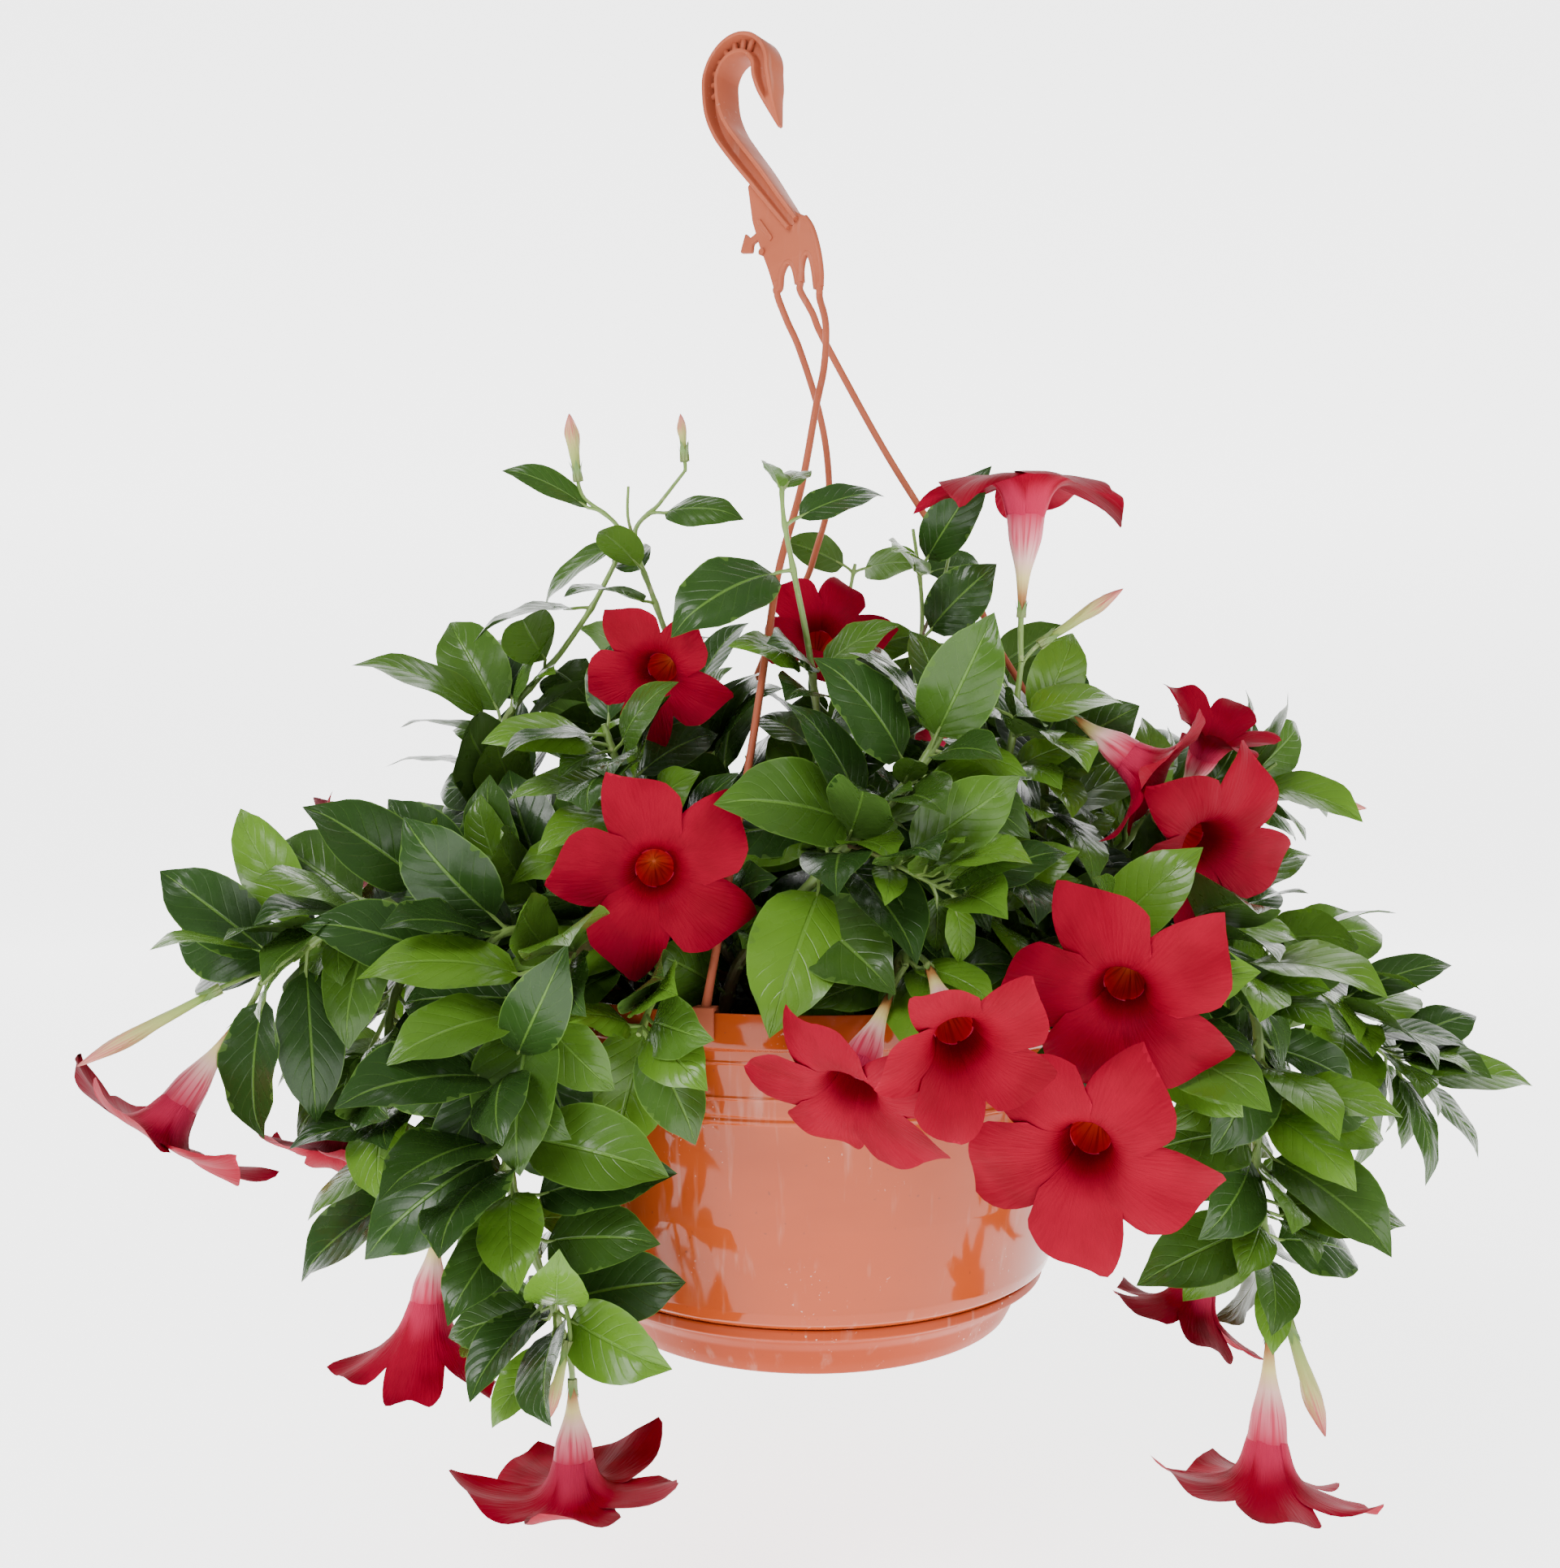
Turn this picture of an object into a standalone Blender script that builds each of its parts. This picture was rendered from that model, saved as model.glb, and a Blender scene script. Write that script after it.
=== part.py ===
"""Mandevilla in a hanging pot: pot, saucer, hanger, soil, leafy stems, blooms and buds.

Run with blender --background --python part.py, or from Blender's text editor.
Sizes below are millimetres about the pot's axis, with z = 0 under the saucer, +X to the
right and +Y to the back. The whole plant hangs from an empty, so that the world origin
is the seat inside the hook's crown.
"""

import math
import random
from dataclasses import dataclass

import bmesh
import bpy
from mathutils import Matrix, Quaternion, Vector
from mathutils.bvhtree import BVHTree

MM = 0.001
GAP = 0.3                    # running gap between neighbouring pieces

# Pot, a turned shell of thin plastic
POT_STEPS = 36
POT_HEIGHT = 160.0
RIM_RADIUS = 135.0
RIM_BAND = 14.5
WALL = 1.8
FOOT_TOP = 26.3              # underside of the shoulder that sits over the saucer's rim
GROOVE_Z = 115.0
DRAIN_RADIUS = 4.5
DRAIN_CIRCLE = 58.0
DRAIN_COUNT = 4
SLOT_WIDTH = 4.0
SLOT_HEIGHT = 4.5
SLOT_Z = 151.5
SLOT_OFFSET = 6.0            # degrees from the clip to its slot

# Saucer
SAUCER_RADIUS = 113.2
SAUCER_TOP = 26.0
SAUCER_FLOOR = 1.6

# Soil
SOIL_STEPS = 24
SOIL_TOP = 143.0
PLUG_BOTTOM = 122.0          # stems stand in plain holes down to here

# Hanger: a channel-section hook on a fan plate, with three strands clipped on the rim
HANGER_TURN = math.radians(38.0)
HANGER_X = -36.0
HANGER_Y = 12.0
CROWN_U = 5.5
CROWN_Z = 601.5
CROWN_RADIUS = 15.25
CROWN_DEPTH = 10.4
FLANGE = 2.2
HALF_WEB = 1.5
PLATE = 2.8
STRAND_RADIUS = 1.7
CLIP_WIDTH = 9.0
CLIP_ANGLES = {"strand_front": -109.0, "strand_right": 11.0, "strand_back": 131.0}
STRAND_ROUTES = {
    "strand_front": ((5.2, -20.2, 486.6), (5.4, -20.4, 483), (8, -28, 468), (7, -35, 447), (3, -42, 426),
                     (-4, -57, 386), (-14, -72, 347), (-19, -86, 313), (-26, -105, 264),
                     (-36, -119, 205)),
    "strand_right": ((-3.8, -13.2, 492.6), (-3.7, -13.2, 489), (2, -12, 479), (8, -10, 466), (34, -5, 420),
                     (54, 0, 389), (79, 5, 352), (93, 9, 323), (110, 13, 295),
                     (123, 17, 264), (129, 22, 205)),
    "strand_back": ((-14.7, -4.6, 492.6), (-14.6, -4.6, 489), (-10, -2, 478), (-4, 0, 465), (5, 10, 440),
                    (10, 20, 418), (11, 30, 395), (5, 42, 373), (0, 50, 359),
                    (-9, 58, 346), (-17, 64, 332), (-52, 84, 248)),
}

# Plant
LEAF_THICK = 1.1
PETIOLE = 1.15               # half width of a leaf stalk
CLEARANCE = 1.3              # extra thickness that keeps leaves apart while they are placed
STEM_STEP = 28.0             # distance between rings of a stem
FOLD = 0.26                  # rise of a blade's edge over its half width
FACE_OUT = 0.5               # shares of outward, front or back, and up that blades face
FACE_FRONT = 0.4
FACE_UP = 0.65
FRONT_DEPTH = 40.0           # leaves rooted nearer than this face the front
SPRING_ANGLE = 0.62          # how far a leaf's midrib bends from base to tip, in radians

HOOK_SEAT = Vector((HANGER_X + CROWN_U * math.cos(HANGER_TURN),
                    HANGER_Y - CROWN_U * math.sin(HANGER_TURN),
                    CROWN_Z + CROWN_RADIUS - CROWN_DEPTH / 2))


@dataclass(frozen=True)
class Leaf:
    """A leaf placed by hand: its place along the shoot, size, aim and face."""
    at: float
    length: float
    width: float
    aim: tuple
    face: tuple = ()


@dataclass(frozen=True)
class Shoot:
    """A length of stem with opposite pairs of leaves set along it by rule."""
    route: tuple
    thick: tuple
    pairs: int
    span: tuple
    size: tuple
    leaves: tuple = ()


@dataclass(frozen=True)
class Bloom:
    """A trumpet bloom: calyx point, centre of the face, width and how far it opens."""
    stem: str
    at: float
    base: tuple
    face: tuple
    width: float
    spread: float = 82.0
    turn: float = 0.0


@dataclass(frozen=True)
class Bud:
    """A furled bud on its own stalk."""
    stem: str
    at: float
    base: tuple
    tip: tuple
    radius: float


STEMS = {
    "stem_far_left": (
        Shoot(((-70, -30, 152), (-95, -55, 187), (-140, -80, 207), (-185, -95, 200),
               (-215, -100, 182), (-232, -102, 168)), (2.6, 1.5), 2, (0.25, 0.6), (66, 58), (
            Leaf(0.93, 60, 29, (-0.8, 0.0, 0.6)),
            Leaf(0.85, 66, 26, (-0.6, 0.3, 0.8)),
            Leaf(0.98, 60, 31, (0.0, -0.1, -1.0), (-0.4, -0.9, 0.1)),
            Leaf(0.88, 66, 28, (0.1, -0.1, -1.0), (0.3, -0.9, 0.2)),
            Leaf(0.78, 44, 26, (-0.5, -0.3, -0.8)))),
    ),
    "stem_left_outer": (
        Shoot(((-82, 20, 152), (-125, 0, 186), (-165, -35, 190), (-185, -62, 160),
               (-184, -78, 125), (-172, -88, 95), (-164, -92, 80)),
              (2.6, 1.6), 4, (0.22, 0.86), (68, 54), (
            Leaf(0.98, 58, 34, (-0.8, -0.2, -0.6)),
            Leaf(0.92, 46, 28, (-0.7, -0.6, -0.4)),
            Leaf(0.82, 52, 34, (0.1, -0.8, -0.6)))),
    ),
    "stem_left_inner": (
        Shoot(((-48, -55, 152), (-75, -98, 185), (-108, -130, 178), (-121, -138, 140),
               (-121, -138, 100), (-114, -135, 72), (-105, -132, 46), (-99, -131, 26)),
              (3.0, 1.5), 4, (0.2, 0.98), (62, 40), (
            Leaf(0.45, 62, 38, (0.0, -0.3, -1.0), (-0.3, -0.9, 0.2)),
            Leaf(0.65, 60, 34, (1.0, -0.2, -0.2)),
            Leaf(0.75, 58, 30, (1.0, -0.1, 0.2)),
            Leaf(0.82, 50, 30, (0.9, -0.3, 0.1)),
            Leaf(0.92, 48, 30, (0.9, 0.1, 0.1)),
            Leaf(0.94, 46, 25, (0.4, -0.5, 0.8), (0.0, -1.0, 0.2)),
            Leaf(0.56, 56, 26, (0.4, -0.4, 0.8), (0.2, -0.9, 0.3)),
            Leaf(0.53, 58, 26, (-0.4, -0.4, -0.8), (0.2, -0.9, 0.3)),
            Leaf(0.93, 44, 22, (-0.9, 0.2, -0.3)))),
        Shoot(((-64, -82, 174), (-64, -110, 168), (-70, -134, 152)), (1.7, 1.2), 1,
              (0.9, 0.9), (44, 38)),
    ),
    "stem_left_mid": (
        Shoot(((-78, -46, 152), (-104, -80, 186), (-128, -102, 190), (-143, -112, 176)),
              (2.4, 1.5), 2, (0.3, 0.8), (62, 54), (
            Leaf(0.98, 62, 33, (-0.9, -0.3, 0.3)),
            Leaf(0.68, 62, 30, (-1.0, -0.1, -0.2)),
            Leaf(0.62, 64, 28, (-1.0, 0.2, 0.2)))),
    ),
    "stem_left_front": (
        Shoot(((-22, -62, 152), (-45, -72, 190), (-64, -72, 222), (-80, -78, 250),
               (-90, -84, 278)), (2.4, 1.4), 2, (0.3, 0.96), (60, 48), (
            Leaf(0.75, 64, 38, (-0.4, -0.1, 0.9), (-0.3, -0.9, 0.3)),
            Leaf(0.77, 46, 20, (0.4, -0.3, 0.9)),
            Leaf(0.80, 46, 21, (-0.9, -0.3, -0.1)),
            Leaf(0.58, 62, 34, (-0.9, -0.4, -0.2)),
            Leaf(0.50, 46, 24, (-0.6, -0.6, -0.5)))),
    ),
    "stem_upper_left": (
        Shoot(((-45, 10, 152), (-95, 0, 200), (-140, -8, 240), (-148, -10, 278),
               (-118, -12, 317), (-100, -12, 345), (-90, -12, 372), (-106, -12, 388)),
              (2.4, 1.1), 3, (0.16, 0.68), (64, 48), (
            Leaf(0.56, 68, 31, (-0.9, -0.3, 0.4)),
            Leaf(0.57, 46, 21, (0.5, -0.3, 0.8)),
            Leaf(0.80, 52, 30, (-0.9, -0.3, -0.3)),
            Leaf(0.48, 54, 25, (-0.9, -0.4, 0.1)),
            Leaf(0.97, 46, 17, (-0.9, -0.1, 0.4)))),
    ),
    "stem_upper_mid": (
        Shoot(((-15, 0, 152), (-32, -10, 220), (-56, -14, 290), (-74, -12, 340),
               (-84, -10, 372), (-72, -8, 388), (-60, -6, 404)), (2.2, 0.9), 3,
              (0.3, 0.78), (58, 38), (
            Leaf(0.85, 56, 19, (-0.8, -0.1, -0.5)),
            Leaf(0.72, 48, 24, (-0.7, -0.7, 0.0)),
            Leaf(0.90, 42, 22, (0.9, -0.3, -0.1)))),
        Shoot(((-82, -11, 364), (-87, -10, 380), (-87, -9, 396)), (1.0, 0.8), 0, (0, 0), (0, 0)),
    ),
    "stem_centre_up": (
        Shoot(((5, -45, 152), (8, -60, 210), (4, -72, 270), (-1, -80, 310), (-8, -86, 345),
               (-12, -88, 366), (-13, -88, 382)), (2.2, 1.0), 3, (0.3, 0.98), (56, 26), (
            Leaf(0.84, 56, 38, (-0.8, -0.3, -0.5), (-0.1, -0.8, 0.6)),
            Leaf(0.92, 42, 22, (0.9, 0.2, 0.3)),
            Leaf(0.65, 42, 22, (-0.9, -0.5, 0.2)))),
    ),
    "stem_centre": (
        Shoot(((-38, -88, 152), (-31, -98, 176), (-13, -107, 197), (14, -114, 227),
               (42, -114, 256), (57, -107, 280)), (3.4, 1.8), 1, (0.24, 0.24), (58, 52), (
            Leaf(0.64, 62, 40, (-0.9, -0.3, 0.2), (0.0, -0.85, 0.5)),
            Leaf(0.49, 68, 40, (-0.3, -0.5, -0.8), (0.0, -1.0, 0.3)),
            Leaf(0.70, 60, 30, (0.6, -0.4, -0.7), (0.3, -0.9, 0.4)),
            Leaf(0.83, 48, 27, (0.8, -0.3, -0.5)),
            Leaf(0.88, 58, 32, (0.4, -0.3, 0.9), (0.1, -1.0, 0.3)),
            Leaf(0.54, 58, 32, (0.6, -0.5, -0.7), (0.4, -0.8, 0.5)),
            Leaf(0.98, 40, 22, (-0.3, 0.3, 0.9)))),
        Shoot(((14, -114, 227), (24, -130, 224), (40, -140, 216), (56, -142, 208)),
              (1.3, 0.8), 1, (0.45, 0.45), (26, 22)),
    ),
    "stem_top_right": (
        Shoot(((25, -20, 152), (40, -32, 220), (48, -40, 280), (52, -42, 330),
               (48, -40, 370)), (2.2, 0.9), 3, (0.3, 0.9), (58, 42), (
            Leaf(0.90, 54, 23, (0.4, -0.4, 0.6)),
            Leaf(0.76, 44, 27, (0.7, -0.3, 0.7)),
            Leaf(0.66, 46, 27, (-0.8, -0.5, 0.3)))),
        Shoot(((51, -42, 318), (61, -44, 344), (66, -45, 366)), (1.0, 0.8), 0, (0, 0), (0, 0)),
    ),
    "stem_up_right": (
        Shoot(((55, -30, 152), (75, -60, 210), (85, -82, 260), (88, -92, 292),
               (89, -95, 304)), (2.2, 1.3), 2, (0.4, 0.8), (58, 44), (
            Leaf(0.85, 44, 24, (-0.9, -0.3, 0.3)),)),
    ),
    "stem_right_top": (
        Shoot(((78, -12, 152), (98, -35, 200), (106, -55, 240), (100, -70, 268),
               (94, -78, 280)), (2.4, 1.4), 2, (0.38, 0.94), (62, 46), (
            Leaf(0.62, 66, 38, (0.6, -0.7, 0.2), (0.1, -0.5, 0.8)),
            Leaf(0.48, 60, 26, (-0.2, -0.9, 0.3)),
            Leaf(0.70, 56, 26, (0.2, -0.8, -0.5)))),
    ),
    "stem_right_mid": (
        Shoot(((98, -10, 152), (126, -18, 195), (148, -24, 222), (160, -26, 236)),
              (2.4, 1.6), 2, (0.45, 0.9), (64, 52), (
            Leaf(0.95, 50, 27, (0.1, 0.3, 0.9)),
            Leaf(0.80, 66, 32, (0.5, -0.8, -0.3)))),
    ),
    "stem_right_front": (
        Shoot(((75, -52, 152), (100, -84, 182), (122, -106, 183), (133, -124, 160),
               (128, -126, 140)), (2.6, 1.6), 1, (0.4, 0.4), (60, 52), (
            Leaf(0.46, 52, 25, (0.5, -0.2, 0.8)),
            Leaf(0.36, 54, 22, (-0.5, -0.8, -0.4)))),
        Shoot(((84, -64, 167), (80, -88, 196), (80, -104, 218)), (1.5, 1.2), 2, (0.5, 0.98),
              (58, 48)),
    ),
    "stem_front": (
        Shoot(((30, -92, 152), (35, -114, 178), (37, -130, 184), (36, -138, 180)),
              (2.2, 1.6), 1, (0.4, 0.4), (50, 44)),
    ),
    "stem_right_trail": (
        Shoot(((95, -32, 152), (135, -55, 195), (170, -72, 190), (190, -82, 160),
               (193, -88, 125), (190, -92, 90), (192, -98, 60), (192, -102, 40)),
              (2.8, 1.5), 3, (0.18, 0.6), (66, 56), (
            Leaf(0.86, 54, 34, (1.0, -0.1, -0.1)),
            Leaf(0.75, 56, 34, (-0.9, -0.5, 0.0)),
            Leaf(0.89, 58, 29, (-0.9, -0.3, -0.3)),
            Leaf(0.65, 52, 27, (-0.8, -0.5, -0.3)),
            Leaf(0.77, 60, 38, (0.8, -0.1, -0.6)),
            Leaf(0.72, 56, 32, (1.0, 0.2, -0.2)),
            Leaf(0.97, 36, 18, (0.3, -0.5, -0.8)),
            Leaf(0.93, 40, 22, (-0.2, -0.8, -0.5)))),
    ),
    "stem_far_right": (
        Shoot(((110, 12, 152), (152, 5, 197), (198, -4, 192), (238, -15, 160),
               (264, -25, 132), (288, -30, 112)), (2.6, 1.3), 3, (0.2, 0.68), (64, 52), (
            Leaf(0.80, 60, 38, (-0.4, -0.7, -0.5), (0.2, -0.8, 0.5)),
            Leaf(0.76, 58, 20, (1.0, 0.1, 0.3)),
            Leaf(0.90, 48, 24, (0.9, 0.2, 0.3)),
            Leaf(0.98, 46, 29, (1.0, -0.2, 0.0)),
            Leaf(0.97, 42, 24, (0.6, -0.3, -0.8)),
            Leaf(0.93, 52, 22, (0.1, -0.4, -0.9)),
            Leaf(0.86, 62, 28, (-0.1, 0.1, -1.0)))),
    ),
    "stem_right_twig": (
        Shoot(((85, 40, 152), (130, 32, 210), (175, 18, 240), (210, 4, 250),
               (228, -5, 262)), (2.2, 1.0), 3, (0.3, 0.8), (62, 40), (
            Leaf(0.80, 56, 27, (0.2, -0.4, -0.9)),)),
    ),
    "stem_back_right": (
        Shoot(((78, 62, 152), (120, 95, 202), (160, 120, 200), (190, 135, 165),
               (205, 145, 120), (208, 150, 82)), (2.6, 1.4), 4, (0.18, 0.98), (68, 50)),
    ),
    "stem_back_mid_right": (
        Shoot(((40, 45, 152), (70, 85, 215), (95, 130, 225), (110, 165, 190),
               (118, 182, 140), (120, 190, 92)), (2.6, 1.4), 4, (0.18, 0.98), (68, 50)),
    ),
    "stem_back_mid": (
        Shoot(((0, 65, 152), (-5, 110, 212), (-10, 150, 220), (-12, 178, 185),
               (-15, 194, 140), (-15, 200, 98)), (2.6, 1.4), 4, (0.18, 0.98), (68, 50)),
    ),
    "stem_back_mid_left": (
        Shoot(((-30, 64, 152), (-56, 108, 205), (-102, 138, 214), (-140, 155, 182),
               (-156, 168, 130), (-160, 176, 84)), (2.6, 1.4), 4, (0.18, 0.98), (68, 50)),
    ),
    "stem_back_left": (
        Shoot(((-88, 48, 152), (-135, 65, 200), (-180, 78, 200), (-212, 82, 165),
               (-224, 80, 120), (-226, 76, 84)), (2.6, 1.4), 4, (0.18, 0.98), (68, 50)),
    ),
    "stem_top_back": (
        Shoot(((12, 18, 152), (18, 36, 230), (14, 46, 290), (20, 52, 335), (26, 54, 368)),
              (2.2, 1.0), 4, (0.3, 0.98), (62, 38)),
    ),
    "stem_top_back_left": (
        Shoot(((-52, 30, 152), (-76, 52, 220), (-88, 58, 270), (-84, 52, 315)),
              (2.2, 1.1), 4, (0.32, 0.98), (62, 42)),
    ),
    "stem_top_back_right": (
        Shoot(((52, 14, 152), (80, 36, 215), (98, 56, 270), (96, 64, 312)),
              (2.2, 1.1), 4, (0.32, 0.98), (62, 42)),
    ),
}

BLOOMS = {
    "bloom_top_right": Bloom("stem_up_right", 1.0, (89, -95, 324), (91, -98, 378), 82, 94),
    "bloom_upper_left": Bloom("stem_upper_mid", 0.62, (-58, -50, 313), (-67, -86, 300), 58, 80, 20),
    "bloom_upper_mid": Bloom("stem_top_back", 0.62, (2, -4, 306), (6, -36, 322), 60, 70, 40),
    "bloom_centre_left": Bloom("stem_left_front", 0.52, (-68, -94, 222), (-63, -136, 217), 80, 84, 12),
    "bloom_right_front": Bloom("stem_right_front", 0.62, (133, -116, 186), (116, -160, 172), 84, 84, 8),
    "bloom_right_low": Bloom("stem_right_front", 1.0, (118, -130, 128), (100, -172, 116), 88, 80, 30),
    "bloom_front_left": Bloom("stem_front", 1.0, (30, -142, 170), (12, -174, 138), 78, 84, 0),
    "bloom_front_right": Bloom("stem_front", 0.8, (44, -151, 181), (50, -204, 160), 62, 60, 24),
    "bloom_right_top": Bloom("stem_right_top", 1.0, (112, -84, 282), (142, -96, 258), 66, 72, 0),
    "bloom_right_mid": Bloom("stem_right_mid", 0.85, (152, -52, 240), (168, -88, 226), 82, 80, 40),
    "bloom_right_twist": Bloom("stem_right_mid", 1.0, (172, -36, 244), (182, -54, 272), 60, 52, 10),
    "bloom_far_left": Bloom("stem_far_left", 1.0, (-242, -98, 152), (-268, -116, 110), 88, 92, 20),
    "bloom_left_low": Bloom("stem_left_outer", 0.55, (-208, -40, 118), (-218, -56, 88), 62, 70, 0),
    "bloom_left_mid": Bloom("stem_upper_left", 0.36, (-184, -14, 212), (-222, -26, 210), 76, 80, 30),
    "bloom_left_hanging": Bloom("stem_left_outer", 1.0, (-160, -93, 64), (-163, -98, 24), 84, 42, 15),
    "bloom_bottom_left": Bloom("stem_left_inner", 1.0, (-97, -130, 12), (-96, -132, -26), 90, 88, 10),
    "bloom_bottom_right": Bloom("stem_right_trail", 1.0, (191, -106, 24), (187, -114, -32), 80, 74, 25),
    "bloom_right_hanging": Bloom("stem_right_trail", 0.86, (178, -82, 62), (164, -86, 30), 72, 60, 5),
    "bloom_back_high": Bloom("stem_back_mid_right", 0.4, (84, 128, 248), (88, 160, 276), 80, 84, 0),
    "bloom_back_low": Bloom("stem_back_mid_left", 0.72, (-168, 182, 146), (-186, 206, 116), 80, 84, 30),
}

BUDS = {
    "bud_far_left": Bud("stem_far_left", 0.96, (-243, -120, 168), (-290, -142, 141), 3.6),
    "bud_top_left": Bud("stem_upper_left", 1.0, (-111, -12, 399), (-115, -14, 430), 4.0),
    "bud_top_mid": Bud("stem_upper_mid", 1.0, (-60, -6, 410), (-62, -6, 432), 2.6),
    "bud_right_top": Bud("stem_up_right", 0.97, (98, -92, 312), (134, -88, 336), 3.4),
    "bud_bottom_left": Bud("stem_left_inner", 0.9, (-97, -142, 32), (-104, -148, 4), 3.0),
    "bud_bottom_right": Bud("stem_right_trail", 0.96, (198, -108, 28), (212, -112, -18), 4.4),
    "bud_far_right": Bud("stem_right_twig", 0.9, (244, -2, 244), (274, 0, 240), 3.0),
}


def catmull_rom(route, step):
    """Points about one step apart on a smooth curve through the route's own points."""
    knots = [Vector(p) for p in route]
    knots = [knots[0]] + knots + [knots[-1]]
    points = []
    for a, b, c, d in zip(knots, knots[1:], knots[2:], knots[3:]):
        count = max(1, round((c - b).length / step))
        for k in range(count):
            t = k / count
            points.append(0.5 * (2 * b + (c - a) * t + (2 * a - 5 * b + 4 * c - d) * t ** 2
                                 + (3 * b - a - 3 * c + d) * t ** 3))
    points.append(knots[-1])
    return points


def place_on(points, fraction):
    """Point and direction at a fraction of a polyline's length."""
    lengths = [(b - a).length for a, b in zip(points, points[1:])]
    left = fraction * sum(lengths)
    for a, b, length in zip(points, points[1:], lengths):
        if left <= length:
            return a.lerp(b, left / length), (b - a).normalized()
        left -= length
    return points[-1].copy(), (points[-1] - points[-2]).normalized()


def stalk_points(start, base, axis):
    """A stalk that leaves its stem at start and meets base along the given axis."""
    reach = (base - start).length
    end = base - axis * (GAP + 3)
    before = end - axis * reach * 0.35
    after = start.lerp(before, 0.4)
    count = max(2, round(reach / 12))
    points = []
    for k in range(count + 1):
        t = k / count
        s = 1 - t
        points.append(start * s ** 3 + after * 3 * s * s * t + before * 3 * s * t * t
                      + end * t ** 3)
    return points + [base - axis * GAP]


def square_to(vector, direction):
    """The part of a vector that stands square to a unit direction, as a unit vector."""
    flat = vector - direction * vector.dot(direction)
    if flat.length < 1e-3:
        flat = direction.orthogonal()
    return flat.normalized()


def outward_of(point):
    """Level direction from the pot's axis to a point."""
    return Vector((point.x, point.y, 0)).normalized()


def light_side(root):
    """Direction that a blade faces by rule: up, outward, and to the front or the back."""
    front = -FACE_FRONT if root.y < FRONT_DEPTH else FACE_FRONT
    return outward_of(root) * FACE_OUT + Vector((0, front, FACE_UP))


def sleeve(points, radius):
    """Vertices and triangles of an eight-sided tube along points."""
    sides = 8
    vertices = []
    for i, point in enumerate(points):
        ahead = points[min(i + 1, len(points) - 1)] - points[max(i - 1, 0)]
        across = square_to(Vector((0.3, 0.5, 0.8)), ahead.normalized())
        other = ahead.normalized().cross(across)
        for k in range(sides):
            turn = 2 * math.pi * k / sides
            vertices.append(point + radius * (across * math.cos(turn) + other * math.sin(turn)))
    faces = []
    for i in range(len(points) - 1):
        faces += bridge(range(i * sides, (i + 1) * sides), range((i + 1) * sides, (i + 2) * sides))
    return vertices, faces


def bridge(ring, following):
    """Triangles between two closed rings; the second may hold four times as many points."""
    ring = list(ring)
    following = list(following)
    count = len(ring)
    share = len(following) // count
    faces = []
    for i in range(count):
        a, b = ring[i], ring[(i + 1) % count]
        outer = [following[(share * i + k) % len(following)] for k in range(share + 1)]
        middle = share // 2
        faces += [(a, outer[k + 1], outer[k]) for k in range(middle)]
        faces.append((a, b, outer[middle]))
        faces += [(b, outer[k + 1], outer[k]) for k in range(middle, share)]
    return faces


def turned_wall(profile, steps):
    """Vertices and triangles of an open surface of revolution, for clearance tests."""
    vertices = []
    for radius, z in profile:
        for k in range(steps):
            turn = 2 * math.pi * k / steps
            vertices.append(Vector((radius * math.cos(turn), radius * math.sin(turn), z)))
    faces = []
    for i in range(len(profile) - 1):
        faces += bridge(range(i * steps, (i + 1) * steps), range((i + 1) * steps, (i + 2) * steps))
    return vertices, faces


class Surroundings:
    """What has been placed so far, for finding leaves that would cross it."""

    def __init__(self):
        self.solids = []

    def add(self, solid, owner):
        vertices, faces = solid
        low = [min(v[a] for v in vertices) for a in range(3)]
        high = [max(v[a] for v in vertices) for a in range(3)]
        self.solids.append((owner, low, high, BVHTree.FromPolygons(vertices, faces)))

    def crossed(self, solid, skip=()):
        """The owner of the first placed solid that the given one crosses, or None."""
        vertices, faces = solid
        low = [min(v[a] for v in vertices) for a in range(3)]
        high = [max(v[a] for v in vertices) for a in range(3)]
        tree = BVHTree.FromPolygons(vertices, faces)
        for owner, other_low, other_high, other in self.solids:
            if owner in skip:
                continue
            if any(low[a] > other_high[a] or high[a] < other_low[a] for a in range(3)):
                continue
            if tree.overlap(other):
                return owner
        return None


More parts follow.
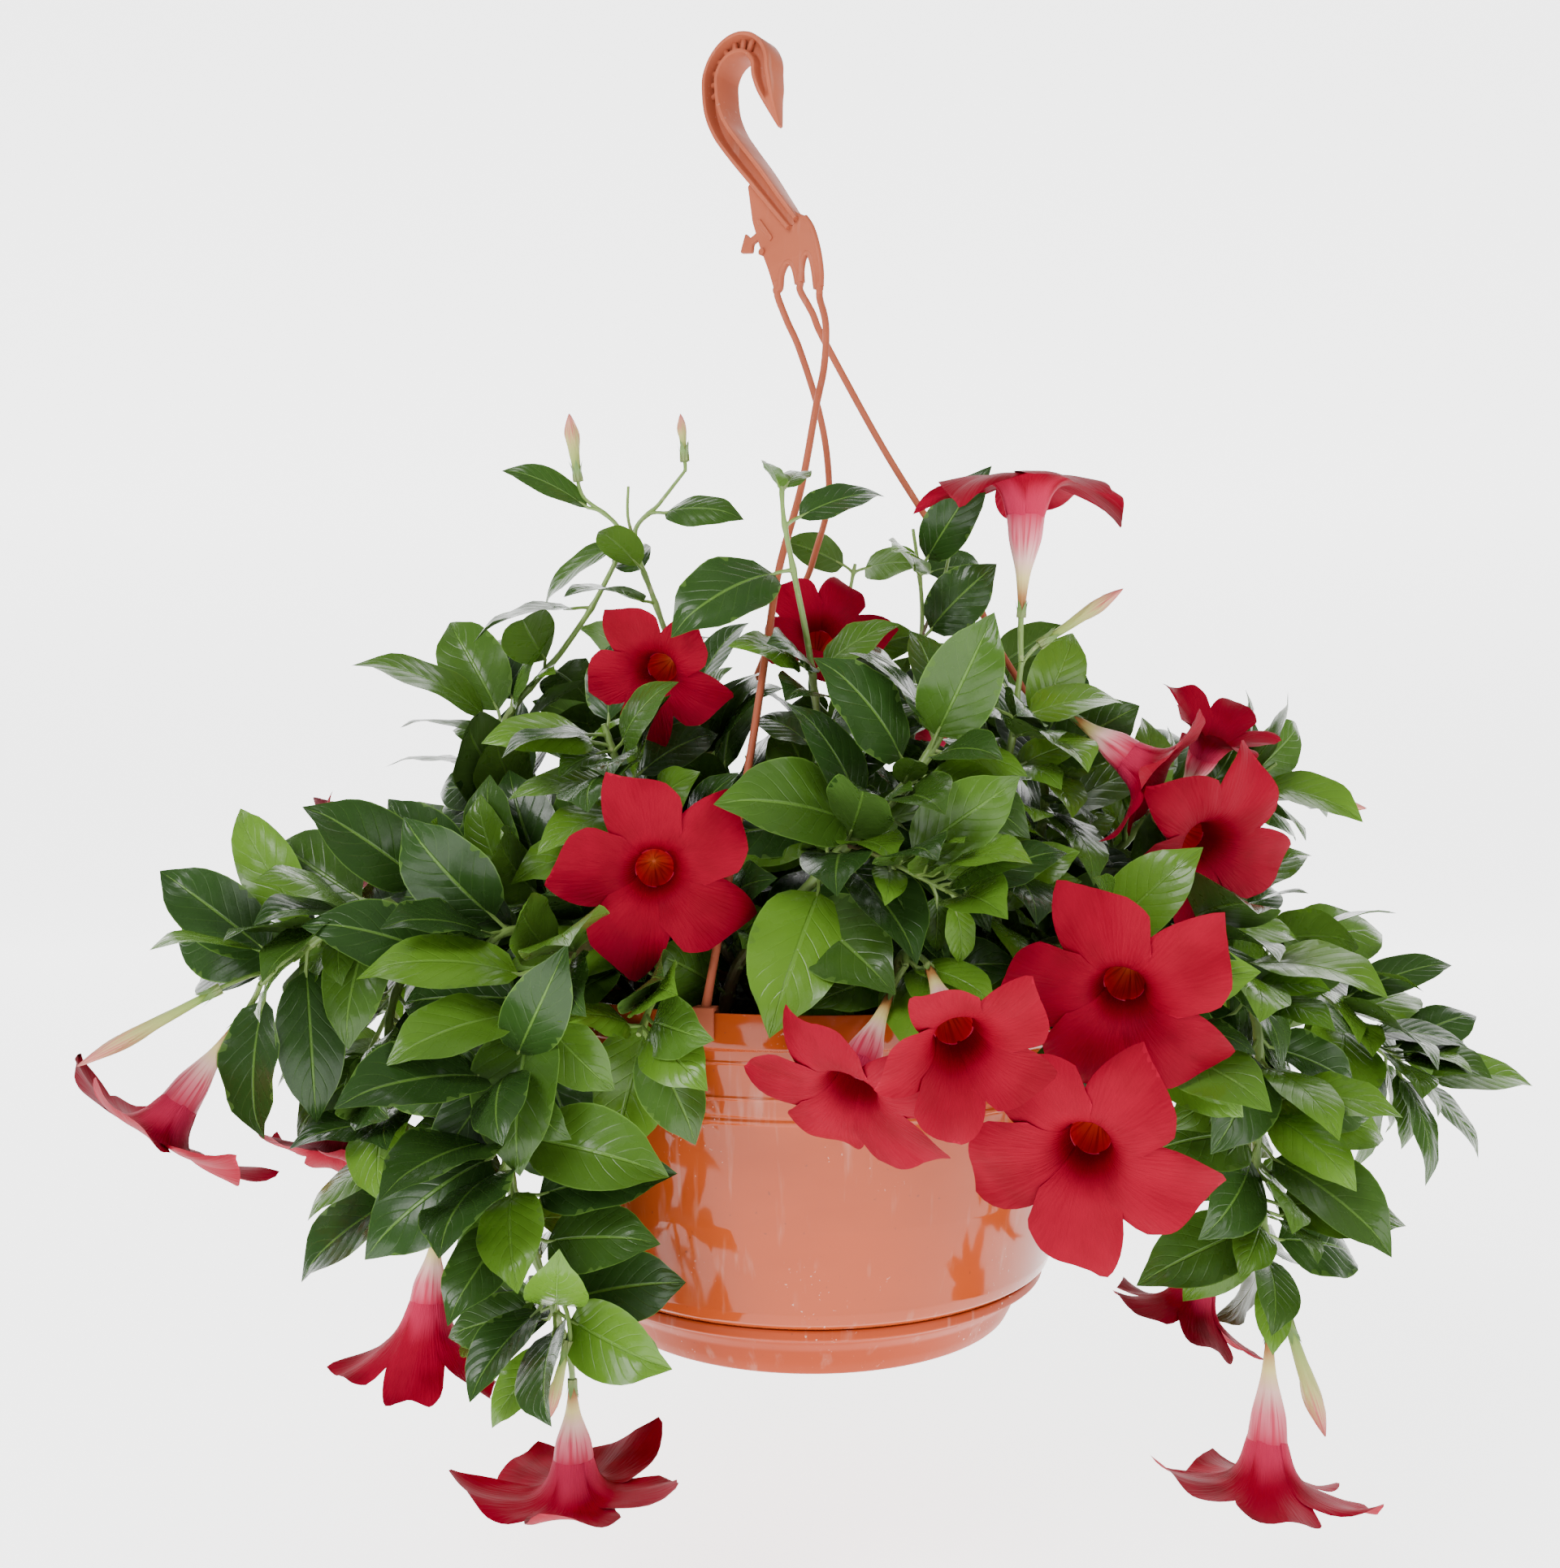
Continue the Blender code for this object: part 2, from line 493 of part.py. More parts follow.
@dataclass
class PlacedLeaf:
    """A leaf in its final place, in millimetres."""
    root: Vector
    base: Vector
    along: Vector
    up: Vector
    length: float
    width: float
    fine: bool

    def midrib(self, t):
        """Point, direction and upper normal of the midrib at t from 0 (base) to 1 (tip)."""
        bend = SPRING_ANGLE
        reach = self.length / bend
        turn = bend * t
        point = (self.base + self.along * (reach * math.sin(turn))
                 - self.up * (reach * (1 - math.cos(turn))))
        ahead = self.along * math.cos(turn) - self.up * math.sin(turn)
        normal = self.up * math.cos(turn) + self.along * math.sin(turn)
        return point, ahead, normal

    def half_width(self, t):
        """Half the blade's width at t: ovate, widest at two fifths, drawn out to a tip."""
        body = t ** 0.6 * (1 - t) ** 0.85 / 0.374
        drip = min(max((t - 0.72) / 0.2, 0.0), 1.0)
        return 0.5 * self.width * body * (1 - 0.3 * drip * drip * (3 - 2 * drip))

    def solid(self, thick, stalk=True):
        """Vertices and triangles of the blade, lens-shaped across, with or without stalk."""
        side = self.along.cross(self.up)
        rings = []
        if stalk:
            rings.append(self.stalk_ring(self.root, side, 0.5 * PETIOLE))
            rings.append(self.stalk_ring(self.base, side, PETIOLE))
        for t in (0.2, 0.47, 0.78) if self.fine else (0.26, 0.68):
            point, _, normal = self.midrib(t)
            half = self.half_width(t)
            left, right = point - side * half, point + side * half
            if self.fine:
                lift = normal * (half * FOLD)
                rings.append((left + lift, point + normal * thick / 2,
                              right + lift, point - normal * thick / 2))
            else:
                rings.append((left, right, point - normal * thick))
        tip = self.midrib(1.0)[0]
        vertices = [v for ring in rings for v in ring] + [tip]
        corners = len(rings[0])
        faces = [(0, k, k + 1) for k in range(1, corners - 1)]
        for i in range(len(rings) - 1):
            start = corners * i
            faces += bridge(range(start, start + corners),
                            range(start + corners, start + 2 * corners))
        last = len(vertices) - 1
        faces += [(last - corners + k, last - corners + (k + 1) % corners, last)
                  for k in range(corners)]
        return vertices, faces

    def stalk_ring(self, point, side, half):
        """Corners of the stalk's section: a diamond, or a triangle under a plain leaf."""
        if self.fine:
            return (point - side * half, point + self.up * half,
                    point + side * half, point - self.up * half)
        return (point - side * half, point + side * half, point - self.up * 2 * half)


def aimed_leaf(points, at, length, width, aim, face, sway, lean, fine):
    """A leaf on a shoot at a fraction of its length, aimed and then swayed round the shoot."""
    root, ahead = place_on(points, at)
    aim = Vector(aim).normalized()
    aim = Quaternion(ahead, math.radians(sway)) @ aim
    face = Vector(face) if face else light_side(root)
    up = square_to(face, aim)
    up = Quaternion(aim, math.radians(lean)) @ up
    along = aim * math.cos(SPRING_ANGLE / 2) + up * math.sin(SPRING_ANGLE / 2)
    up = up * math.cos(SPRING_ANGLE / 2) - aim * math.sin(SPRING_ANGLE / 2)
    stalk = (aim + ahead * 0.25).normalized() * (0.13 * length + 1.5)
    return PlacedLeaf(root, root + stalk, along, up, length, width, fine)


TRIES = ((0, 0, 1.0), (14, 0, 1.0), (-14, 0, 1.0), (0, 25, 1.0), (0, -25, 1.0), (28, 10, 1.0),
         (-28, -10, 1.0), (42, 0, 0.9), (-42, 0, 0.9), (60, 15, 0.85), (-60, -15, 0.85),
         (20, 45, 0.75), (-20, -45, 0.75), (85, 0, 0.75), (-85, 0, 0.75), (0, 0, 0.65))


def settle_leaf(around, owner, points, at, length, width, aim, face, fine):
    """The first trial place of a leaf that crosses nothing, or None."""
    own = (owner, owner + " leaf")
    for sway, lean, scale in TRIES:
        leaf = aimed_leaf(points, at, length * scale, width * scale, aim, face, sway, lean,
                          fine)
        if around.crossed(leaf.solid(LEAF_THICK + 2 * CLEARANCE, stalk=False)):
            continue
        if around.crossed(leaf.solid(LEAF_THICK), own):
            continue
        around.add(leaf.solid(LEAF_THICK), own[1])
        return leaf
    return None


def leaves_by_rule(shoot, points, rng):
    """Aims of the opposite pairs of a shoot, each pair a quarter turn on from the last."""
    first, last = shoot.span
    for k in range(shoot.pairs):
        share = k / max(1, shoot.pairs - 1)
        at = first + (last - first) * share
        root, ahead = place_on(points, at)
        level = square_to(Vector((0, 0, 1)).cross(ahead), ahead)
        turn = math.radians(90 * k + rng.uniform(-22, 22))
        across = Quaternion(ahead, turn) @ level
        size = shoot.size[0] + (shoot.size[1] - shoot.size[0]) * share
        for side in (1, -1):
            length = size * rng.uniform(0.9, 1.06)
            aim = (across * side * 0.85 + ahead * 0.4 + outward_of(root) * 0.3
                   + Vector((0, 0, rng.uniform(-0.4, 0.05))))
            yield at, length, length * rng.uniform(0.5, 0.6), aim


def bloom_solid(bloom):
    """Vertices and triangles of a bloom: calyx, funnel tube and five skewed petals."""
    base, face = Vector(bloom.base), Vector(bloom.face)
    axis = (face - base).normalized()
    tube = (face - base).length
    across = square_to(Vector((0, 0, 1)) if abs(axis.z) < 0.9 else Vector((1, 0, 0)), axis)
    other = axis.cross(across)
    radius = bloom.width * 0.54
    lip = min(9.0, radius * 0.25)
    rng = random.Random(round(bloom.width * 7 + bloom.turn + bloom.base[0]))
    spreads = [math.radians(bloom.spread + rng.uniform(-9, 9)) for _ in range(5)]

    def spoke(degrees, r, z):
        turn = math.radians(degrees + bloom.turn)
        return base + axis * z + (across * math.cos(turn) + other * math.sin(turn)) * r

    def ring5(r, z):
        return [spoke(72 * i - 36, r, z) for i in range(5)]

    def edge():
        points = []
        for i in range(5):
            for angle, share, lift in ((-36, 0.5, 0.0), (-16, 0.88, 0.05), (8, 1.0, 0.0),
                                       (24, 0.84, -0.07)):
                spread = spreads[i] if angle != -36 else (spreads[i] + spreads[i - 1]) / 2
                reach = radius * share - lip
                points.append(spoke(72 * i + angle, lip + reach * math.sin(spread),
                                    tube + reach * math.cos(spread) + lift * radius))
        return points

    rings = [ring5(1.7, 0), ring5(3.2, 0.34 * tube), ring5(0.8 * lip, 0.66 * tube),
             ring5(1.12 * lip, tube - 1.0), edge(), ring5(0.98 * lip, tube + 0.6),
             ring5(0.3 * lip, 0.6 * tube)]
    vertices = [v for ring in rings for v in ring]
    faces = []
    start = 0
    for ring, following in zip(rings, rings[1:]):
        middle = start + len(ring)
        near, far = range(start, middle), range(middle, middle + len(following))
        faces += bridge(near, far) if len(ring) <= len(following) else bridge(far, near)
        start = middle
    faces += [(0, 2, 1), (0, 3, 2), (0, 4, 3)]
    faces += [(start, start + 1, start + 2), (start, start + 2, start + 3),
              (start, start + 3, start + 4)]
    return vertices, faces


def bud_solid(bud):
    """Vertices and triangles of a furled bud: a spindle swollen above its middle."""
    base, tip = Vector(bud.base), Vector(bud.tip)
    axis = tip - base
    across = square_to(Vector((0, 0, 1)), axis.normalized())
    other = axis.normalized().cross(across)
    vertices = []
    for share, radius in ((0, 0.4), (0.18, 0.5), (0.45, 0.72), (0.68, 1.0), (0.86, 0.6)):
        for k in range(6):
            turn = math.pi * k / 3
            vertices.append(base + axis * share + bud.radius * radius
                            * (across * math.cos(turn) + other * math.sin(turn)))
    vertices.append(tip)
    faces = [(0, 2, 1), (0, 3, 2), (0, 4, 3), (0, 5, 4)]
    for i in range(4):
        faces += bridge(range(6 * i, 6 * i + 6), range(6 * i + 6, 6 * i + 12))
    faces += [(24 + k, 24 + (k + 1) % 6, 30) for k in range(6)]
    return vertices, faces


@dataclass
class PlantPlan:
    """Every tube of each stem, as (points, radii), and every leaf in its place."""
    tubes: dict
    leaves: dict


def plan_plant(around):
    """Stems, stalks and leaves: what grows first is in the way of what comes later."""
    tubes = {}
    shoots = {}
    for name, parts in STEMS.items():
        tubes[name] = []
        shoots[name] = [catmull_rom(shoot.route, STEM_STEP) for shoot in parts]
        for number, (shoot, points) in enumerate(zip(parts, shoots[name])):
            if number == 0:
                points = [Vector((points[0].x, points[0].y, PLUG_BOTTOM))] + points
            tubes[name].append((points, shoot.thick))
    for bloom in BLOOMS.values():
        base, face = Vector(bloom.base), Vector(bloom.face)
        start = place_on(shoots[bloom.stem][0], bloom.at)[0]
        tubes[bloom.stem].append((stalk_points(start, base, (face - base).normalized()),
                                  (1.5, 1.5)))
    for bud in BUDS.values():
        base, tip = Vector(bud.base), Vector(bud.tip)
        start = place_on(shoots[bud.stem][0], bud.at)[0]
        tubes[bud.stem].append((stalk_points(start, base, (tip - base).normalized()),
                                (1.1, 1.1)))
    for name, bloom in BLOOMS.items():
        around.add(bloom_solid(bloom), name)
    for name, bud in BUDS.items():
        around.add(bud_solid(bud), name)
    for name, parts in tubes.items():
        for points, thick in parts:
            around.add(sleeve(points, max(thick) + 0.8), name)
    leaves = {name: [] for name in STEMS}
    for name, parts in STEMS.items():
        for shoot, points in zip(parts, shoots[name]):
            for spec in shoot.leaves:
                leaves[name].append(settle_leaf(around, name, points, spec.at, spec.length,
                                                spec.width, spec.aim, spec.face,
                                                spec.length > 54))
    rng = random.Random(27)
    for name, parts in STEMS.items():
        for shoot, points in zip(parts, shoots[name]):
            for at, length, width, aim in leaves_by_rule(shoot, points, rng):
                leaves[name].append(settle_leaf(around, name, points, at, length, width,
                                                aim, (), False))
        leaves[name] = [leaf for leaf in leaves[name] if leaf]
    return PlantPlan(tubes, leaves)


def clear_scene():
    """Remove every object that the scene starts with."""
    for item in list(bpy.data.objects):
        bpy.data.objects.remove(item, do_unlink=True)


def new_collection(name):
    """A collection linked to the scene."""
    collection = bpy.data.collections.new(name)
    bpy.context.scene.collection.children.link(collection)
    return collection


def finish(name, colour, roughness, metallic=0.0):
    """A Principled BSDF material."""
    material = bpy.data.materials.new(name)
    material.use_nodes = True
    shader = material.node_tree.nodes["Principled BSDF"]
    shader.inputs["Base Color"].default_value = (*colour, 1.0)
    shader.inputs["Roughness"].default_value = roughness
    shader.inputs["Metallic"].default_value = metallic
    return material


def mesh_object(name, vertices, faces, collection):
    """An object from vertices in millimetres and faces, with its normals outward."""
    mesh = bpy.data.meshes.new(name)
    mesh.from_pydata([tuple(Vector(v) * MM) for v in vertices], [], faces)
    shape = bmesh.new()
    shape.from_mesh(mesh)
    bmesh.ops.recalc_face_normals(shape, faces=shape.faces)
    shape.to_mesh(mesh)
    shape.free()
    item = bpy.data.objects.new(name, mesh)
    collection.objects.link(item)
    return item


def turned(name, profile, steps, collection):
    """A turned piece: the profile runs from the axis up inside and down its outer side."""
    edges = [(i, i + 1) for i in range(len(profile) - 1)]
    mesh = bpy.data.meshes.new(name)
    mesh.from_pydata([(r * MM, 0, z * MM) for r, z in profile], edges, [])
    item = bpy.data.objects.new(name, mesh)
    collection.objects.link(item)
    screw = item.modifiers.new("turn", "SCREW")
    screw.axis = "Z"
    screw.steps = steps
    screw.render_steps = steps
    screw.use_merge_vertices = True
    screw.merge_threshold = 0.00001
    return item


def to_mesh(item):
    """Replace an object that has modifiers, or a curve, by its evaluated mesh, caps welded."""
    graph = bpy.context.evaluated_depsgraph_get()
    mesh = bpy.data.meshes.new_from_object(item.evaluated_get(graph))
    shape = bmesh.new()
    shape.from_mesh(mesh)
    bmesh.ops.remove_doubles(shape, verts=shape.verts, dist=0.000002)
    bmesh.ops.recalc_face_normals(shape, faces=shape.faces)
    shape.to_mesh(mesh)
    shape.free()
    name = item.name
    fresh = bpy.data.objects.new("solid", mesh)
    fresh.matrix_world = item.matrix_world
    item.users_collection[0].objects.link(fresh)
    bpy.data.objects.remove(item, do_unlink=True)
    fresh.name = name
    return fresh


def tube(name, points, radii, resolution, collection):
    """A stem or strand as a curve with a bevel, made into a mesh with welded caps."""
    curve = bpy.data.curves.new(name, "CURVE")
    curve.dimensions = "3D"
    curve.bevel_depth = MM
    curve.bevel_resolution = resolution
    curve.use_fill_caps = True
    spline = curve.splines.new("POLY")
    spline.points.add(len(points) - 1)
    for i, point in enumerate(points):
        share = i / (len(points) - 1)
        spline.points[i].co = (*(Vector(point) * MM), 1.0)
        spline.points[i].radius = radii[0] + (radii[1] - radii[0]) * share
    item = bpy.data.objects.new(name, curve)
    collection.objects.link(item)
    bpy.context.view_layer.update()
    return to_mesh(item)


def outline(name, points, thickness, matrix, collection):
    """A flat piece cut to an outline, as an extruded 2D curve, made into a mesh."""
    curve = bpy.data.curves.new(name, "CURVE")
    curve.dimensions = "2D"
    curve.fill_mode = "BOTH"
    curve.extrude = thickness * MM / 2
    spline = curve.splines.new("POLY")
    spline.points.add(len(points) - 1)
    for i, (x, y) in enumerate(points):
        spline.points[i].co = (x * MM, y * MM, 0, 1)
    spline.use_cyclic_u = True
    item = bpy.data.objects.new(name, curve)
    item.matrix_world = matrix
    collection.objects.link(item)
    bpy.context.view_layer.update()
    return to_mesh(item)


def join(base, others, solver):
    """Union of one object with several, in one Boolean on their collection."""
    if not others:
        return base
    group = new_collection(base.name + "_joined")
    for item in others:
        for holder in item.users_collection:
            holder.objects.unlink(item)
        group.objects.link(item)
    union = base.modifiers.new("join", "BOOLEAN")
    union.operation = "UNION"
    union.operand_type = "COLLECTION"
    union.collection = group
    union.solver = solver
    bpy.context.view_layer.update()
    base = to_mesh(base)
    for item in list(group.objects):
        bpy.data.objects.remove(item, do_unlink=True)
    bpy.data.collections.remove(group)
    return base


def cut(item, cutters):
    """Leave a Boolean difference on an object, against a collection of cutters."""
    difference = item.modifiers.new("cut", "BOOLEAN")
    difference.operation = "DIFFERENCE"
    difference.operand_type = "COLLECTION"
    difference.collection = cutters
    difference.solver = "EXACT"


def as_cutter(item):
    """Mark an object as a cutter."""
    item.hide_render = True
    item.display_type = "WIRE"
    return item


def pot_profile():
    """The pot's shell: up the inner wall, over the rolled rim and down the outside."""
    foot, shoulder = 98.0, 112.6
    inner = RIM_RADIUS - WALL
    return [(0, 3.9), (89.5, 3.9), (94.8, 8.2), (96.0, 24.4), (110.2, 28.6),
            (126.7, GROOVE_Z), (inner - 3.0, POT_HEIGHT - RIM_BAND - 1),
            (inner, POT_HEIGHT - RIM_BAND + 2), (inner, POT_HEIGHT - 1.0),
            (inner + 0.9, POT_HEIGHT), (RIM_RADIUS, POT_HEIGHT - 1.2),
            (RIM_RADIUS, POT_HEIGHT - RIM_BAND), (131.4, POT_HEIGHT - RIM_BAND - 1.4),
            (129.0, GROOVE_Z + 1.2), (128.3, GROOVE_Z), (123.6, 70), (117.7, 38),
            (shoulder, FOOT_TOP), (foot, 22.5), (foot - 1.0, 8), (90.4, SAUCER_FLOOR + GAP),
            (0, SAUCER_FLOOR + GAP)]


def build_pot(home, cutters):
    """The pot with its drain holes and a slot beside each clip."""
    pot = turned("pot", pot_profile(), POT_STEPS, home)
    holes = new_collection("pot_cutters")
    cutters.children.link(holes)
    bpy.context.scene.collection.children.unlink(holes)
    for k in range(DRAIN_COUNT):
        turn = 2 * math.pi * k / DRAIN_COUNT
        bpy.ops.mesh.primitive_cylinder_add(
            vertices=6, radius=DRAIN_RADIUS * MM, depth=0.012,
            location=(DRAIN_CIRCLE * MM * math.cos(turn), DRAIN_CIRCLE * MM * math.sin(turn), 0.003))
        move_to(bpy.context.object, "drain_cutter_%d" % k, holes)
    for name, angle in CLIP_ANGLES.items():
        turn = math.radians(angle - SLOT_OFFSET)
        bpy.ops.mesh.primitive_cube_add(
            size=1, rotation=(0, 0, turn),
            location=(RIM_RADIUS * MM * math.cos(turn), RIM_RADIUS * MM * math.sin(turn),
                      SLOT_Z * MM))
        block = bpy.context.object
        block.scale = (0.012, SLOT_WIDTH * MM, SLOT_HEIGHT * MM)
        move_to(block, name + "_slot_cutter", holes)
    cut(pot, holes)
    return pot


def move_to(item, name, collection):
    """Name a fresh cutter and move it to its collection."""
    item.name = name
    for holder in item.users_collection:
        holder.objects.unlink(item)
    collection.objects.link(item)
    as_cutter(item)


def build_saucer(home):
    """The clip-on saucer with its rim band."""
    top = SAUCER_TOP
    profile = [(0, SAUCER_FLOOR), (91.0, SAUCER_FLOOR), (97.6, 8), (100.4, 15.0),
               (110.6, 22.4), (112.0, top), (SAUCER_RADIUS, top - 0.5), (SAUCER_RADIUS, 21.2),
               (104.6, 17.6), (102.0, 14.0), (99.0, 6.5), (96.4, 1.8), (92.4, 0), (0, 0)]
    return turned("saucer", profile, POT_STEPS, home)


def build_soil(home, cutters, plan):
    """Potting soil, a low mound with a plain square hole for each stem."""
    profile = [(0, SOIL_TOP + 2.5), (70, SOIL_TOP + 1), (127.6, SOIL_TOP - 3),
               (126.2, GROOVE_Z), (109.8, 29.2), (95.4, 25.0), (94.2, 8.8), (89.0, 4.3),
               (0, 4.3)]
    soil = turned("soil", profile, SOIL_STEPS, home)
    holes = new_collection("soil_cutters")
    cutters.children.link(holes)
    bpy.context.scene.collection.children.unlink(holes)
    for name, parts in plan.tubes.items():
        points, thick = parts[0]
        top = points[1] + Vector((0, 0, 6))
        hole = tube(name + "_hole", [points[0] - Vector((0, 0, 0.4)), top],
                    (thick[0] + 0.5, thick[0] + 0.5), 0, holes)
        as_cutter(hole)
    cut(soil, holes)
    return soil


def plane_of_hanger():
    """Matrix of the hook's own plane: local X level, local Y up, local Z square to it."""
    level = Vector((math.cos(HANGER_TURN), -math.sin(HANGER_TURN), 0))
    normal = Vector((-math.sin(HANGER_TURN), -math.cos(HANGER_TURN), 0))
    matrix = Matrix((level, (0, 0, 1), normal)).transposed().to_4x4()
    matrix.translation = Vector((HANGER_X, HANGER_Y, 0)) * MM
    return matrix


def hook_stations():
    """Stations of the hook beam: centre (u, z), depth, width and half web, foot to point."""
    web = HALF_WEB
    stations = [((38.0, 521.8), 7.8, 8.0, web), ((28.0, 535.0), 8.8, 11.0, web),
                ((17.0, 549.6), 10.0, 13.5, web), ((6.0, 563.5), 10.4, 15.5, web),
                ((-3.0, 576.0), 10.4, 17.0, web), ((-8.2, 588.0), 10.4, 17.5, web)]
    count = 9
    for k in range(count):
        share = k / (count - 1)
        turn = math.radians(182 - 190 * share)
        centre = (CROWN_U + CROWN_RADIUS * math.cos(turn), CROWN_Z + CROWN_RADIUS * math.sin(turn))
        stations.append((centre, CROWN_DEPTH, 17.5 - 4.0 * share, web))
    stations += [((22.4, 591.5), 9.0, 12.0, web), ((24.0, 585.5), 6.6, 9.5, 4.4),
                 ((26.6, 577.5), 3.4, 6.0, 2.8), ((28.6, 571.5), 1.4, 3.0, 1.4)]
    return stations


def channel_ring(centre, ahead, depth, width, half_web):
    """Twelve corners of the beam's section, in plane coordinates (u, z, across)."""
    outward = Vector((-ahead.y, ahead.x))
    half, side = depth / 2, width / 2
    lip = half - min(FLANGE, depth * 0.3)
    corners = [(half, side), (half, -side), (lip, -side), (lip, -half_web), (-lip, -half_web),
               (-lip, -side), (-half, -side), (-half, side), (-lip, side), (-lip, half_web),
               (lip, half_web), (lip, side)]
    return [(centre[0] + outward.x * e, centre[1] + outward.y * e, w) for e, w in corners]


def build_hook(home):
    """The hook: channel-section beam, fan plate with its feet, barbed tab and raised rib."""
    plane = plane_of_hanger()
    stations = hook_stations()
    vertices = []
    for i, (centre, depth, width, web) in enumerate(stations):
        after = Vector(stations[min(i + 1, len(stations) - 1)][0])
        ahead = (after - Vector(stations[max(i - 1, 0)][0])).normalized()
        vertices += channel_ring(centre, ahead, depth, width, web)
    faces = []
    for i in range(len(stations) - 1):
        faces += bridge(range(12 * i, 12 * i + 12), range(12 * i + 12, 12 * i + 24))
    last = 12 * (len(stations) - 1)
    faces += [tuple(range(12))[::-1], tuple(range(last, last + 12))]
    beam = mesh_object("hook", vertices, faces, home)
    bmesh_triangulate(beam)
    beam.data.transform(plane)
    plate = outline("plate", ((9, 547.5), (12, 529), (16.5, 516), (22, 503), (25.5, 493),
                              (28.6, 493), (29.2, 499), (31, 503), (33.8, 504.5), (36.4, 502.5),
                              (38.2, 498), (39.3, 493), (42.4, 493), (41.2, 499), (42.6, 504.5),
                              (44.8, 506.4), (47, 504.6), (49, 498), (50.6, 487), (54.0, 487),
                              (53.2, 497), (51.2, 508), (48, 518), (44.5, 524.5), (39.5, 527),
                              (17.5, 551)), PLATE, plane, home)
    tab = outline("tab", ((18, 520.4), (12, 518.4), (11.4, 514), (4.0, 515.4), (7.4, 524.6),
                          (10.4, 521.4), (17, 524.4)), PLATE - 0.5, plane, home)
    rib = outline("rib", ((15.6, 527.6), (17.2, 529.0), (24.4, 519.0), (22.6, 517.6)),
                  PLATE + 1.6, plane, home)
    return join(beam, [plate, tab, rib], "MANIFOLD")


def bmesh_triangulate(item):
    """Split the caps of a loft into triangles, so that both ends stay flat and closed."""
    shape = bmesh.new()
    shape.from_mesh(item.data)
    bmesh.ops.triangulate(shape, faces=[f for f in shape.faces if len(f.verts) > 3])
    shape.to_mesh(item.data)
    shape.free()


def build_strand(name, home):
    """A strand with the saddle clip that grips the pot's rim."""
    turn = math.radians(CLIP_ANGLES[name])
    route = list(STRAND_ROUTES[name])
    seat = RIM_RADIUS - 0.9
    route.append((seat * math.cos(turn), seat * math.sin(turn), POT_HEIGHT + 1.2))
    points = catmull_rom(route, 24.0)
    strand = tube(name, points, (STRAND_RADIUS, STRAND_RADIUS), 0, home)
    top, gap = POT_HEIGHT, GAP + 0.4
    inner, outer = RIM_RADIUS - WALL - gap, RIM_RADIUS + gap
    saddle = ((inner - 1.8, top - 9), (inner, top - 9), (inner, top + gap), (outer, top + gap),
              (outer, top - 11), (outer + 1.8, top - 11), (outer + 1.8, top + gap + 1.6),
              (inner - 1.8, top + gap + 1.6))
    radial = Vector((math.cos(turn), math.sin(turn), 0))
    matrix = Matrix((radial, (0, 0, 1), radial.cross((0, 0, 1)))).transposed().to_4x4()
    clip = outline(name + "_clip", saddle, CLIP_WIDTH, matrix, home)
    return join(strand, [clip], "MANIFOLD")


def build_stem(name, plan, home):
    """A leafy stem: its shoots, stalks and leaves joined in one body."""
    parts = [tube("%s_%d" % (name, k), points, thick, 0, home)
             for k, (points, thick) in enumerate(plan.tubes[name])]
    leaves = [mesh_object("%s_leaf_%d" % (name, k), *leaf.solid(LEAF_THICK), home)
              for k, leaf in enumerate(plan.leaves[name])]
    stem = join(parts[0], parts[1:] + leaves, "MANIFOLD")
    stem.name = name
    return stem


def surroundings():
    """The hard pieces that the plant keeps clear of, as plain walls and sleeves."""
    around = Surroundings()
    outer = ((RIM_RADIUS + 3, POT_HEIGHT + 2), (RIM_RADIUS + 1, POT_HEIGHT - RIM_BAND),
             (GROOVE_Z + 14, GROOVE_Z), (118.7, 38), (113.6, FOOT_TOP), (114.2, 20), (93, 0))
    inner = ((RIM_RADIUS - 3, POT_HEIGHT + 1), (129.5, SOIL_TOP - 2), (1, SOIL_TOP + 3.5))
    around.add(turned_wall(outer, 36), "pot wall")
    around.add(turned_wall(inner, 36), "soil surface")
    for name, route in STRAND_ROUTES.items():
        turn = math.radians(CLIP_ANGLES[name])
        foot = (RIM_RADIUS * math.cos(turn), RIM_RADIUS * math.sin(turn), POT_HEIGHT + 2)
        around.add(sleeve(catmull_rom(route + (foot,), 12), STRAND_RADIUS + 1.0), name)
    return around


def hang(items):
    """Parent every piece to an empty that puts the hook's seat at the world origin."""
    frame = bpy.data.objects.new("hanging_frame", None)
    bpy.context.scene.collection.objects.link(frame)
    frame.location = -HOOK_SEAT * MM
    for item in items:
        item.parent = frame


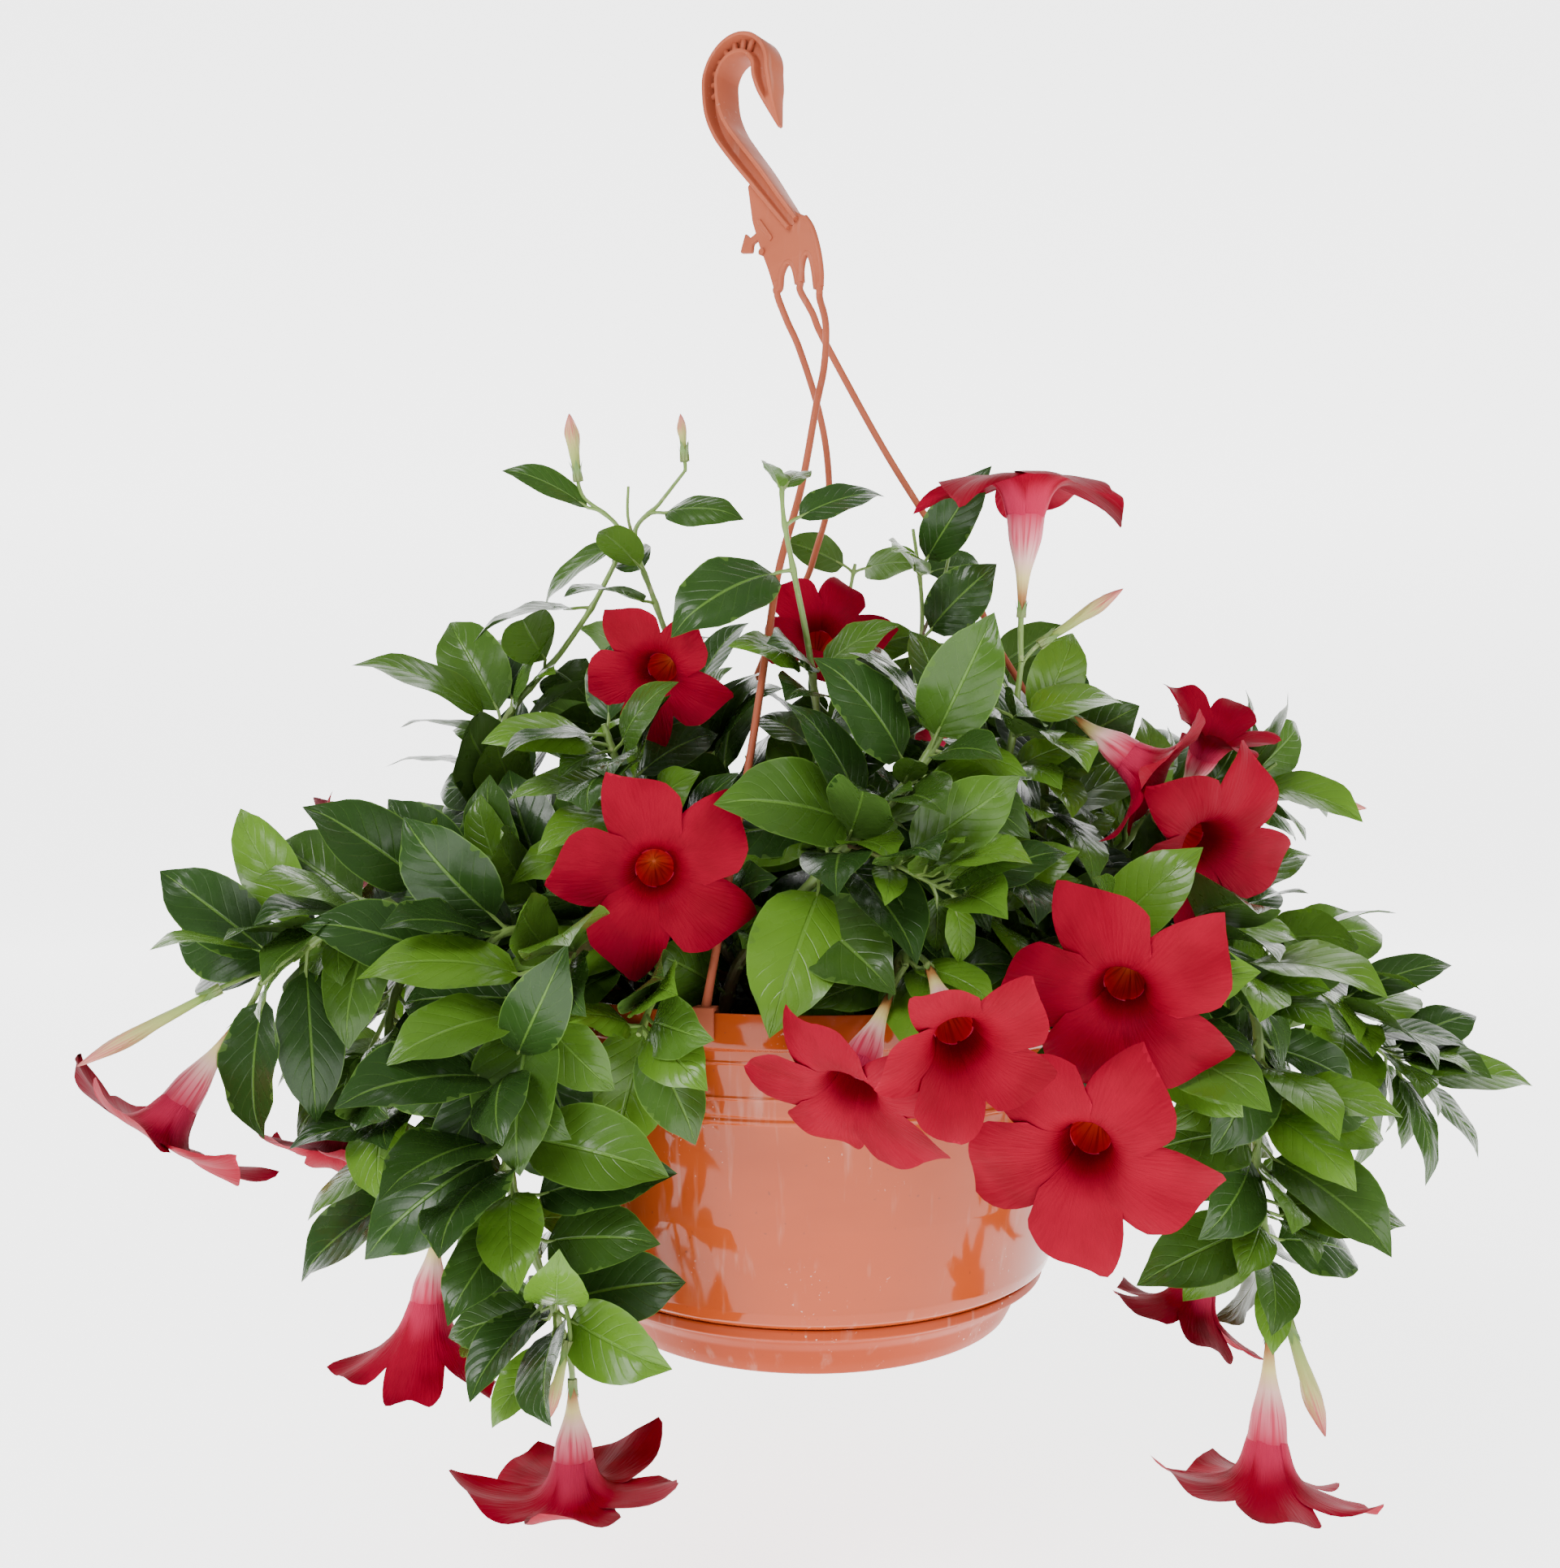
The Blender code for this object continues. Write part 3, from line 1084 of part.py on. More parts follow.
def main():
    """Build the hanging pot and its plant."""
    clear_scene()
    home = new_collection("mandevilla")
    cutters = new_collection("cutters")
    plan = plan_plant(surroundings())
    terracotta = finish("terracotta_plastic", (0.56, 0.19, 0.09), 0.3)
    strap = finish("hanger_plastic", (0.55, 0.2, 0.12), 0.45)
    earth = finish("potting_soil", (0.05, 0.03, 0.02), 0.95)
    green = finish("leaf_green", (0.03, 0.12, 0.02), 0.35)
    red = finish("petal_red", (0.72, 0.02, 0.04), 0.5)
    pink = finish("bud_pink", (0.7, 0.3, 0.25), 0.5)
    pieces = [(build_pot(home, cutters), terracotta), (build_saucer(home), terracotta),
              (build_soil(home, cutters, plan), earth), (build_hook(home), strap)]
    pieces += [(build_strand(name, home), strap) for name in STRAND_ROUTES]
    pieces += [(build_stem(name, plan, home), green) for name in STEMS]
    pieces += [(mesh_object(name, *bloom_solid(bloom), home), red)
               for name, bloom in BLOOMS.items()]
    pieces += [(mesh_object(name, *bud_solid(bud), home), pink) for name, bud in BUDS.items()]
    for item, material in pieces:
        item.data.materials.clear()
        item.data.materials.append(material)
        item.data.shade_smooth()
        item.data.set_sharp_from_angle(angle=math.radians(40))
    hang([item for item, _ in pieces] + list(cutters.all_objects))


main()
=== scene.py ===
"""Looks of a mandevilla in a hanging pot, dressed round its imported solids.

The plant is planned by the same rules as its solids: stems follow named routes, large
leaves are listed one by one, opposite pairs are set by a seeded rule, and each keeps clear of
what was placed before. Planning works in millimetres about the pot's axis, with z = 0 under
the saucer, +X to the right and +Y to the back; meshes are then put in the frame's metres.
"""

import logging
import math
import random
from collections.abc import Iterable, Iterator, Sequence
from dataclasses import dataclass, field
from enum import Enum, IntEnum

import bmesh
import bpy
import numpy as np
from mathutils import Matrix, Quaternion, Vector
from mathutils.bvhtree import BVHTree


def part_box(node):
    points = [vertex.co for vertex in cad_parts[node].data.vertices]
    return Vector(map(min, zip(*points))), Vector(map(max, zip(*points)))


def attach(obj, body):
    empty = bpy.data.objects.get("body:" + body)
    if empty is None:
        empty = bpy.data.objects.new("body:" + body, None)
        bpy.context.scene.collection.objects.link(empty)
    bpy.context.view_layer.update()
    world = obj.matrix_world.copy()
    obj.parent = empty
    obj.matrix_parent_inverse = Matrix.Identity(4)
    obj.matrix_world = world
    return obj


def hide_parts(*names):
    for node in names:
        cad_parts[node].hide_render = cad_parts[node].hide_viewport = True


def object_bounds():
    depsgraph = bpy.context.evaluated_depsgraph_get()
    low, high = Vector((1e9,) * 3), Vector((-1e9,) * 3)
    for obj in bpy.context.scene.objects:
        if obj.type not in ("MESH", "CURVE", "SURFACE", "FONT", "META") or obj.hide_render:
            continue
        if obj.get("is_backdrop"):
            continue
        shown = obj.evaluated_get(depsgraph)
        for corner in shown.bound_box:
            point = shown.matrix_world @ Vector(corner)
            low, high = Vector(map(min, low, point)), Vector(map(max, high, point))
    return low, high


Array = np.ndarray
Points = Sequence[Sequence[float]]
Solid = tuple[list[Vector], list[tuple[int, ...]]]
Material = bpy.types.Material
Piece = bpy.types.Object
Colour = tuple[float, float, float]

MM = 0.001
LOG = logging.getLogger("mandevilla")

# Sizes that the solids are planned with
GAP = 0.3
POT_HEIGHT = 160.0
RIM_RADIUS = 135.0
RIM_BAND = 14.5
WALL = 1.8
FOOT_TOP = 26.3
GROOVE_Z = 115.0
SLOT_Z = 151.5
SLOT_HEIGHT = 4.5
SLOT_EDGES = (SLOT_Z - SLOT_HEIGHT / 2, SLOT_Z + SLOT_HEIGHT / 2)
SLOT_OFFSET = 6.0
SAUCER_RADIUS = 113.2
SAUCER_TOP = 26.0
SAUCER_FLOOR = 1.6
SOIL_TOP = 143.0
PLUG_BOTTOM = 122.0
HANGER_TURN = math.radians(38.0)
HANGER_X = -36.0
HANGER_Y = 12.0
CROWN_U = 5.5
CROWN_Z = 601.5
CROWN_RADIUS = 15.25
CROWN_DEPTH = 10.4
FLANGE = 2.2
HALF_WEB = 1.5
PLATE = 2.8
STRAND_RADIUS = 1.7
CLIP_WIDTH = 9.0
LEAF_THICK = 1.1
CLEARANCE = 1.3
PETIOLE = 1.15
STEM_STEP = 28.0
FOLD = 0.26
FACE_OUT = 0.5
FACE_FRONT = 0.4
FACE_UP = 0.65
FRONT_DEPTH = 40.0
SPRING_ANGLE = 0.62
PLAN_SEED = 27
FILL_SEED = 411
BARE_FROM = 245.0
BARE_OVER = 60.0
CLIP_ANGLES = {"strand_front": -109.0, "strand_right": 11.0, "strand_back": 131.0}
STRAND_ROUTES = {
    "strand_front": ((5.2, -20.2, 486.6), (5.4, -20.4, 483), (8, -28, 468), (7, -35, 447),
                     (3, -42, 426), (-4, -57, 386), (-14, -72, 347), (-19, -86, 313),
                     (-26, -105, 264), (-36, -119, 205)),
    "strand_right": ((-3.8, -13.2, 492.6), (-3.7, -13.2, 489), (2, -12, 479), (8, -10, 466),
                     (34, -5, 420), (54, 0, 389), (79, 5, 352), (93, 9, 323), (110, 13, 295),
                     (123, 17, 264), (129, 22, 205)),
    "strand_back": ((-14.7, -4.6, 492.6), (-14.6, -4.6, 489), (-10, -2, 478), (-4, 0, 465),
                    (5, 10, 440), (10, 20, 418), (11, 30, 395), (5, 42, 373), (0, 50, 359),
                    (-9, 58, 346), (-17, 64, 332), (-52, 84, 248)),
}

# Extra foliage of the looks: length of blade, tries for each step of a shoot, clear margin
FILL_SIZES = ((62, 7, 0.8), (48, 7, 0.6), (34, 4, 0.4))
BOX_MARGIN = 8

# The plan: longest plain leaf, sides of its tubes, steps of its walls, radii of its stalks
FINE_FROM = 54
CROSSING_SIDES = 8
WALL_STEPS = 36
BLOOM_STALK = 1.5
BUD_STALK = 1.1

# Petals of a bloom and the angle between them, welding distance in metres, lattice keys
PETALS = 5
FIFTH = 72
WELD = 2e-6
HASH_KEYS = (374761393, 668265263, 69069, 1274126177)
UP = np.array([0, 0, 1.0])

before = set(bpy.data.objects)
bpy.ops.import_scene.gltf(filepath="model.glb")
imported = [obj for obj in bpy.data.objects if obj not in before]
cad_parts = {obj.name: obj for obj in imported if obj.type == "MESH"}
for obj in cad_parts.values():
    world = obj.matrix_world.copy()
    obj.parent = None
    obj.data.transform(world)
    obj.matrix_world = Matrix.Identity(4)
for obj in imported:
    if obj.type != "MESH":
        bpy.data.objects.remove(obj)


@dataclass(frozen=True)
class Leaf:
    """A leaf listed one by one: its place along the shoot, size, aim and face."""
    at: float
    length: float
    width: float
    aim: tuple
    face: tuple = ()


@dataclass(frozen=True)
class Shoot:
    """A length of stem with opposite pairs of leaves set along it by rule."""
    route: tuple
    thick: tuple
    pairs: int
    span: tuple
    size: tuple
    leaves: tuple = ()


@dataclass(frozen=True)
class Bloom:
    """A trumpet bloom: calyx point, centre of the face, width and how far it opens."""
    stem: str
    at: float
    base: tuple
    face: tuple
    width: float
    spread: float = 82.0
    turn: float = 0.0


@dataclass(frozen=True)
class Bud:
    """A furled bud on its own stalk."""
    stem: str
    at: float
    base: tuple
    tip: tuple
    radius: float


STEMS = {
    "stem_far_left": (
        Shoot(((-70, -30, 152), (-95, -55, 187), (-140, -80, 207), (-185, -95, 200),
               (-215, -100, 182), (-232, -102, 168)), (2.6, 1.5), 2, (0.25, 0.6), (66, 58), (
            Leaf(0.93, 60, 29, (-0.8, 0.0, 0.6)), Leaf(0.85, 66, 26, (-0.6, 0.3, 0.8)),
            Leaf(0.98, 60, 31, (0.0, -0.1, -1.0), (-0.4, -0.9, 0.1)),
            Leaf(0.88, 66, 28, (0.1, -0.1, -1.0), (0.3, -0.9, 0.2)),
            Leaf(0.78, 44, 26, (-0.5, -0.3, -0.8)))),
    ),
    "stem_left_outer": (
        Shoot(((-82, 20, 152), (-125, 0, 186), (-165, -35, 190), (-185, -62, 160),
               (-184, -78, 125), (-172, -88, 95), (-164, -92, 80)),
              (2.6, 1.6), 4, (0.22, 0.86), (68, 54), (
            Leaf(0.98, 58, 34, (-0.8, -0.2, -0.6)), Leaf(0.92, 46, 28, (-0.7, -0.6, -0.4)),
            Leaf(0.82, 52, 34, (0.1, -0.8, -0.6)))),
    ),
    "stem_left_inner": (
        Shoot(((-48, -55, 152), (-75, -98, 185), (-108, -130, 178), (-121, -138, 140),
               (-121, -138, 100), (-114, -135, 72), (-105, -132, 46), (-99, -131, 26)),
              (3.0, 1.5), 4, (0.2, 0.98), (62, 40), (
            Leaf(0.45, 62, 38, (0.0, -0.3, -1.0), (-0.3, -0.9, 0.2)),
            Leaf(0.65, 60, 34, (1.0, -0.2, -0.2)), Leaf(0.75, 58, 30, (1.0, -0.1, 0.2)),
            Leaf(0.82, 50, 30, (0.9, -0.3, 0.1)), Leaf(0.92, 48, 30, (0.9, 0.1, 0.1)),
            Leaf(0.94, 46, 25, (0.4, -0.5, 0.8), (0.0, -1.0, 0.2)),
            Leaf(0.56, 56, 26, (0.4, -0.4, 0.8), (0.2, -0.9, 0.3)),
            Leaf(0.53, 58, 26, (-0.4, -0.4, -0.8), (0.2, -0.9, 0.3)),
            Leaf(0.93, 44, 22, (-0.9, 0.2, -0.3)))),
        Shoot(((-64, -82, 174), (-64, -110, 168), (-70, -134, 152)), (1.7, 1.2), 1,
              (0.9, 0.9), (44, 38)),
    ),
    "stem_left_mid": (
        Shoot(((-78, -46, 152), (-104, -80, 186), (-128, -102, 190), (-143, -112, 176)),
              (2.4, 1.5), 2, (0.3, 0.8), (62, 54), (
            Leaf(0.98, 62, 33, (-0.9, -0.3, 0.3)), Leaf(0.68, 62, 30, (-1.0, -0.1, -0.2)),
            Leaf(0.62, 64, 28, (-1.0, 0.2, 0.2)))),
    ),
    "stem_left_front": (
        Shoot(((-22, -62, 152), (-45, -72, 190), (-64, -72, 222), (-80, -78, 250),
               (-90, -84, 278)), (2.4, 1.4), 2, (0.3, 0.96), (60, 48), (
            Leaf(0.75, 64, 38, (-0.4, -0.1, 0.9), (-0.3, -0.9, 0.3)),
            Leaf(0.77, 46, 20, (0.4, -0.3, 0.9)), Leaf(0.80, 46, 21, (-0.9, -0.3, -0.1)),
            Leaf(0.58, 62, 34, (-0.9, -0.4, -0.2)), Leaf(0.50, 46, 24, (-0.6, -0.6, -0.5)))),
    ),
    "stem_upper_left": (
        Shoot(((-45, 10, 152), (-95, 0, 200), (-140, -8, 240), (-148, -10, 278),
               (-118, -12, 317), (-100, -12, 345), (-90, -12, 372), (-106, -12, 388)),
              (2.4, 1.1), 3, (0.16, 0.68), (64, 48), (
            Leaf(0.56, 68, 31, (-0.9, -0.3, 0.4)), Leaf(0.57, 46, 21, (0.5, -0.3, 0.8)),
            Leaf(0.80, 52, 30, (-0.9, -0.3, -0.3)), Leaf(0.48, 54, 25, (-0.9, -0.4, 0.1)),
            Leaf(0.97, 46, 17, (-0.9, -0.1, 0.4)))),
    ),
    "stem_upper_mid": (
        Shoot(((-15, 0, 152), (-32, -10, 220), (-56, -14, 290), (-74, -12, 340),
               (-84, -10, 372), (-72, -8, 388), (-60, -6, 404)), (2.2, 0.9), 3,
              (0.3, 0.78), (58, 38), (
            Leaf(0.85, 56, 19, (-0.8, -0.1, -0.5)), Leaf(0.72, 48, 24, (-0.7, -0.7, 0.0)),
            Leaf(0.90, 42, 22, (0.9, -0.3, -0.1)))),
        Shoot(((-82, -11, 364), (-87, -10, 380), (-87, -9, 396)), (1.0, 0.8), 0, (0, 0), (0, 0)),
    ),
    "stem_centre_up": (
        Shoot(((5, -45, 152), (8, -60, 210), (4, -72, 270), (-1, -80, 310), (-8, -86, 345),
               (-12, -88, 366), (-13, -88, 382)), (2.2, 1.0), 3, (0.3, 0.98), (56, 26), (
            Leaf(0.84, 56, 38, (-0.8, -0.3, -0.5), (-0.1, -0.8, 0.6)),
            Leaf(0.92, 42, 22, (0.9, 0.2, 0.3)), Leaf(0.65, 42, 22, (-0.9, -0.5, 0.2)))),
    ),
    "stem_centre": (
        Shoot(((-38, -88, 152), (-31, -98, 176), (-13, -107, 197), (14, -114, 227),
               (42, -114, 256), (57, -107, 280)), (3.4, 1.8), 1, (0.24, 0.24), (58, 52), (
            Leaf(0.64, 62, 40, (-0.9, -0.3, 0.2), (0.0, -0.85, 0.5)),
            Leaf(0.49, 68, 40, (-0.3, -0.5, -0.8), (0.0, -1.0, 0.3)),
            Leaf(0.70, 60, 30, (0.6, -0.4, -0.7), (0.3, -0.9, 0.4)),
            Leaf(0.83, 48, 27, (0.8, -0.3, -0.5)),
            Leaf(0.88, 58, 32, (0.4, -0.3, 0.9), (0.1, -1.0, 0.3)),
            Leaf(0.54, 58, 32, (0.6, -0.5, -0.7), (0.4, -0.8, 0.5)),
            Leaf(0.98, 40, 22, (-0.3, 0.3, 0.9)))),
        Shoot(((14, -114, 227), (24, -130, 224), (40, -140, 216), (56, -142, 208)),
              (1.3, 0.8), 1, (0.45, 0.45), (26, 22)),
    ),
    "stem_top_right": (
        Shoot(((25, -20, 152), (40, -32, 220), (48, -40, 280), (52, -42, 330),
               (48, -40, 370)), (2.2, 0.9), 3, (0.3, 0.9), (58, 42), (
            Leaf(0.90, 54, 23, (0.4, -0.4, 0.6)), Leaf(0.76, 44, 27, (0.7, -0.3, 0.7)),
            Leaf(0.66, 46, 27, (-0.8, -0.5, 0.3)))),
        Shoot(((51, -42, 318), (61, -44, 344), (66, -45, 366)), (1.0, 0.8), 0, (0, 0), (0, 0)),
    ),
    "stem_up_right": (
        Shoot(((55, -30, 152), (75, -60, 210), (85, -82, 260), (88, -92, 292),
               (89, -95, 304)), (2.2, 1.3), 2, (0.4, 0.8), (58, 44), (
            Leaf(0.85, 44, 24, (-0.9, -0.3, 0.3)),)),
    ),
    "stem_right_top": (
        Shoot(((78, -12, 152), (98, -35, 200), (106, -55, 240), (100, -70, 268),
               (94, -78, 280)), (2.4, 1.4), 2, (0.38, 0.94), (62, 46), (
            Leaf(0.62, 66, 38, (0.6, -0.7, 0.2), (0.1, -0.5, 0.8)),
            Leaf(0.48, 60, 26, (-0.2, -0.9, 0.3)), Leaf(0.70, 56, 26, (0.2, -0.8, -0.5)))),
    ),
    "stem_right_mid": (
        Shoot(((98, -10, 152), (126, -18, 195), (148, -24, 222), (160, -26, 236)),
              (2.4, 1.6), 2, (0.45, 0.9), (64, 52), (
            Leaf(0.95, 50, 27, (0.1, 0.3, 0.9)), Leaf(0.80, 66, 32, (0.5, -0.8, -0.3)))),
    ),
    "stem_right_front": (
        Shoot(((75, -52, 152), (100, -84, 182), (122, -106, 183), (133, -124, 160),
               (128, -126, 140)), (2.6, 1.6), 1, (0.4, 0.4), (60, 52), (
            Leaf(0.46, 52, 25, (0.5, -0.2, 0.8)), Leaf(0.36, 54, 22, (-0.5, -0.8, -0.4)))),
        Shoot(((84, -64, 167), (80, -88, 196), (80, -104, 218)), (1.5, 1.2), 2, (0.5, 0.98),
              (58, 48)),
    ),
    "stem_front": (
        Shoot(((30, -92, 152), (35, -114, 178), (37, -130, 184), (36, -138, 180)),
              (2.2, 1.6), 1, (0.4, 0.4), (50, 44)),
    ),
    "stem_right_trail": (
        Shoot(((95, -32, 152), (135, -55, 195), (170, -72, 190), (190, -82, 160),
               (193, -88, 125), (190, -92, 90), (192, -98, 60), (192, -102, 40)),
              (2.8, 1.5), 3, (0.18, 0.6), (66, 56), (
            Leaf(0.86, 54, 34, (1.0, -0.1, -0.1)), Leaf(0.75, 56, 34, (-0.9, -0.5, 0.0)),
            Leaf(0.89, 58, 29, (-0.9, -0.3, -0.3)), Leaf(0.65, 52, 27, (-0.8, -0.5, -0.3)),
            Leaf(0.77, 60, 38, (0.8, -0.1, -0.6)), Leaf(0.72, 56, 32, (1.0, 0.2, -0.2)),
            Leaf(0.97, 36, 18, (0.3, -0.5, -0.8)), Leaf(0.93, 40, 22, (-0.2, -0.8, -0.5)))),
    ),
    "stem_far_right": (
        Shoot(((110, 12, 152), (152, 5, 197), (198, -4, 192), (238, -15, 160),
               (264, -25, 132), (288, -30, 112)), (2.6, 1.3), 3, (0.2, 0.68), (64, 52), (
            Leaf(0.80, 60, 38, (-0.4, -0.7, -0.5), (0.2, -0.8, 0.5)),
            Leaf(0.76, 58, 20, (1.0, 0.1, 0.3)), Leaf(0.90, 48, 24, (0.9, 0.2, 0.3)),
            Leaf(0.98, 46, 29, (1.0, -0.2, 0.0)), Leaf(0.97, 42, 24, (0.6, -0.3, -0.8)),
            Leaf(0.93, 52, 22, (0.1, -0.4, -0.9)), Leaf(0.86, 62, 28, (-0.1, 0.1, -1.0)))),
    ),
    "stem_right_twig": (
        Shoot(((85, 40, 152), (130, 32, 210), (175, 18, 240), (210, 4, 250),
               (228, -5, 262)), (2.2, 1.0), 3, (0.3, 0.8), (62, 40), (
            Leaf(0.80, 56, 27, (0.2, -0.4, -0.9)),)),
    ),
    "stem_back_right": (
        Shoot(((78, 62, 152), (120, 95, 202), (160, 120, 200), (190, 135, 165),
               (205, 145, 120), (208, 150, 82)), (2.6, 1.4), 4, (0.18, 0.98), (68, 50)),
    ),
    "stem_back_mid_right": (
        Shoot(((40, 45, 152), (70, 85, 215), (95, 130, 225), (110, 165, 190),
               (118, 182, 140), (120, 190, 92)), (2.6, 1.4), 4, (0.18, 0.98), (68, 50)),
    ),
    "stem_back_mid": (
        Shoot(((0, 65, 152), (-5, 110, 212), (-10, 150, 220), (-12, 178, 185),
               (-15, 194, 140), (-15, 200, 98)), (2.6, 1.4), 4, (0.18, 0.98), (68, 50)),
    ),
    "stem_back_mid_left": (
        Shoot(((-30, 64, 152), (-56, 108, 205), (-102, 138, 214), (-140, 155, 182),
               (-156, 168, 130), (-160, 176, 84)), (2.6, 1.4), 4, (0.18, 0.98), (68, 50)),
    ),
    "stem_back_left": (
        Shoot(((-88, 48, 152), (-135, 65, 200), (-180, 78, 200), (-212, 82, 165),
               (-224, 80, 120), (-226, 76, 84)), (2.6, 1.4), 4, (0.18, 0.98), (68, 50)),
    ),
    "stem_top_back": (
        Shoot(((12, 18, 152), (18, 36, 230), (14, 46, 290), (20, 52, 335), (26, 54, 368)),
              (2.2, 1.0), 4, (0.3, 0.98), (62, 38)),
    ),
    "stem_top_back_left": (
        Shoot(((-52, 30, 152), (-76, 52, 220), (-88, 58, 270), (-84, 52, 315)),
              (2.2, 1.1), 4, (0.32, 0.98), (62, 42)),
    ),
    "stem_top_back_right": (
        Shoot(((52, 14, 152), (80, 36, 215), (98, 56, 270), (96, 64, 312)),
              (2.2, 1.1), 4, (0.32, 0.98), (62, 42)),
    ),
}

BLOOMS = {
    "bloom_top_right": Bloom("stem_up_right", 1.0, (89, -95, 324), (91, -98, 378), 82, 94),
    "bloom_upper_left": Bloom("stem_upper_mid", 0.62, (-58, -50, 313), (-67, -86, 300),
                              58, 80, 20),
    "bloom_upper_mid": Bloom("stem_top_back", 0.62, (2, -4, 306), (6, -36, 322), 60, 70, 40),
    "bloom_centre_left": Bloom("stem_left_front", 0.52, (-68, -94, 222), (-63, -136, 217),
                               80, 84, 12),
    "bloom_right_front": Bloom("stem_right_front", 0.62, (133, -116, 186), (116, -160, 172),
                               84, 84, 8),
    "bloom_right_low": Bloom("stem_right_front", 1.0, (118, -130, 128), (100, -172, 116),
                             88, 80, 30),
    "bloom_front_left": Bloom("stem_front", 1.0, (30, -142, 170), (12, -174, 138), 78, 84, 0),
    "bloom_front_right": Bloom("stem_front", 0.8, (44, -151, 181), (50, -204, 160), 62, 60, 24),
    "bloom_right_top": Bloom("stem_right_top", 1.0, (112, -84, 282), (142, -96, 258), 66, 72, 0),
    "bloom_right_mid": Bloom("stem_right_mid", 0.85, (152, -52, 240), (168, -88, 226), 82, 80, 40),
    "bloom_right_twist": Bloom("stem_right_mid", 1.0, (172, -36, 244), (182, -54, 272),
                               60, 52, 10),
    "bloom_far_left": Bloom("stem_far_left", 1.0, (-242, -98, 152), (-268, -116, 110), 88, 92, 20),
    "bloom_left_low": Bloom("stem_left_outer", 0.55, (-208, -40, 118), (-218, -56, 88), 62, 70, 0),
    "bloom_left_mid": Bloom("stem_upper_left", 0.36, (-184, -14, 212), (-222, -26, 210),
                            76, 80, 30),
    "bloom_left_hanging": Bloom("stem_left_outer", 1.0, (-160, -93, 64), (-163, -98, 24),
                                84, 42, 15),
    "bloom_bottom_left": Bloom("stem_left_inner", 1.0, (-97, -130, 12), (-96, -132, -26),
                               90, 88, 10),
    "bloom_bottom_right": Bloom("stem_right_trail", 1.0, (191, -106, 24), (187, -114, -32),
                                80, 74, 25),
    "bloom_right_hanging": Bloom("stem_right_trail", 0.86, (178, -82, 62), (164, -86, 30),
                                 72, 60, 5),
    "bloom_back_high": Bloom("stem_back_mid_right", 0.4, (84, 128, 248), (88, 160, 276),
                             80, 84, 0),
    "bloom_back_low": Bloom("stem_back_mid_left", 0.72, (-168, 182, 146), (-186, 206, 116),
                            80, 84, 30),
}

BUDS = {
    "bud_far_left": Bud("stem_far_left", 0.96, (-243, -120, 168), (-290, -142, 141), 3.6),
    "bud_top_left": Bud("stem_upper_left", 1.0, (-111, -12, 399), (-115, -14, 430), 4.0),
    "bud_top_mid": Bud("stem_upper_mid", 1.0, (-60, -6, 410), (-62, -6, 432), 2.6),
    "bud_right_top": Bud("stem_up_right", 0.97, (98, -92, 312), (134, -88, 336), 3.4),
    "bud_bottom_left": Bud("stem_left_inner", 0.9, (-97, -142, 32), (-104, -148, 4), 3.0),
    "bud_bottom_right": Bud("stem_right_trail", 0.96, (198, -108, 28), (212, -112, -18), 4.4),
    "bud_far_right": Bud("stem_right_twig", 0.9, (244, -2, 244), (274, 0, 240), 3.0),
}


def catmull_rom(route: Points, step: float) -> list[Vector]:
    """Points about one step apart on a smooth curve through a route's own points.

    Args:
        route: the points that the curve passes through.
        step: wanted distance between points.

    Returns:
        The points of the curve, both ends among them.
    """
    knots = [Vector(p) for p in route]
    knots = [knots[0]] + knots + [knots[-1]]
    points = []
    for a, b, c, d in zip(knots, knots[1:], knots[2:], knots[3:]):
        count = max(1, round((c - b).length / step))
        for k in range(count):
            t = k / count
            points.append(0.5 * (2 * b + (c - a) * t + (2 * a - 5 * b + 4 * c - d) * t ** 2
                                 + (3 * b - a - 3 * c + d) * t ** 3))
    points.append(knots[-1])
    return points


def place_on(points: list[Vector], fraction: float) -> tuple[Vector, Vector]:
    """Point and direction at a fraction of a polyline's length.

    Args:
        points: the polyline.
        fraction: 0 at its start, 1 at its end.

    Returns:
        The point and the unit direction there.
    """
    lengths = [(b - a).length for a, b in zip(points, points[1:])]
    left = fraction * sum(lengths)
    for a, b, length in zip(points, points[1:], lengths):
        if left <= length:
            return a.lerp(b, left / length), (b - a).normalized()
        left -= length
    return points[-1].copy(), (points[-1] - points[-2]).normalized()


def stalk_points(start: Vector, base: Vector, axis: Vector) -> list[Vector]:
    """A stalk that leaves its stem at start and meets base along the given axis.

    Args:
        start: point on the stem.
        base: foot of the bloom or bud.
        axis: unit direction in which the stalk arrives.

    Returns:
        Points along a cubic Bezier curve, then a straight end.
    """
    reach = (base - start).length
    end = base - axis * (GAP + 3)
    before = end - axis * reach * 0.35
    after = start.lerp(before, 0.4)
    count = max(2, round(reach / 12))
    points = []
    for k in range(count + 1):
        t = k / count
        s = 1 - t
        points.append(start * s ** 3 + after * 3 * s * s * t + before * 3 * s * t * t
                      + end * t ** 3)
    return points + [base - axis * GAP]


def square_to(vector: Vector, direction: Vector) -> Vector:
    """The part of a vector square to a unit direction, as a unit vector.

    Args:
        vector: the vector.
        direction: the unit direction.

    Returns:
        The unit vector.
    """
    flat = vector - direction * vector.dot(direction)
    if flat.length < 1e-3:
        flat = direction.orthogonal()
    return flat.normalized()


def outward_of(point: Vector) -> Vector:
    """Level direction from the pot's axis to a point."""
    return Vector((point.x, point.y, 0)).normalized()


def light_side(root: Vector) -> Vector:
    """Direction that a blade faces by rule: up, outward, and to the front or the back."""
    front = -FACE_FRONT if root.y < FRONT_DEPTH else FACE_FRONT
    return outward_of(root) * FACE_OUT + Vector((0, front, FACE_UP))


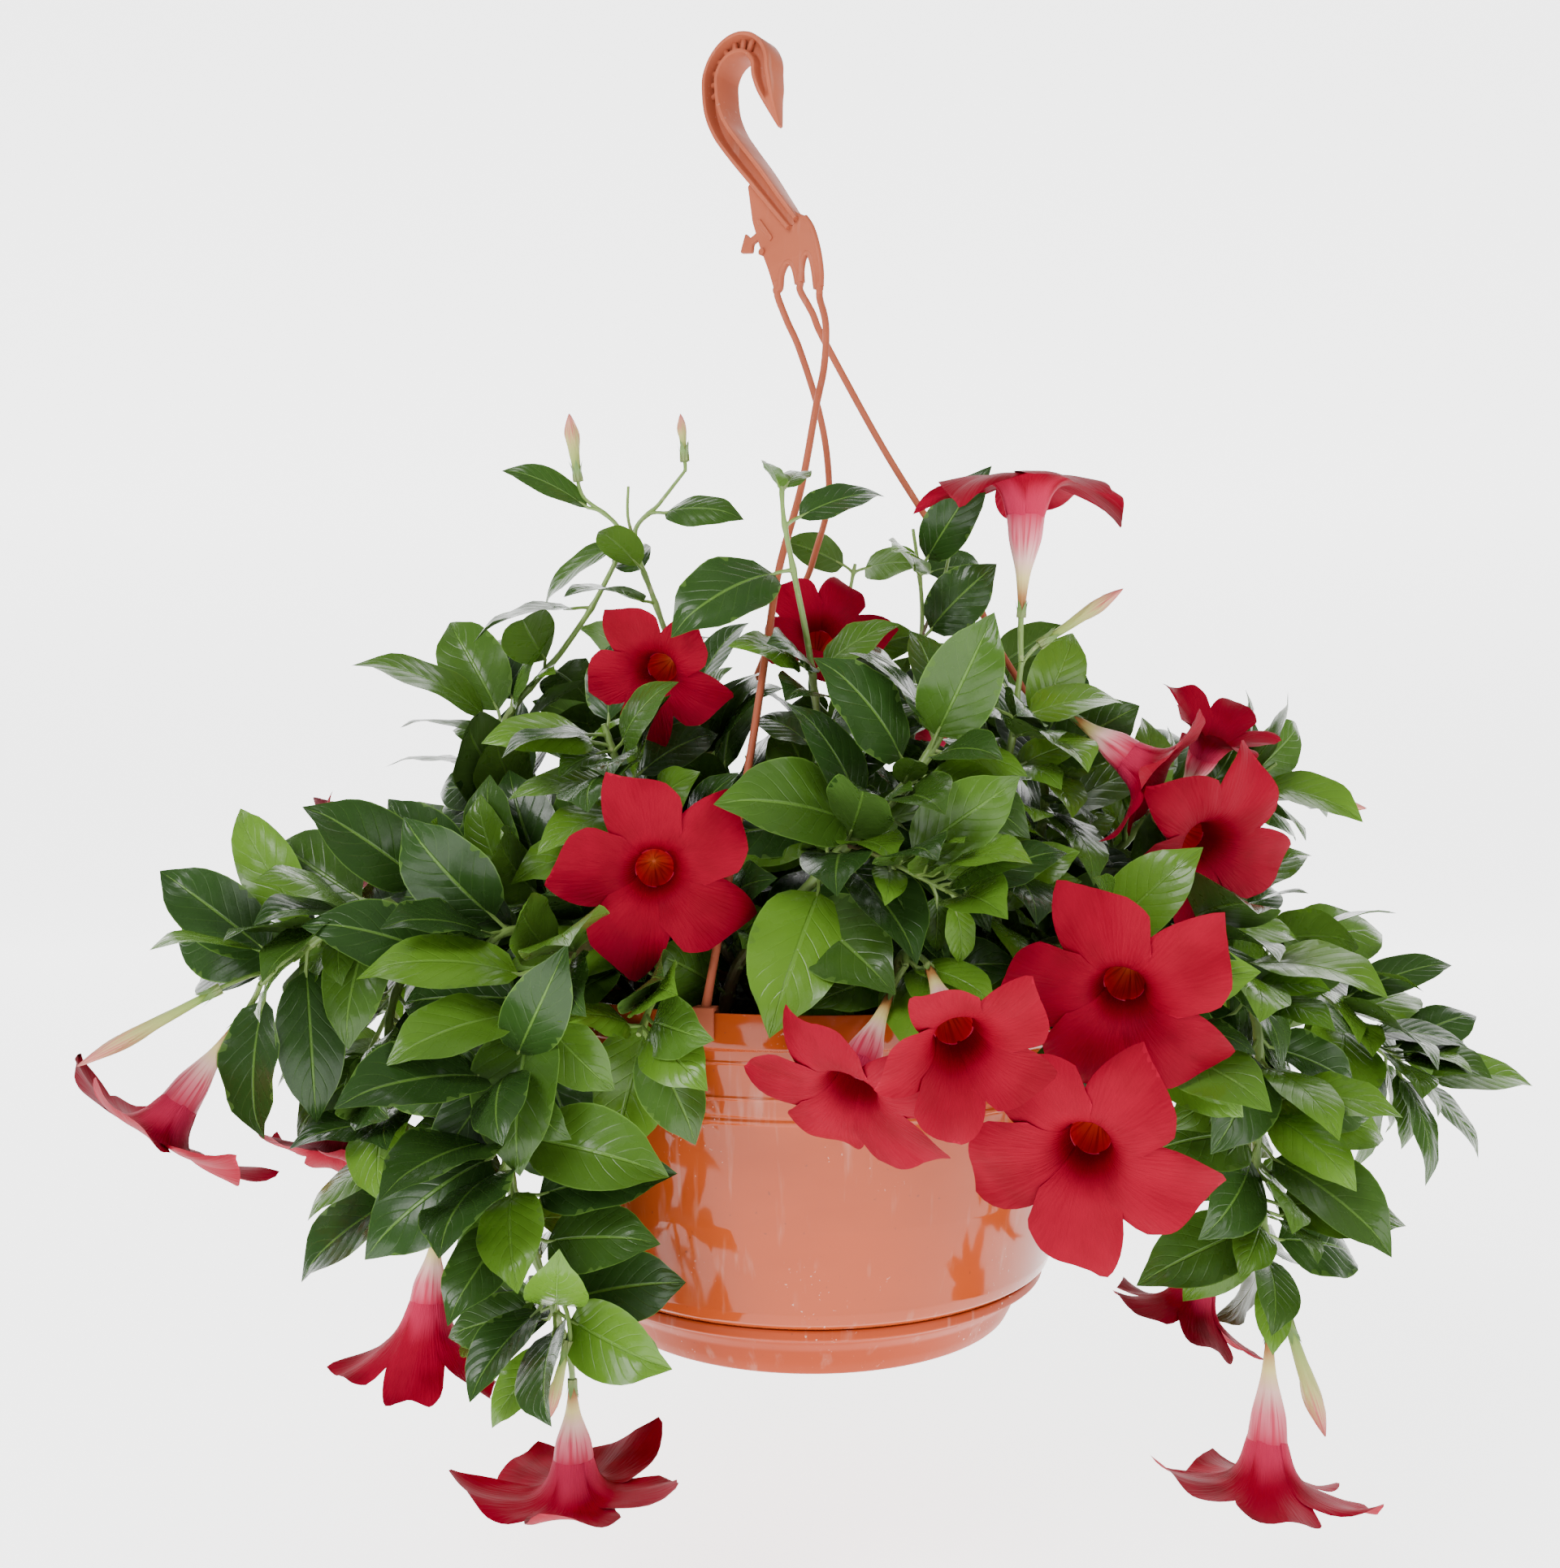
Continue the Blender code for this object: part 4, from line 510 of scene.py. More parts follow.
def bridge(ring: Iterable[int], following: Iterable[int]) -> list[tuple[int, int, int]]:
    """Triangles between two closed rings; the second may hold four times as many points.

    Args:
        ring: vertex numbers of the first ring.
        following: those of the second.

    Returns:
        Vertex numbers of each triangle.
    """
    ring = list(ring)
    following = list(following)
    share = len(following) // len(ring)
    faces = []
    for i, a in enumerate(ring):
        b = ring[(i + 1) % len(ring)]
        outer = [following[(share * i + k) % len(following)] for k in range(share + 1)]
        middle = share // 2
        faces += [(a, outer[k + 1], outer[k]) for k in range(middle)]
        faces.append((a, b, outer[middle]))
        faces += [(b, outer[k + 1], outer[k]) for k in range(middle, share)]
    return faces


def tube_faces(rings: int, sides: int) -> list[tuple[int, int, int]]:
    """Triangles between closed rings of vertices that follow one another.

    Args:
        rings: how many rings there are.
        sides: vertices in each.

    Returns:
        Vertex numbers of each triangle.
    """
    return [face for start in range(0, (rings - 1) * sides, sides)
            for face in bridge(range(start, start + sides),
                               range(start + sides, start + 2 * sides))]


def sleeve(points: list[Vector], radius: float) -> Solid:
    """Vertices and triangles of an eight-sided tube along points.

    Args:
        points: places along the axis.
        radius: the same at all of them.

    Returns:
        The solid, open at its ends.
    """
    sides = CROSSING_SIDES
    vertices = []
    for i, point in enumerate(points):
        ahead = points[min(i + 1, len(points) - 1)] - points[max(i - 1, 0)]
        across = square_to(Vector((0.3, 0.5, 0.8)), ahead.normalized())
        other = ahead.normalized().cross(across)
        for k in range(sides):
            turn = 2 * math.pi * k / sides
            vertices.append(point + radius * (across * math.cos(turn) + other * math.sin(turn)))
    return vertices, tube_faces(len(points), sides)


def turned_wall(profile: Points) -> Solid:
    """Vertices and triangles of an open surface of revolution, for clearance tests.

    Args:
        profile: radius and height along the surface.

    Returns:
        The open solid.
    """
    turns = [2 * math.pi * k / WALL_STEPS for k in range(WALL_STEPS)]
    vertices = [Vector((radius * math.cos(turn), radius * math.sin(turn), z))
                for radius, z in profile for turn in turns]
    return vertices, tube_faces(len(profile), WALL_STEPS)


def box_of(points: Sequence[Vector]) -> tuple[list[float], list[float]]:
    """Lowest and highest corner round some points."""
    return tuple([pick(p[a] for p in points) for a in range(3)] for pick in (min, max))


class Surroundings:
    """What has been placed so far, for finding leaves that would cross it."""

    def __init__(self) -> None:
        """Start with nothing placed."""
        self.solids: list[tuple] = []

    def add(self, solid: Solid, owner: str) -> None:
        """Remember a placed solid and whose it is."""
        self.solids.append((owner, *box_of(solid[0]), BVHTree.FromPolygons(*solid)))

    def crossed(self, solid: Solid, skip: Sequence[str] = ()) -> str | None:
        """The owner of the first placed solid that the given one crosses, or None.

        Args:
            solid: vertices and faces to test.
            skip: owners that don't count.

        Returns:
            The owner's name, or None where the solid is clear.
        """
        low, high = box_of(solid[0])
        tree = BVHTree.FromPolygons(*solid)
        for owner, other_low, other_high, other in self.solids:
            if owner in skip:
                continue
            if any(low[a] > other_high[a] or high[a] < other_low[a] for a in range(3)):
                continue
            if tree.overlap(other):
                return owner
        return None


@dataclass
class PlacedLeaf:
    """A leaf in its final place, in millimetres."""

    root: Vector
    base: Vector
    along: Vector
    up: Vector
    length: float
    width: float
    fine: bool

    def midrib(self, t: float) -> tuple[Vector, Vector]:
        """Point and upper normal of the evenly bent midrib, t from 0 (base) to 1 (tip).

        Args:
            t: place from base to tip.

        Returns:
            The point and the normal.
        """
        reach = self.length / SPRING_ANGLE
        turn = SPRING_ANGLE * t
        point = (self.base + self.along * (reach * math.sin(turn))
                 - self.up * (reach * (1 - math.cos(turn))))
        return point, self.up * math.cos(turn) + self.along * math.sin(turn)

    def solid(self, thick: float, stalk: bool = True) -> Solid:
        """Vertices and triangles of the blade, lens-shaped across, with or without stalk.

        Args:
            thick: thickness in the middle, in mm.
            stalk: whether the stalk is in.

        Returns:
            The closed solid.
        """
        side = self.along.cross(self.up)
        rings = []
        if stalk:
            rings.append(self.stalk_ring(self.root, side, 0.5 * PETIOLE))
            rings.append(self.stalk_ring(self.base, side, PETIOLE))
        for t in (0.2, 0.47, 0.78) if self.fine else (0.26, 0.68):
            point, normal = self.midrib(t)
            half = self.width * float(half_width(np.array(t)))
            left, right = point - side * half, point + side * half
            if self.fine:
                lift = normal * (half * FOLD)
                rings.append((left + lift, point + normal * thick / 2,
                              right + lift, point - normal * thick / 2))
            else:
                rings.append((left, right, point - normal * thick))
        vertices = [v for ring in rings for v in ring] + [self.midrib(1.0)[0]]
        corners = len(rings[0])
        faces = [(0, k, k + 1) for k in range(1, corners - 1)] + tube_faces(len(rings), corners)
        last = len(vertices) - 1
        faces += [(last - corners + k, last - corners + (k + 1) % corners, last)
                  for k in range(corners)]
        return vertices, faces

    def stalk_ring(self, point: Vector, side: Vector, half: float) -> tuple[Vector, ...]:
        """Corners of the stalk's section: a diamond, or a triangle under a plain leaf.

        Args:
            point: centre of the section.
            side: direction across it.
            half: half its size.

        Returns:
            The corners in order.
        """
        if self.fine:
            return (point - side * half, point + self.up * half,
                    point + side * half, point - self.up * half)
        return (point - side * half, point + side * half, point - self.up * 2 * half)


def half_width(t: Array) -> Array:
    """Half a blade's width over its full width at t from base to tip.

    It is ovate, t^0.6 (1 - t)^0.85, widest at two fifths, and drawn out to a tip by up to
    30 percent over the last quarter.

    Args:
        t: place from base to tip, 0 to 1.

    Returns:
        The share at each place.
    """
    body = t ** 0.6 * (1 - t) ** 0.85 / 0.374
    drip = np.clip((t - 0.72) / 0.2, 0.0, 1.0)
    return 0.5 * body * (1 - 0.3 * drip * drip * (3 - 2 * drip))


def aimed_leaf(points: list[Vector], at: float, size: tuple[float, float], aim: Vector,
               face: Sequence[float], trial: tuple[float, float, float],
               fine: bool) -> PlacedLeaf:
    """A leaf on a shoot, aimed, then swayed round the shoot, leant and scaled by a trial.

    Args:
        points: the shoot's polyline.
        at: fraction of the shoot's length.
        size: length and width of the blade.
        aim: direction from base to tip.
        face: direction that the blade faces, or nothing for up and outward.
        trial: sway and lean in degrees, and scale.
        fine: whether the blade has the folded section.

    Returns:
        The leaf in that place.
    """
    sway, lean, scale = trial
    length, width = size[0] * scale, size[1] * scale
    root, ahead = place_on(points, at)
    aim = Quaternion(ahead, math.radians(sway)) @ Vector(aim).normalized()
    face = Vector(face) if face else light_side(root)
    up = Quaternion(aim, math.radians(lean)) @ square_to(face, aim)
    half = SPRING_ANGLE / 2
    along = aim * math.cos(half) + up * math.sin(half)
    up = up * math.cos(half) - aim * math.sin(half)
    stalk = (aim + ahead * 0.25).normalized() * (0.13 * length + 1.5)
    return PlacedLeaf(root, root + stalk, along, up, length, width, fine)


TRIES = ((0, 0, 1.0), (14, 0, 1.0), (-14, 0, 1.0), (0, 25, 1.0), (0, -25, 1.0), (28, 10, 1.0),
         (-28, -10, 1.0), (42, 0, 0.9), (-42, 0, 0.9), (60, 15, 0.85), (-60, -15, 0.85),
         (20, 45, 0.75), (-20, -45, 0.75), (85, 0, 0.75), (-85, 0, 0.75), (0, 0, 0.65))


def leaves_by_rule(shoot: Shoot, points: list[Vector],
                   rng: random.Random) -> Iterator[tuple[float, float, float, Vector]]:
    """Opposite pairs of a shoot, each pair a quarter turn on from the last.

    Args:
        shoot: the shoot's own values.
        points: its polyline.
        rng: seeded random source.

    Returns:
        Place, length, width and aim of each leaf in turn.
    """
    first, last = shoot.span
    for k in range(shoot.pairs):
        share = k / max(1, shoot.pairs - 1)
        at = first + (last - first) * share
        root, ahead = place_on(points, at)
        level = square_to(Vector((0, 0, 1)).cross(ahead), ahead)
        turn = math.radians(90 * k + rng.uniform(-22, 22))
        across = Quaternion(ahead, turn) @ level
        size = shoot.size[0] + (shoot.size[1] - shoot.size[0]) * share
        for side in (1, -1):
            length = size * rng.uniform(0.9, 1.06)
            aim = (across * side * 0.85 + ahead * 0.4 + outward_of(root) * 0.3
                   + Vector((0, 0, rng.uniform(-0.4, 0.05))))
            yield at, length, length * rng.uniform(0.5, 0.6), aim


def bloom_frame(bloom: Bloom) -> tuple[Vector, Vector, Vector, float]:
    """Axis, two square directions and tube length of a bloom.

    Args:
        bloom: the bloom.

    Returns:
        The axis, its two square directions and the length.
    """
    base, face = Vector(bloom.base), Vector(bloom.face)
    axis = (face - base).normalized()
    across = square_to(Vector((0, 0, 1)) if abs(axis.z) < 0.9 else Vector((1, 0, 0)), axis)
    return axis, across, axis.cross(across), (face - base).length


def bloom_spreads(bloom: Bloom) -> list[float]:
    """How far each of the five petals opens, in radians, with a seeded difference."""
    rng = random.Random(round(bloom.width * 7 + bloom.turn + bloom.base[0]))
    return [math.radians(bloom.spread + rng.uniform(-9, 9)) for _ in range(PETALS)]


def bloom_solid(bloom: Bloom) -> Solid:
    """Vertices and triangles of a bloom: calyx, funnel tube and five skewed petals.

    Args:
        bloom: the bloom.

    Returns:
        The solid, as the part has it.
    """
    base = Vector(bloom.base)
    axis, across, other, tube = bloom_frame(bloom)
    radius = bloom.width * 0.54
    lip = min(9.0, radius * 0.25)
    spreads = bloom_spreads(bloom)

    def spot(degrees: float, r: float, z: float) -> Vector:
        """Point at an angle, radius and height in the bloom's own frame."""
        turn = math.radians(degrees + bloom.turn)
        return base + axis * z + (across * math.cos(turn) + other * math.sin(turn)) * r

    def ring5(r: float, z: float) -> list[Vector]:
        """Five points round the tube."""
        return [spot(FIFTH * i - 36, r, z) for i in range(PETALS)]

    edge = []
    for i in range(PETALS):
        for angle, share, lift in ((-36, 0.5, 0.0), (-16, 0.88, 0.05), (8, 1.0, 0.0),
                                   (24, 0.84, -0.07)):
            spread = spreads[i] if angle != -36 else (spreads[i] + spreads[i - 1]) / 2
            reach = radius * share - lip
            edge.append(spot(FIFTH * i + angle, lip + reach * math.sin(spread),
                             tube + reach * math.cos(spread) + lift * radius))
    rings = [ring5(1.7, 0), ring5(3.2, 0.34 * tube), ring5(0.8 * lip, 0.66 * tube),
             ring5(1.12 * lip, tube - 1.0), edge, ring5(0.98 * lip, tube + 0.6),
             ring5(0.3 * lip, 0.6 * tube)]
    faces = []
    start = 0
    for ring, following in zip(rings, rings[1:]):
        middle = start + len(ring)
        near, far = range(start, middle), range(middle, middle + len(following))
        faces += bridge(near, far) if len(ring) <= len(following) else bridge(far, near)
        start = middle
    return [v for ring in rings for v in ring], faces


def bud_solid(bud: Bud) -> Solid:
    """Vertices and triangles of a furled bud: a spindle swollen above its middle.

    Args:
        bud: the bud.

    Returns:
        The solid, as the part has it.
    """
    base, tip = Vector(bud.base), Vector(bud.tip)
    axis = tip - base
    across = square_to(Vector((0, 0, 1)), axis.normalized())
    other = axis.normalized().cross(across)
    vertices = []
    for share, radius in ((0, 0.4), (0.18, 0.5), (0.45, 0.72), (0.68, 1.0), (0.86, 0.6)):
        for k in range(6):
            turn = math.pi * k / 3
            vertices.append(base + axis * share + bud.radius * radius
                            * (across * math.cos(turn) + other * math.sin(turn)))
    vertices.append(tip)
    return vertices, tube_faces(5, 6) + [(24 + k, 24 + (k + 1) % 6, 30) for k in range(6)]


@dataclass
class PlantPlan:
    """The whole plant in its place: shoots, stalks and leaves of each stem.

    Large leaves come first, then the opposite pairs, both as in the solids; fill() then
    sets the extra foliage that only the looks have.
    """

    around: Surroundings = field(default_factory=Surroundings)
    shoots: dict[str, list[list[Vector]]] = field(default_factory=dict)
    stalks: dict[str, list[tuple[list[Vector], float]]] = field(default_factory=dict)
    leaves: dict[str, list[PlacedLeaf]] = field(default_factory=dict)

    def settle(self, owner: str, points: list[Vector], at: float,
               size: tuple[float, float], aim: Vector, face: Sequence[float],
               fine: bool) -> None:
        """Keep the first trial place of a leaf that crosses nothing, if there is one.

        Args:
            owner: the stem.
            points: the shoot's polyline.
            at: place along it.
            size: length and width of the blade.
            aim: direction of the blade.
            face: direction of its upper side, or empty for the usual one.
            fine: whether the blade has its full shape.
        """
        own = (owner, owner + " leaf")
        for trial in TRIES:
            leaf = aimed_leaf(points, at, size, aim, face, trial, fine)
            if self.around.crossed(leaf.solid(LEAF_THICK + 2 * CLEARANCE, stalk=False)):
                continue
            if self.around.crossed(leaf.solid(LEAF_THICK), own):
                continue
            self.around.add(leaf.solid(LEAF_THICK), own[1])
            self.leaves[owner].append(leaf)
            return

    def hard_pieces(self) -> None:
        """Add the pot, the soil and the strands as plain walls and sleeves."""
        outer = ((RIM_RADIUS + 3, POT_HEIGHT + 2), (RIM_RADIUS + 1, POT_HEIGHT - RIM_BAND),
                 (GROOVE_Z + 14, GROOVE_Z), (118.7, 38), (113.6, FOOT_TOP), (114.2, 20), (93, 0))
        inner = ((RIM_RADIUS - 3, POT_HEIGHT + 1), (129.5, SOIL_TOP - 2), (1, SOIL_TOP + 3.5))
        self.around.add(turned_wall(outer), "pot wall")
        self.around.add(turned_wall(inner), "soil surface")
        for name, route in STRAND_ROUTES.items():
            turn = math.radians(CLIP_ANGLES[name])
            foot = (RIM_RADIUS * math.cos(turn), RIM_RADIUS * math.sin(turn), POT_HEIGHT + 2)
            self.around.add(sleeve(catmull_rom(route + (foot,), 12), STRAND_RADIUS + 1.0), name)

    def grow(self) -> None:
        """Shoots and stalks, then large leaves, then pairs: what comes first is in the way."""
        self.hard_pieces()
        tubes = {}
        for name, parts in STEMS.items():
            self.shoots[name] = [catmull_rom(shoot.route, STEM_STEP) for shoot in parts]
            tubes[name] = []
            for number, (shoot, points) in enumerate(zip(parts, self.shoots[name])):
                if number == 0:
                    points = [Vector((points[0].x, points[0].y, PLUG_BOTTOM))] + points
                tubes[name].append((points, max(shoot.thick)))
            self.stalks[name] = []
        ends = [(bloom, BLOOM_STALK, bloom.face) for bloom in BLOOMS.values()]
        ends += [(bud, BUD_STALK, bud.tip) for bud in BUDS.values()]
        for spec, thick, far in ends:
            start = place_on(self.shoots[spec.stem][0], spec.at)[0]
            axis = (Vector(far) - Vector(spec.base)).normalized()
            stalk = stalk_points(start, Vector(spec.base), axis)
            self.stalks[spec.stem].append((stalk, thick))
            tubes[spec.stem].append((stalk, thick))
        for table, make in ((BLOOMS, bloom_solid), (BUDS, bud_solid)):
            for name, spec in table.items():
                self.around.add(make(spec), name)
        for name, parts in tubes.items():
            for points, thick in parts:
                self.around.add(sleeve(points, thick + 0.8), name)
        self.leaves = {name: [] for name in STEMS}
        for name, parts in STEMS.items():
            for shoot, points in zip(parts, self.shoots[name]):
                for leaf in shoot.leaves:
                    self.settle(name, points, leaf.at, (leaf.length, leaf.width),
                                Vector(leaf.aim), leaf.face, leaf.length > FINE_FROM)
        rng = random.Random(PLAN_SEED)
        for name, parts in STEMS.items():
            for shoot, points in zip(parts, self.shoots[name]):
                for at, length, width, aim in leaves_by_rule(shoot, points, rng):
                    self.settle(name, points, at, (length, width), aim, (), False)

    def stray_leaf(self, points: list[Vector], size: float,
                   rng: random.Random) -> PlacedLeaf | None:
        """A leaf anywhere on a shoot, aimed at random, or none where the shoot is bare.

        Args:
            points: the shoot's polyline.
            size: usual length of the blade.
            rng: seeded random source.

        Returns:
            The leaf, not yet tested, or None.
        """
        at = rng.uniform(0.05, 0.95)
        root, ahead = place_on(points, at)
        if rng.random() < (root.z - BARE_FROM) / BARE_OVER:
            return None
        across = square_to(Vector([rng.gauss(0, 1) for _ in range(3)]), ahead)
        aim = (across * 0.9 + ahead * rng.uniform(0.1, 0.6) + outward_of(root) * 0.25
               + Vector((0, 0, rng.uniform(-0.4, 0.25))))
        length = size * rng.uniform(0.85, 1.15) * (1.1 - 0.3 * at)
        width = length * rng.uniform(0.52, 0.62)
        trial = (rng.uniform(-30, 30), rng.uniform(-25, 25), 1.0)
        return aimed_leaf(points, at, (length, width), aim, (), trial, False)

    def fill(self, low: Vector, high: Vector) -> int:
        """Extra leaves all along the shoots, inside the solids' own box.

        Args:
            low: lowest corner of the box, in millimetres.
            high: highest corner.

        Returns:
            How many leaves were added.
        """
        rng = random.Random(FILL_SEED)
        added = 0
        shoots = [(name, points) for name, parts in self.shoots.items() for points in parts]
        for size, rounds, margin in FILL_SIZES:
            for name, points in shoots:
                for _ in range(rounds * max(2, len(points) - 1)):
                    leaf = self.stray_leaf(points, size, rng)
                    if leaf is None:
                        continue
                    tip = leaf.midrib(1.0)[0]
                    if any(not low[a] + BOX_MARGIN < tip[a] < high[a] - BOX_MARGIN
                           for a in range(3)):
                        continue
                    if self.around.crossed(leaf.solid(LEAF_THICK + 2 * margin, stalk=False)):
                        continue
                    self.around.add(leaf.solid(LEAF_THICK), name + " leaf")
                    self.leaves[name].append(leaf)
                    added += 1
        return added


@dataclass
class Placement:
    """Where the planning millimetres lie in the frame, and the box that meshes stay in."""

    offset: Array
    low: Array | float = -math.inf
    high: Array | float = math.inf

    @classmethod
    def from_frame(cls, box: Points) -> "Placement":
        """The pot's axis is the middle of the saucer's box, and z = 0 is its underside.

        Args:
            box: lowest and highest corner of all the solids, in metres.

        Returns:
            The placement.
        """
        low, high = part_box("saucer")
        centre = np.array([(low.x + high.x) / 2, (low.y + high.y) / 2, low.z])
        return cls(centre, np.array(box[0]), np.array(box[1]))

    def metres(self, points: Array) -> Array:
        """Points in millimetres about the pot's axis, as metres in the frame, in its box."""
        return np.clip(points * MM + self.offset, self.low, self.high)

    def millimetres(self, point: Vector) -> Vector:
        """A point of the frame, as millimetres about the pot's axis."""
        return Vector((np.array(point) - self.offset) / MM)


def linked(name: str, data: bpy.types.ID) -> Piece:
    """A new object of some data, in the scene.

    Args:
        name: its name.
        data: its mesh, curve, light or camera.

    Returns:
        The object.
    """
    item = bpy.data.objects.new(name, data)
    bpy.context.scene.collection.objects.link(item)
    return item


def as_piece(name: str, mesh: bpy.types.Mesh, sharp: float,
             outward: bool = False) -> Piece:
    """Make a mesh a piece: welded, shaded smooth and put in the scene.

    Args:
        name: the piece's name.
        mesh: its mesh, in the frame's metres.
        sharp: angle in degrees past which an edge stays sharp.
        outward: whether its faces have to be turned outwards first.

    Returns:
        The new object, at the origin, with its place in its mesh.
    """
    shape = bmesh.new()
    shape.from_mesh(mesh)
    bmesh.ops.remove_doubles(shape, verts=shape.verts, dist=WELD)
    if outward:
        bmesh.ops.recalc_face_normals(shape, faces=shape.faces)
    shape.to_mesh(mesh)
    shape.free()
    mesh.shade_smooth()
    mesh.set_sharp_from_angle(angle=math.radians(sharp))
    return linked(name, mesh)


@dataclass
class Skin:
    """Grid patches that together make one piece, with UVs, a tint and finishes."""

    name: str
    points: list[Array] = field(default_factory=list)
    faces: list[Array] = field(default_factory=list)
    uvs: list[Array] = field(default_factory=list)
    tints: list[Array] = field(default_factory=list)
    slots: list[Array] = field(default_factory=list)
    count: int = 0

    def add(self, grid: Array, uv: Array | None = None, tint: Array | float = 0.5,
            slot: Array | int = 0, flip: bool = False) -> None:
        """Add one patch, or a stack of like patches.

        Args:
            grid: points, shaped (rows, columns, 3) or (copies, rows, columns, 3).
            uv: pattern coordinates of the same shape, or none for the grid's own shares.
            tint: a value for every point, or one for each copy.
            slot: number of the finish, or one for each row of faces.
            flip: whether the faces turn the other way round.
        """
        if grid.ndim == 3:
            grid = grid[None]
        copies, rows, columns, _ = grid.shape
        if uv is None:
            u, v = np.meshgrid(np.linspace(0, 1, rows), np.linspace(0, 1, columns), indexing="ij")
            uv = np.stack([u, v], -1)
        uv = np.broadcast_to(uv, (copies, rows, columns, 2))
        tint = np.broadcast_to(np.asarray(tint, float).reshape(-1, 1, 1)
                               if np.ndim(tint) < 2 else tint, (copies, rows, columns))
        index = np.arange(rows * columns).reshape(rows, columns)
        quads = np.stack([index[:-1, :-1], index[1:, :-1], index[1:, 1:], index[:-1, 1:]], -1)
        quads = quads.reshape(-1, 4)
        if flip:
            quads = quads[:, ::-1]
        steps = np.arange(copies)[:, None, None] * rows * columns
        slots = np.broadcast_to(np.asarray(slot).reshape(-1, 1), (rows - 1, columns - 1))
        self.faces.append((quads[None] + steps).reshape(-1, 4) + self.count)
        self.slots.append(np.tile(slots.reshape(-1), copies))
        self.points.append(grid.reshape(-1, 3))
        self.uvs.append(uv.reshape(-1, 2))
        self.tints.append(tint.reshape(-1))
        self.count += copies * rows * columns

    def drop_faces(self, box_test: Array) -> None:
        """Leave out faces of the last patch where the test, one value a face, is true."""
        self.faces[-1] = self.faces[-1][~box_test]
        self.slots[-1] = self.slots[-1][~box_test]

    def build(self, place: Placement, finishes: Sequence[Material],
              sharp: float = 40.0) -> Piece:
        """Make the piece from its patches.

        Args:
            place: where the millimetres lie in the frame.
            finishes: materials by slot number.
            sharp: angle in degrees past which an edge stays sharp.

        Returns:
            The new object, at the origin, with its place in its mesh.
        """
        points = place.metres(np.concatenate(self.points)).astype(np.float32)
        faces = np.concatenate(self.faces).astype(np.int32)
        mesh = bpy.data.meshes.new(self.name)
        mesh.vertices.add(len(points))
        mesh.vertices.foreach_set("co", points.ravel())
        mesh.loops.add(faces.size)
        mesh.loops.foreach_set("vertex_index", faces.ravel())
        mesh.polygons.add(len(faces))
        mesh.polygons.foreach_set("loop_start", np.arange(0, faces.size, 4, dtype=np.int32))
        mesh.polygons.foreach_set("material_index", np.concatenate(self.slots).astype(np.int32))
        layer = mesh.uv_layers.new(name="pattern")
        layer.data.foreach_set("uv", np.concatenate(self.uvs)[faces.ravel()].astype(np.float32)
                               .ravel())
        tint = mesh.attributes.new("tint", "FLOAT", "POINT")
        tint.data.foreach_set("value", np.concatenate(self.tints).astype(np.float32))
        mesh.update(calc_edges=True)
        for finish in finishes:
            mesh.materials.append(finish)
        return as_piece(self.name, mesh, sharp)


def unit(vectors: Array) -> Array:
    """Vectors over their own length."""
    return vectors / np.maximum(np.linalg.norm(vectors, axis=-1, keepdims=True), 1e-9)


def shell_of(grid: Array, thick: Array) -> tuple[Array, Array]:
    """Upper and lower face of a thin sheet: its grid moved half a thickness along its normal.

    Args:
        grid: points of the sheet's middle, (..., rows, columns, 3).
        thick: thickness at each row and column, 0 where both faces meet.

    Returns:
        The upper and the lower grid.
    """
    down = np.gradient(grid, axis=-3)
    across = np.gradient(grid, axis=-2)
    normal = unit(np.cross(down, across))
    step = normal * (thick[..., None] / 2)
    return grid + step, grid - step


def smooth(t: Array, low: float, high: float) -> Array:
    """Smooth step from 0 at low to 1 at high."""
    s = np.clip((t - low) / (high - low), 0, 1)
    return s * s * (3 - 2 * s)


def fluent(knots: Points, count: int) -> Array:
    """Points evenly spaced by parameter on a smooth curve through a few knots, any dimension.

    It is the same four-knot cubic as the shoots' curves, worked out as one array.

    Args:
        knots: the curve's own points.
        count: how many points to return.

    Returns:
        An array (count, dimension).
    """
    p = np.asarray(knots, float)
    p = np.concatenate([p[:1], p, p[-1:]])
    s = np.linspace(0, len(p) - 3 - 1e-9, count)
    i = s.astype(int)
    t = (s - i)[:, None]
    a, b, c, d = p[i], p[i + 1], p[i + 2], p[i + 3]
    return 0.5 * (2 * b + (c - a) * t + (2 * a - 5 * b + 4 * c - d) * t ** 2
                  + (3 * b - a - 3 * c + d) * t ** 3)


def toward(corner: Array, other: Array, radius: Array | float) -> Array:
    """Each corner moved towards another by a radius, or 0.45 of the way where that is less.

    Args:
        corner: the corners.
        other: where each is headed.
        radius: how far, in mm.

    Returns:
        The moved corners.
    """
    way = other - corner
    reach = np.minimum(radius, 0.45 * np.linalg.norm(way, axis=-1))
    return corner + unit(way) * reach[..., None]


def rounded(profile: Points, radius: float, steps: int = 3) -> Array:
    """A profile with each inner corner replaced by a short parabola.

    Args:
        profile: corner points, in order.
        radius: how far from a corner the curve starts, at most 0.45 of either side.
        steps: points along each curve, less one.

    Returns:
        The rounded profile as an array.
    """
    p = np.asarray(profile, float)
    corner = p[1:-1]
    start, end = toward(corner, p[:-2], radius), toward(corner, p[2:], radius)
    t = np.linspace(0, 1, steps + 1)[None, :, None]
    curve = (start[:, None] * (1 - t) ** 2 + corner[:, None] * 2 * t * (1 - t)
             + end[:, None] * t ** 2)
    return np.concatenate([p[:1], curve.reshape(-1, p.shape[1]), p[-1:]])


def full_turn(count: int) -> Array:
    """Angles all the way round, the first one again at the end."""
    return np.linspace(0, 2 * np.pi, count + 1)


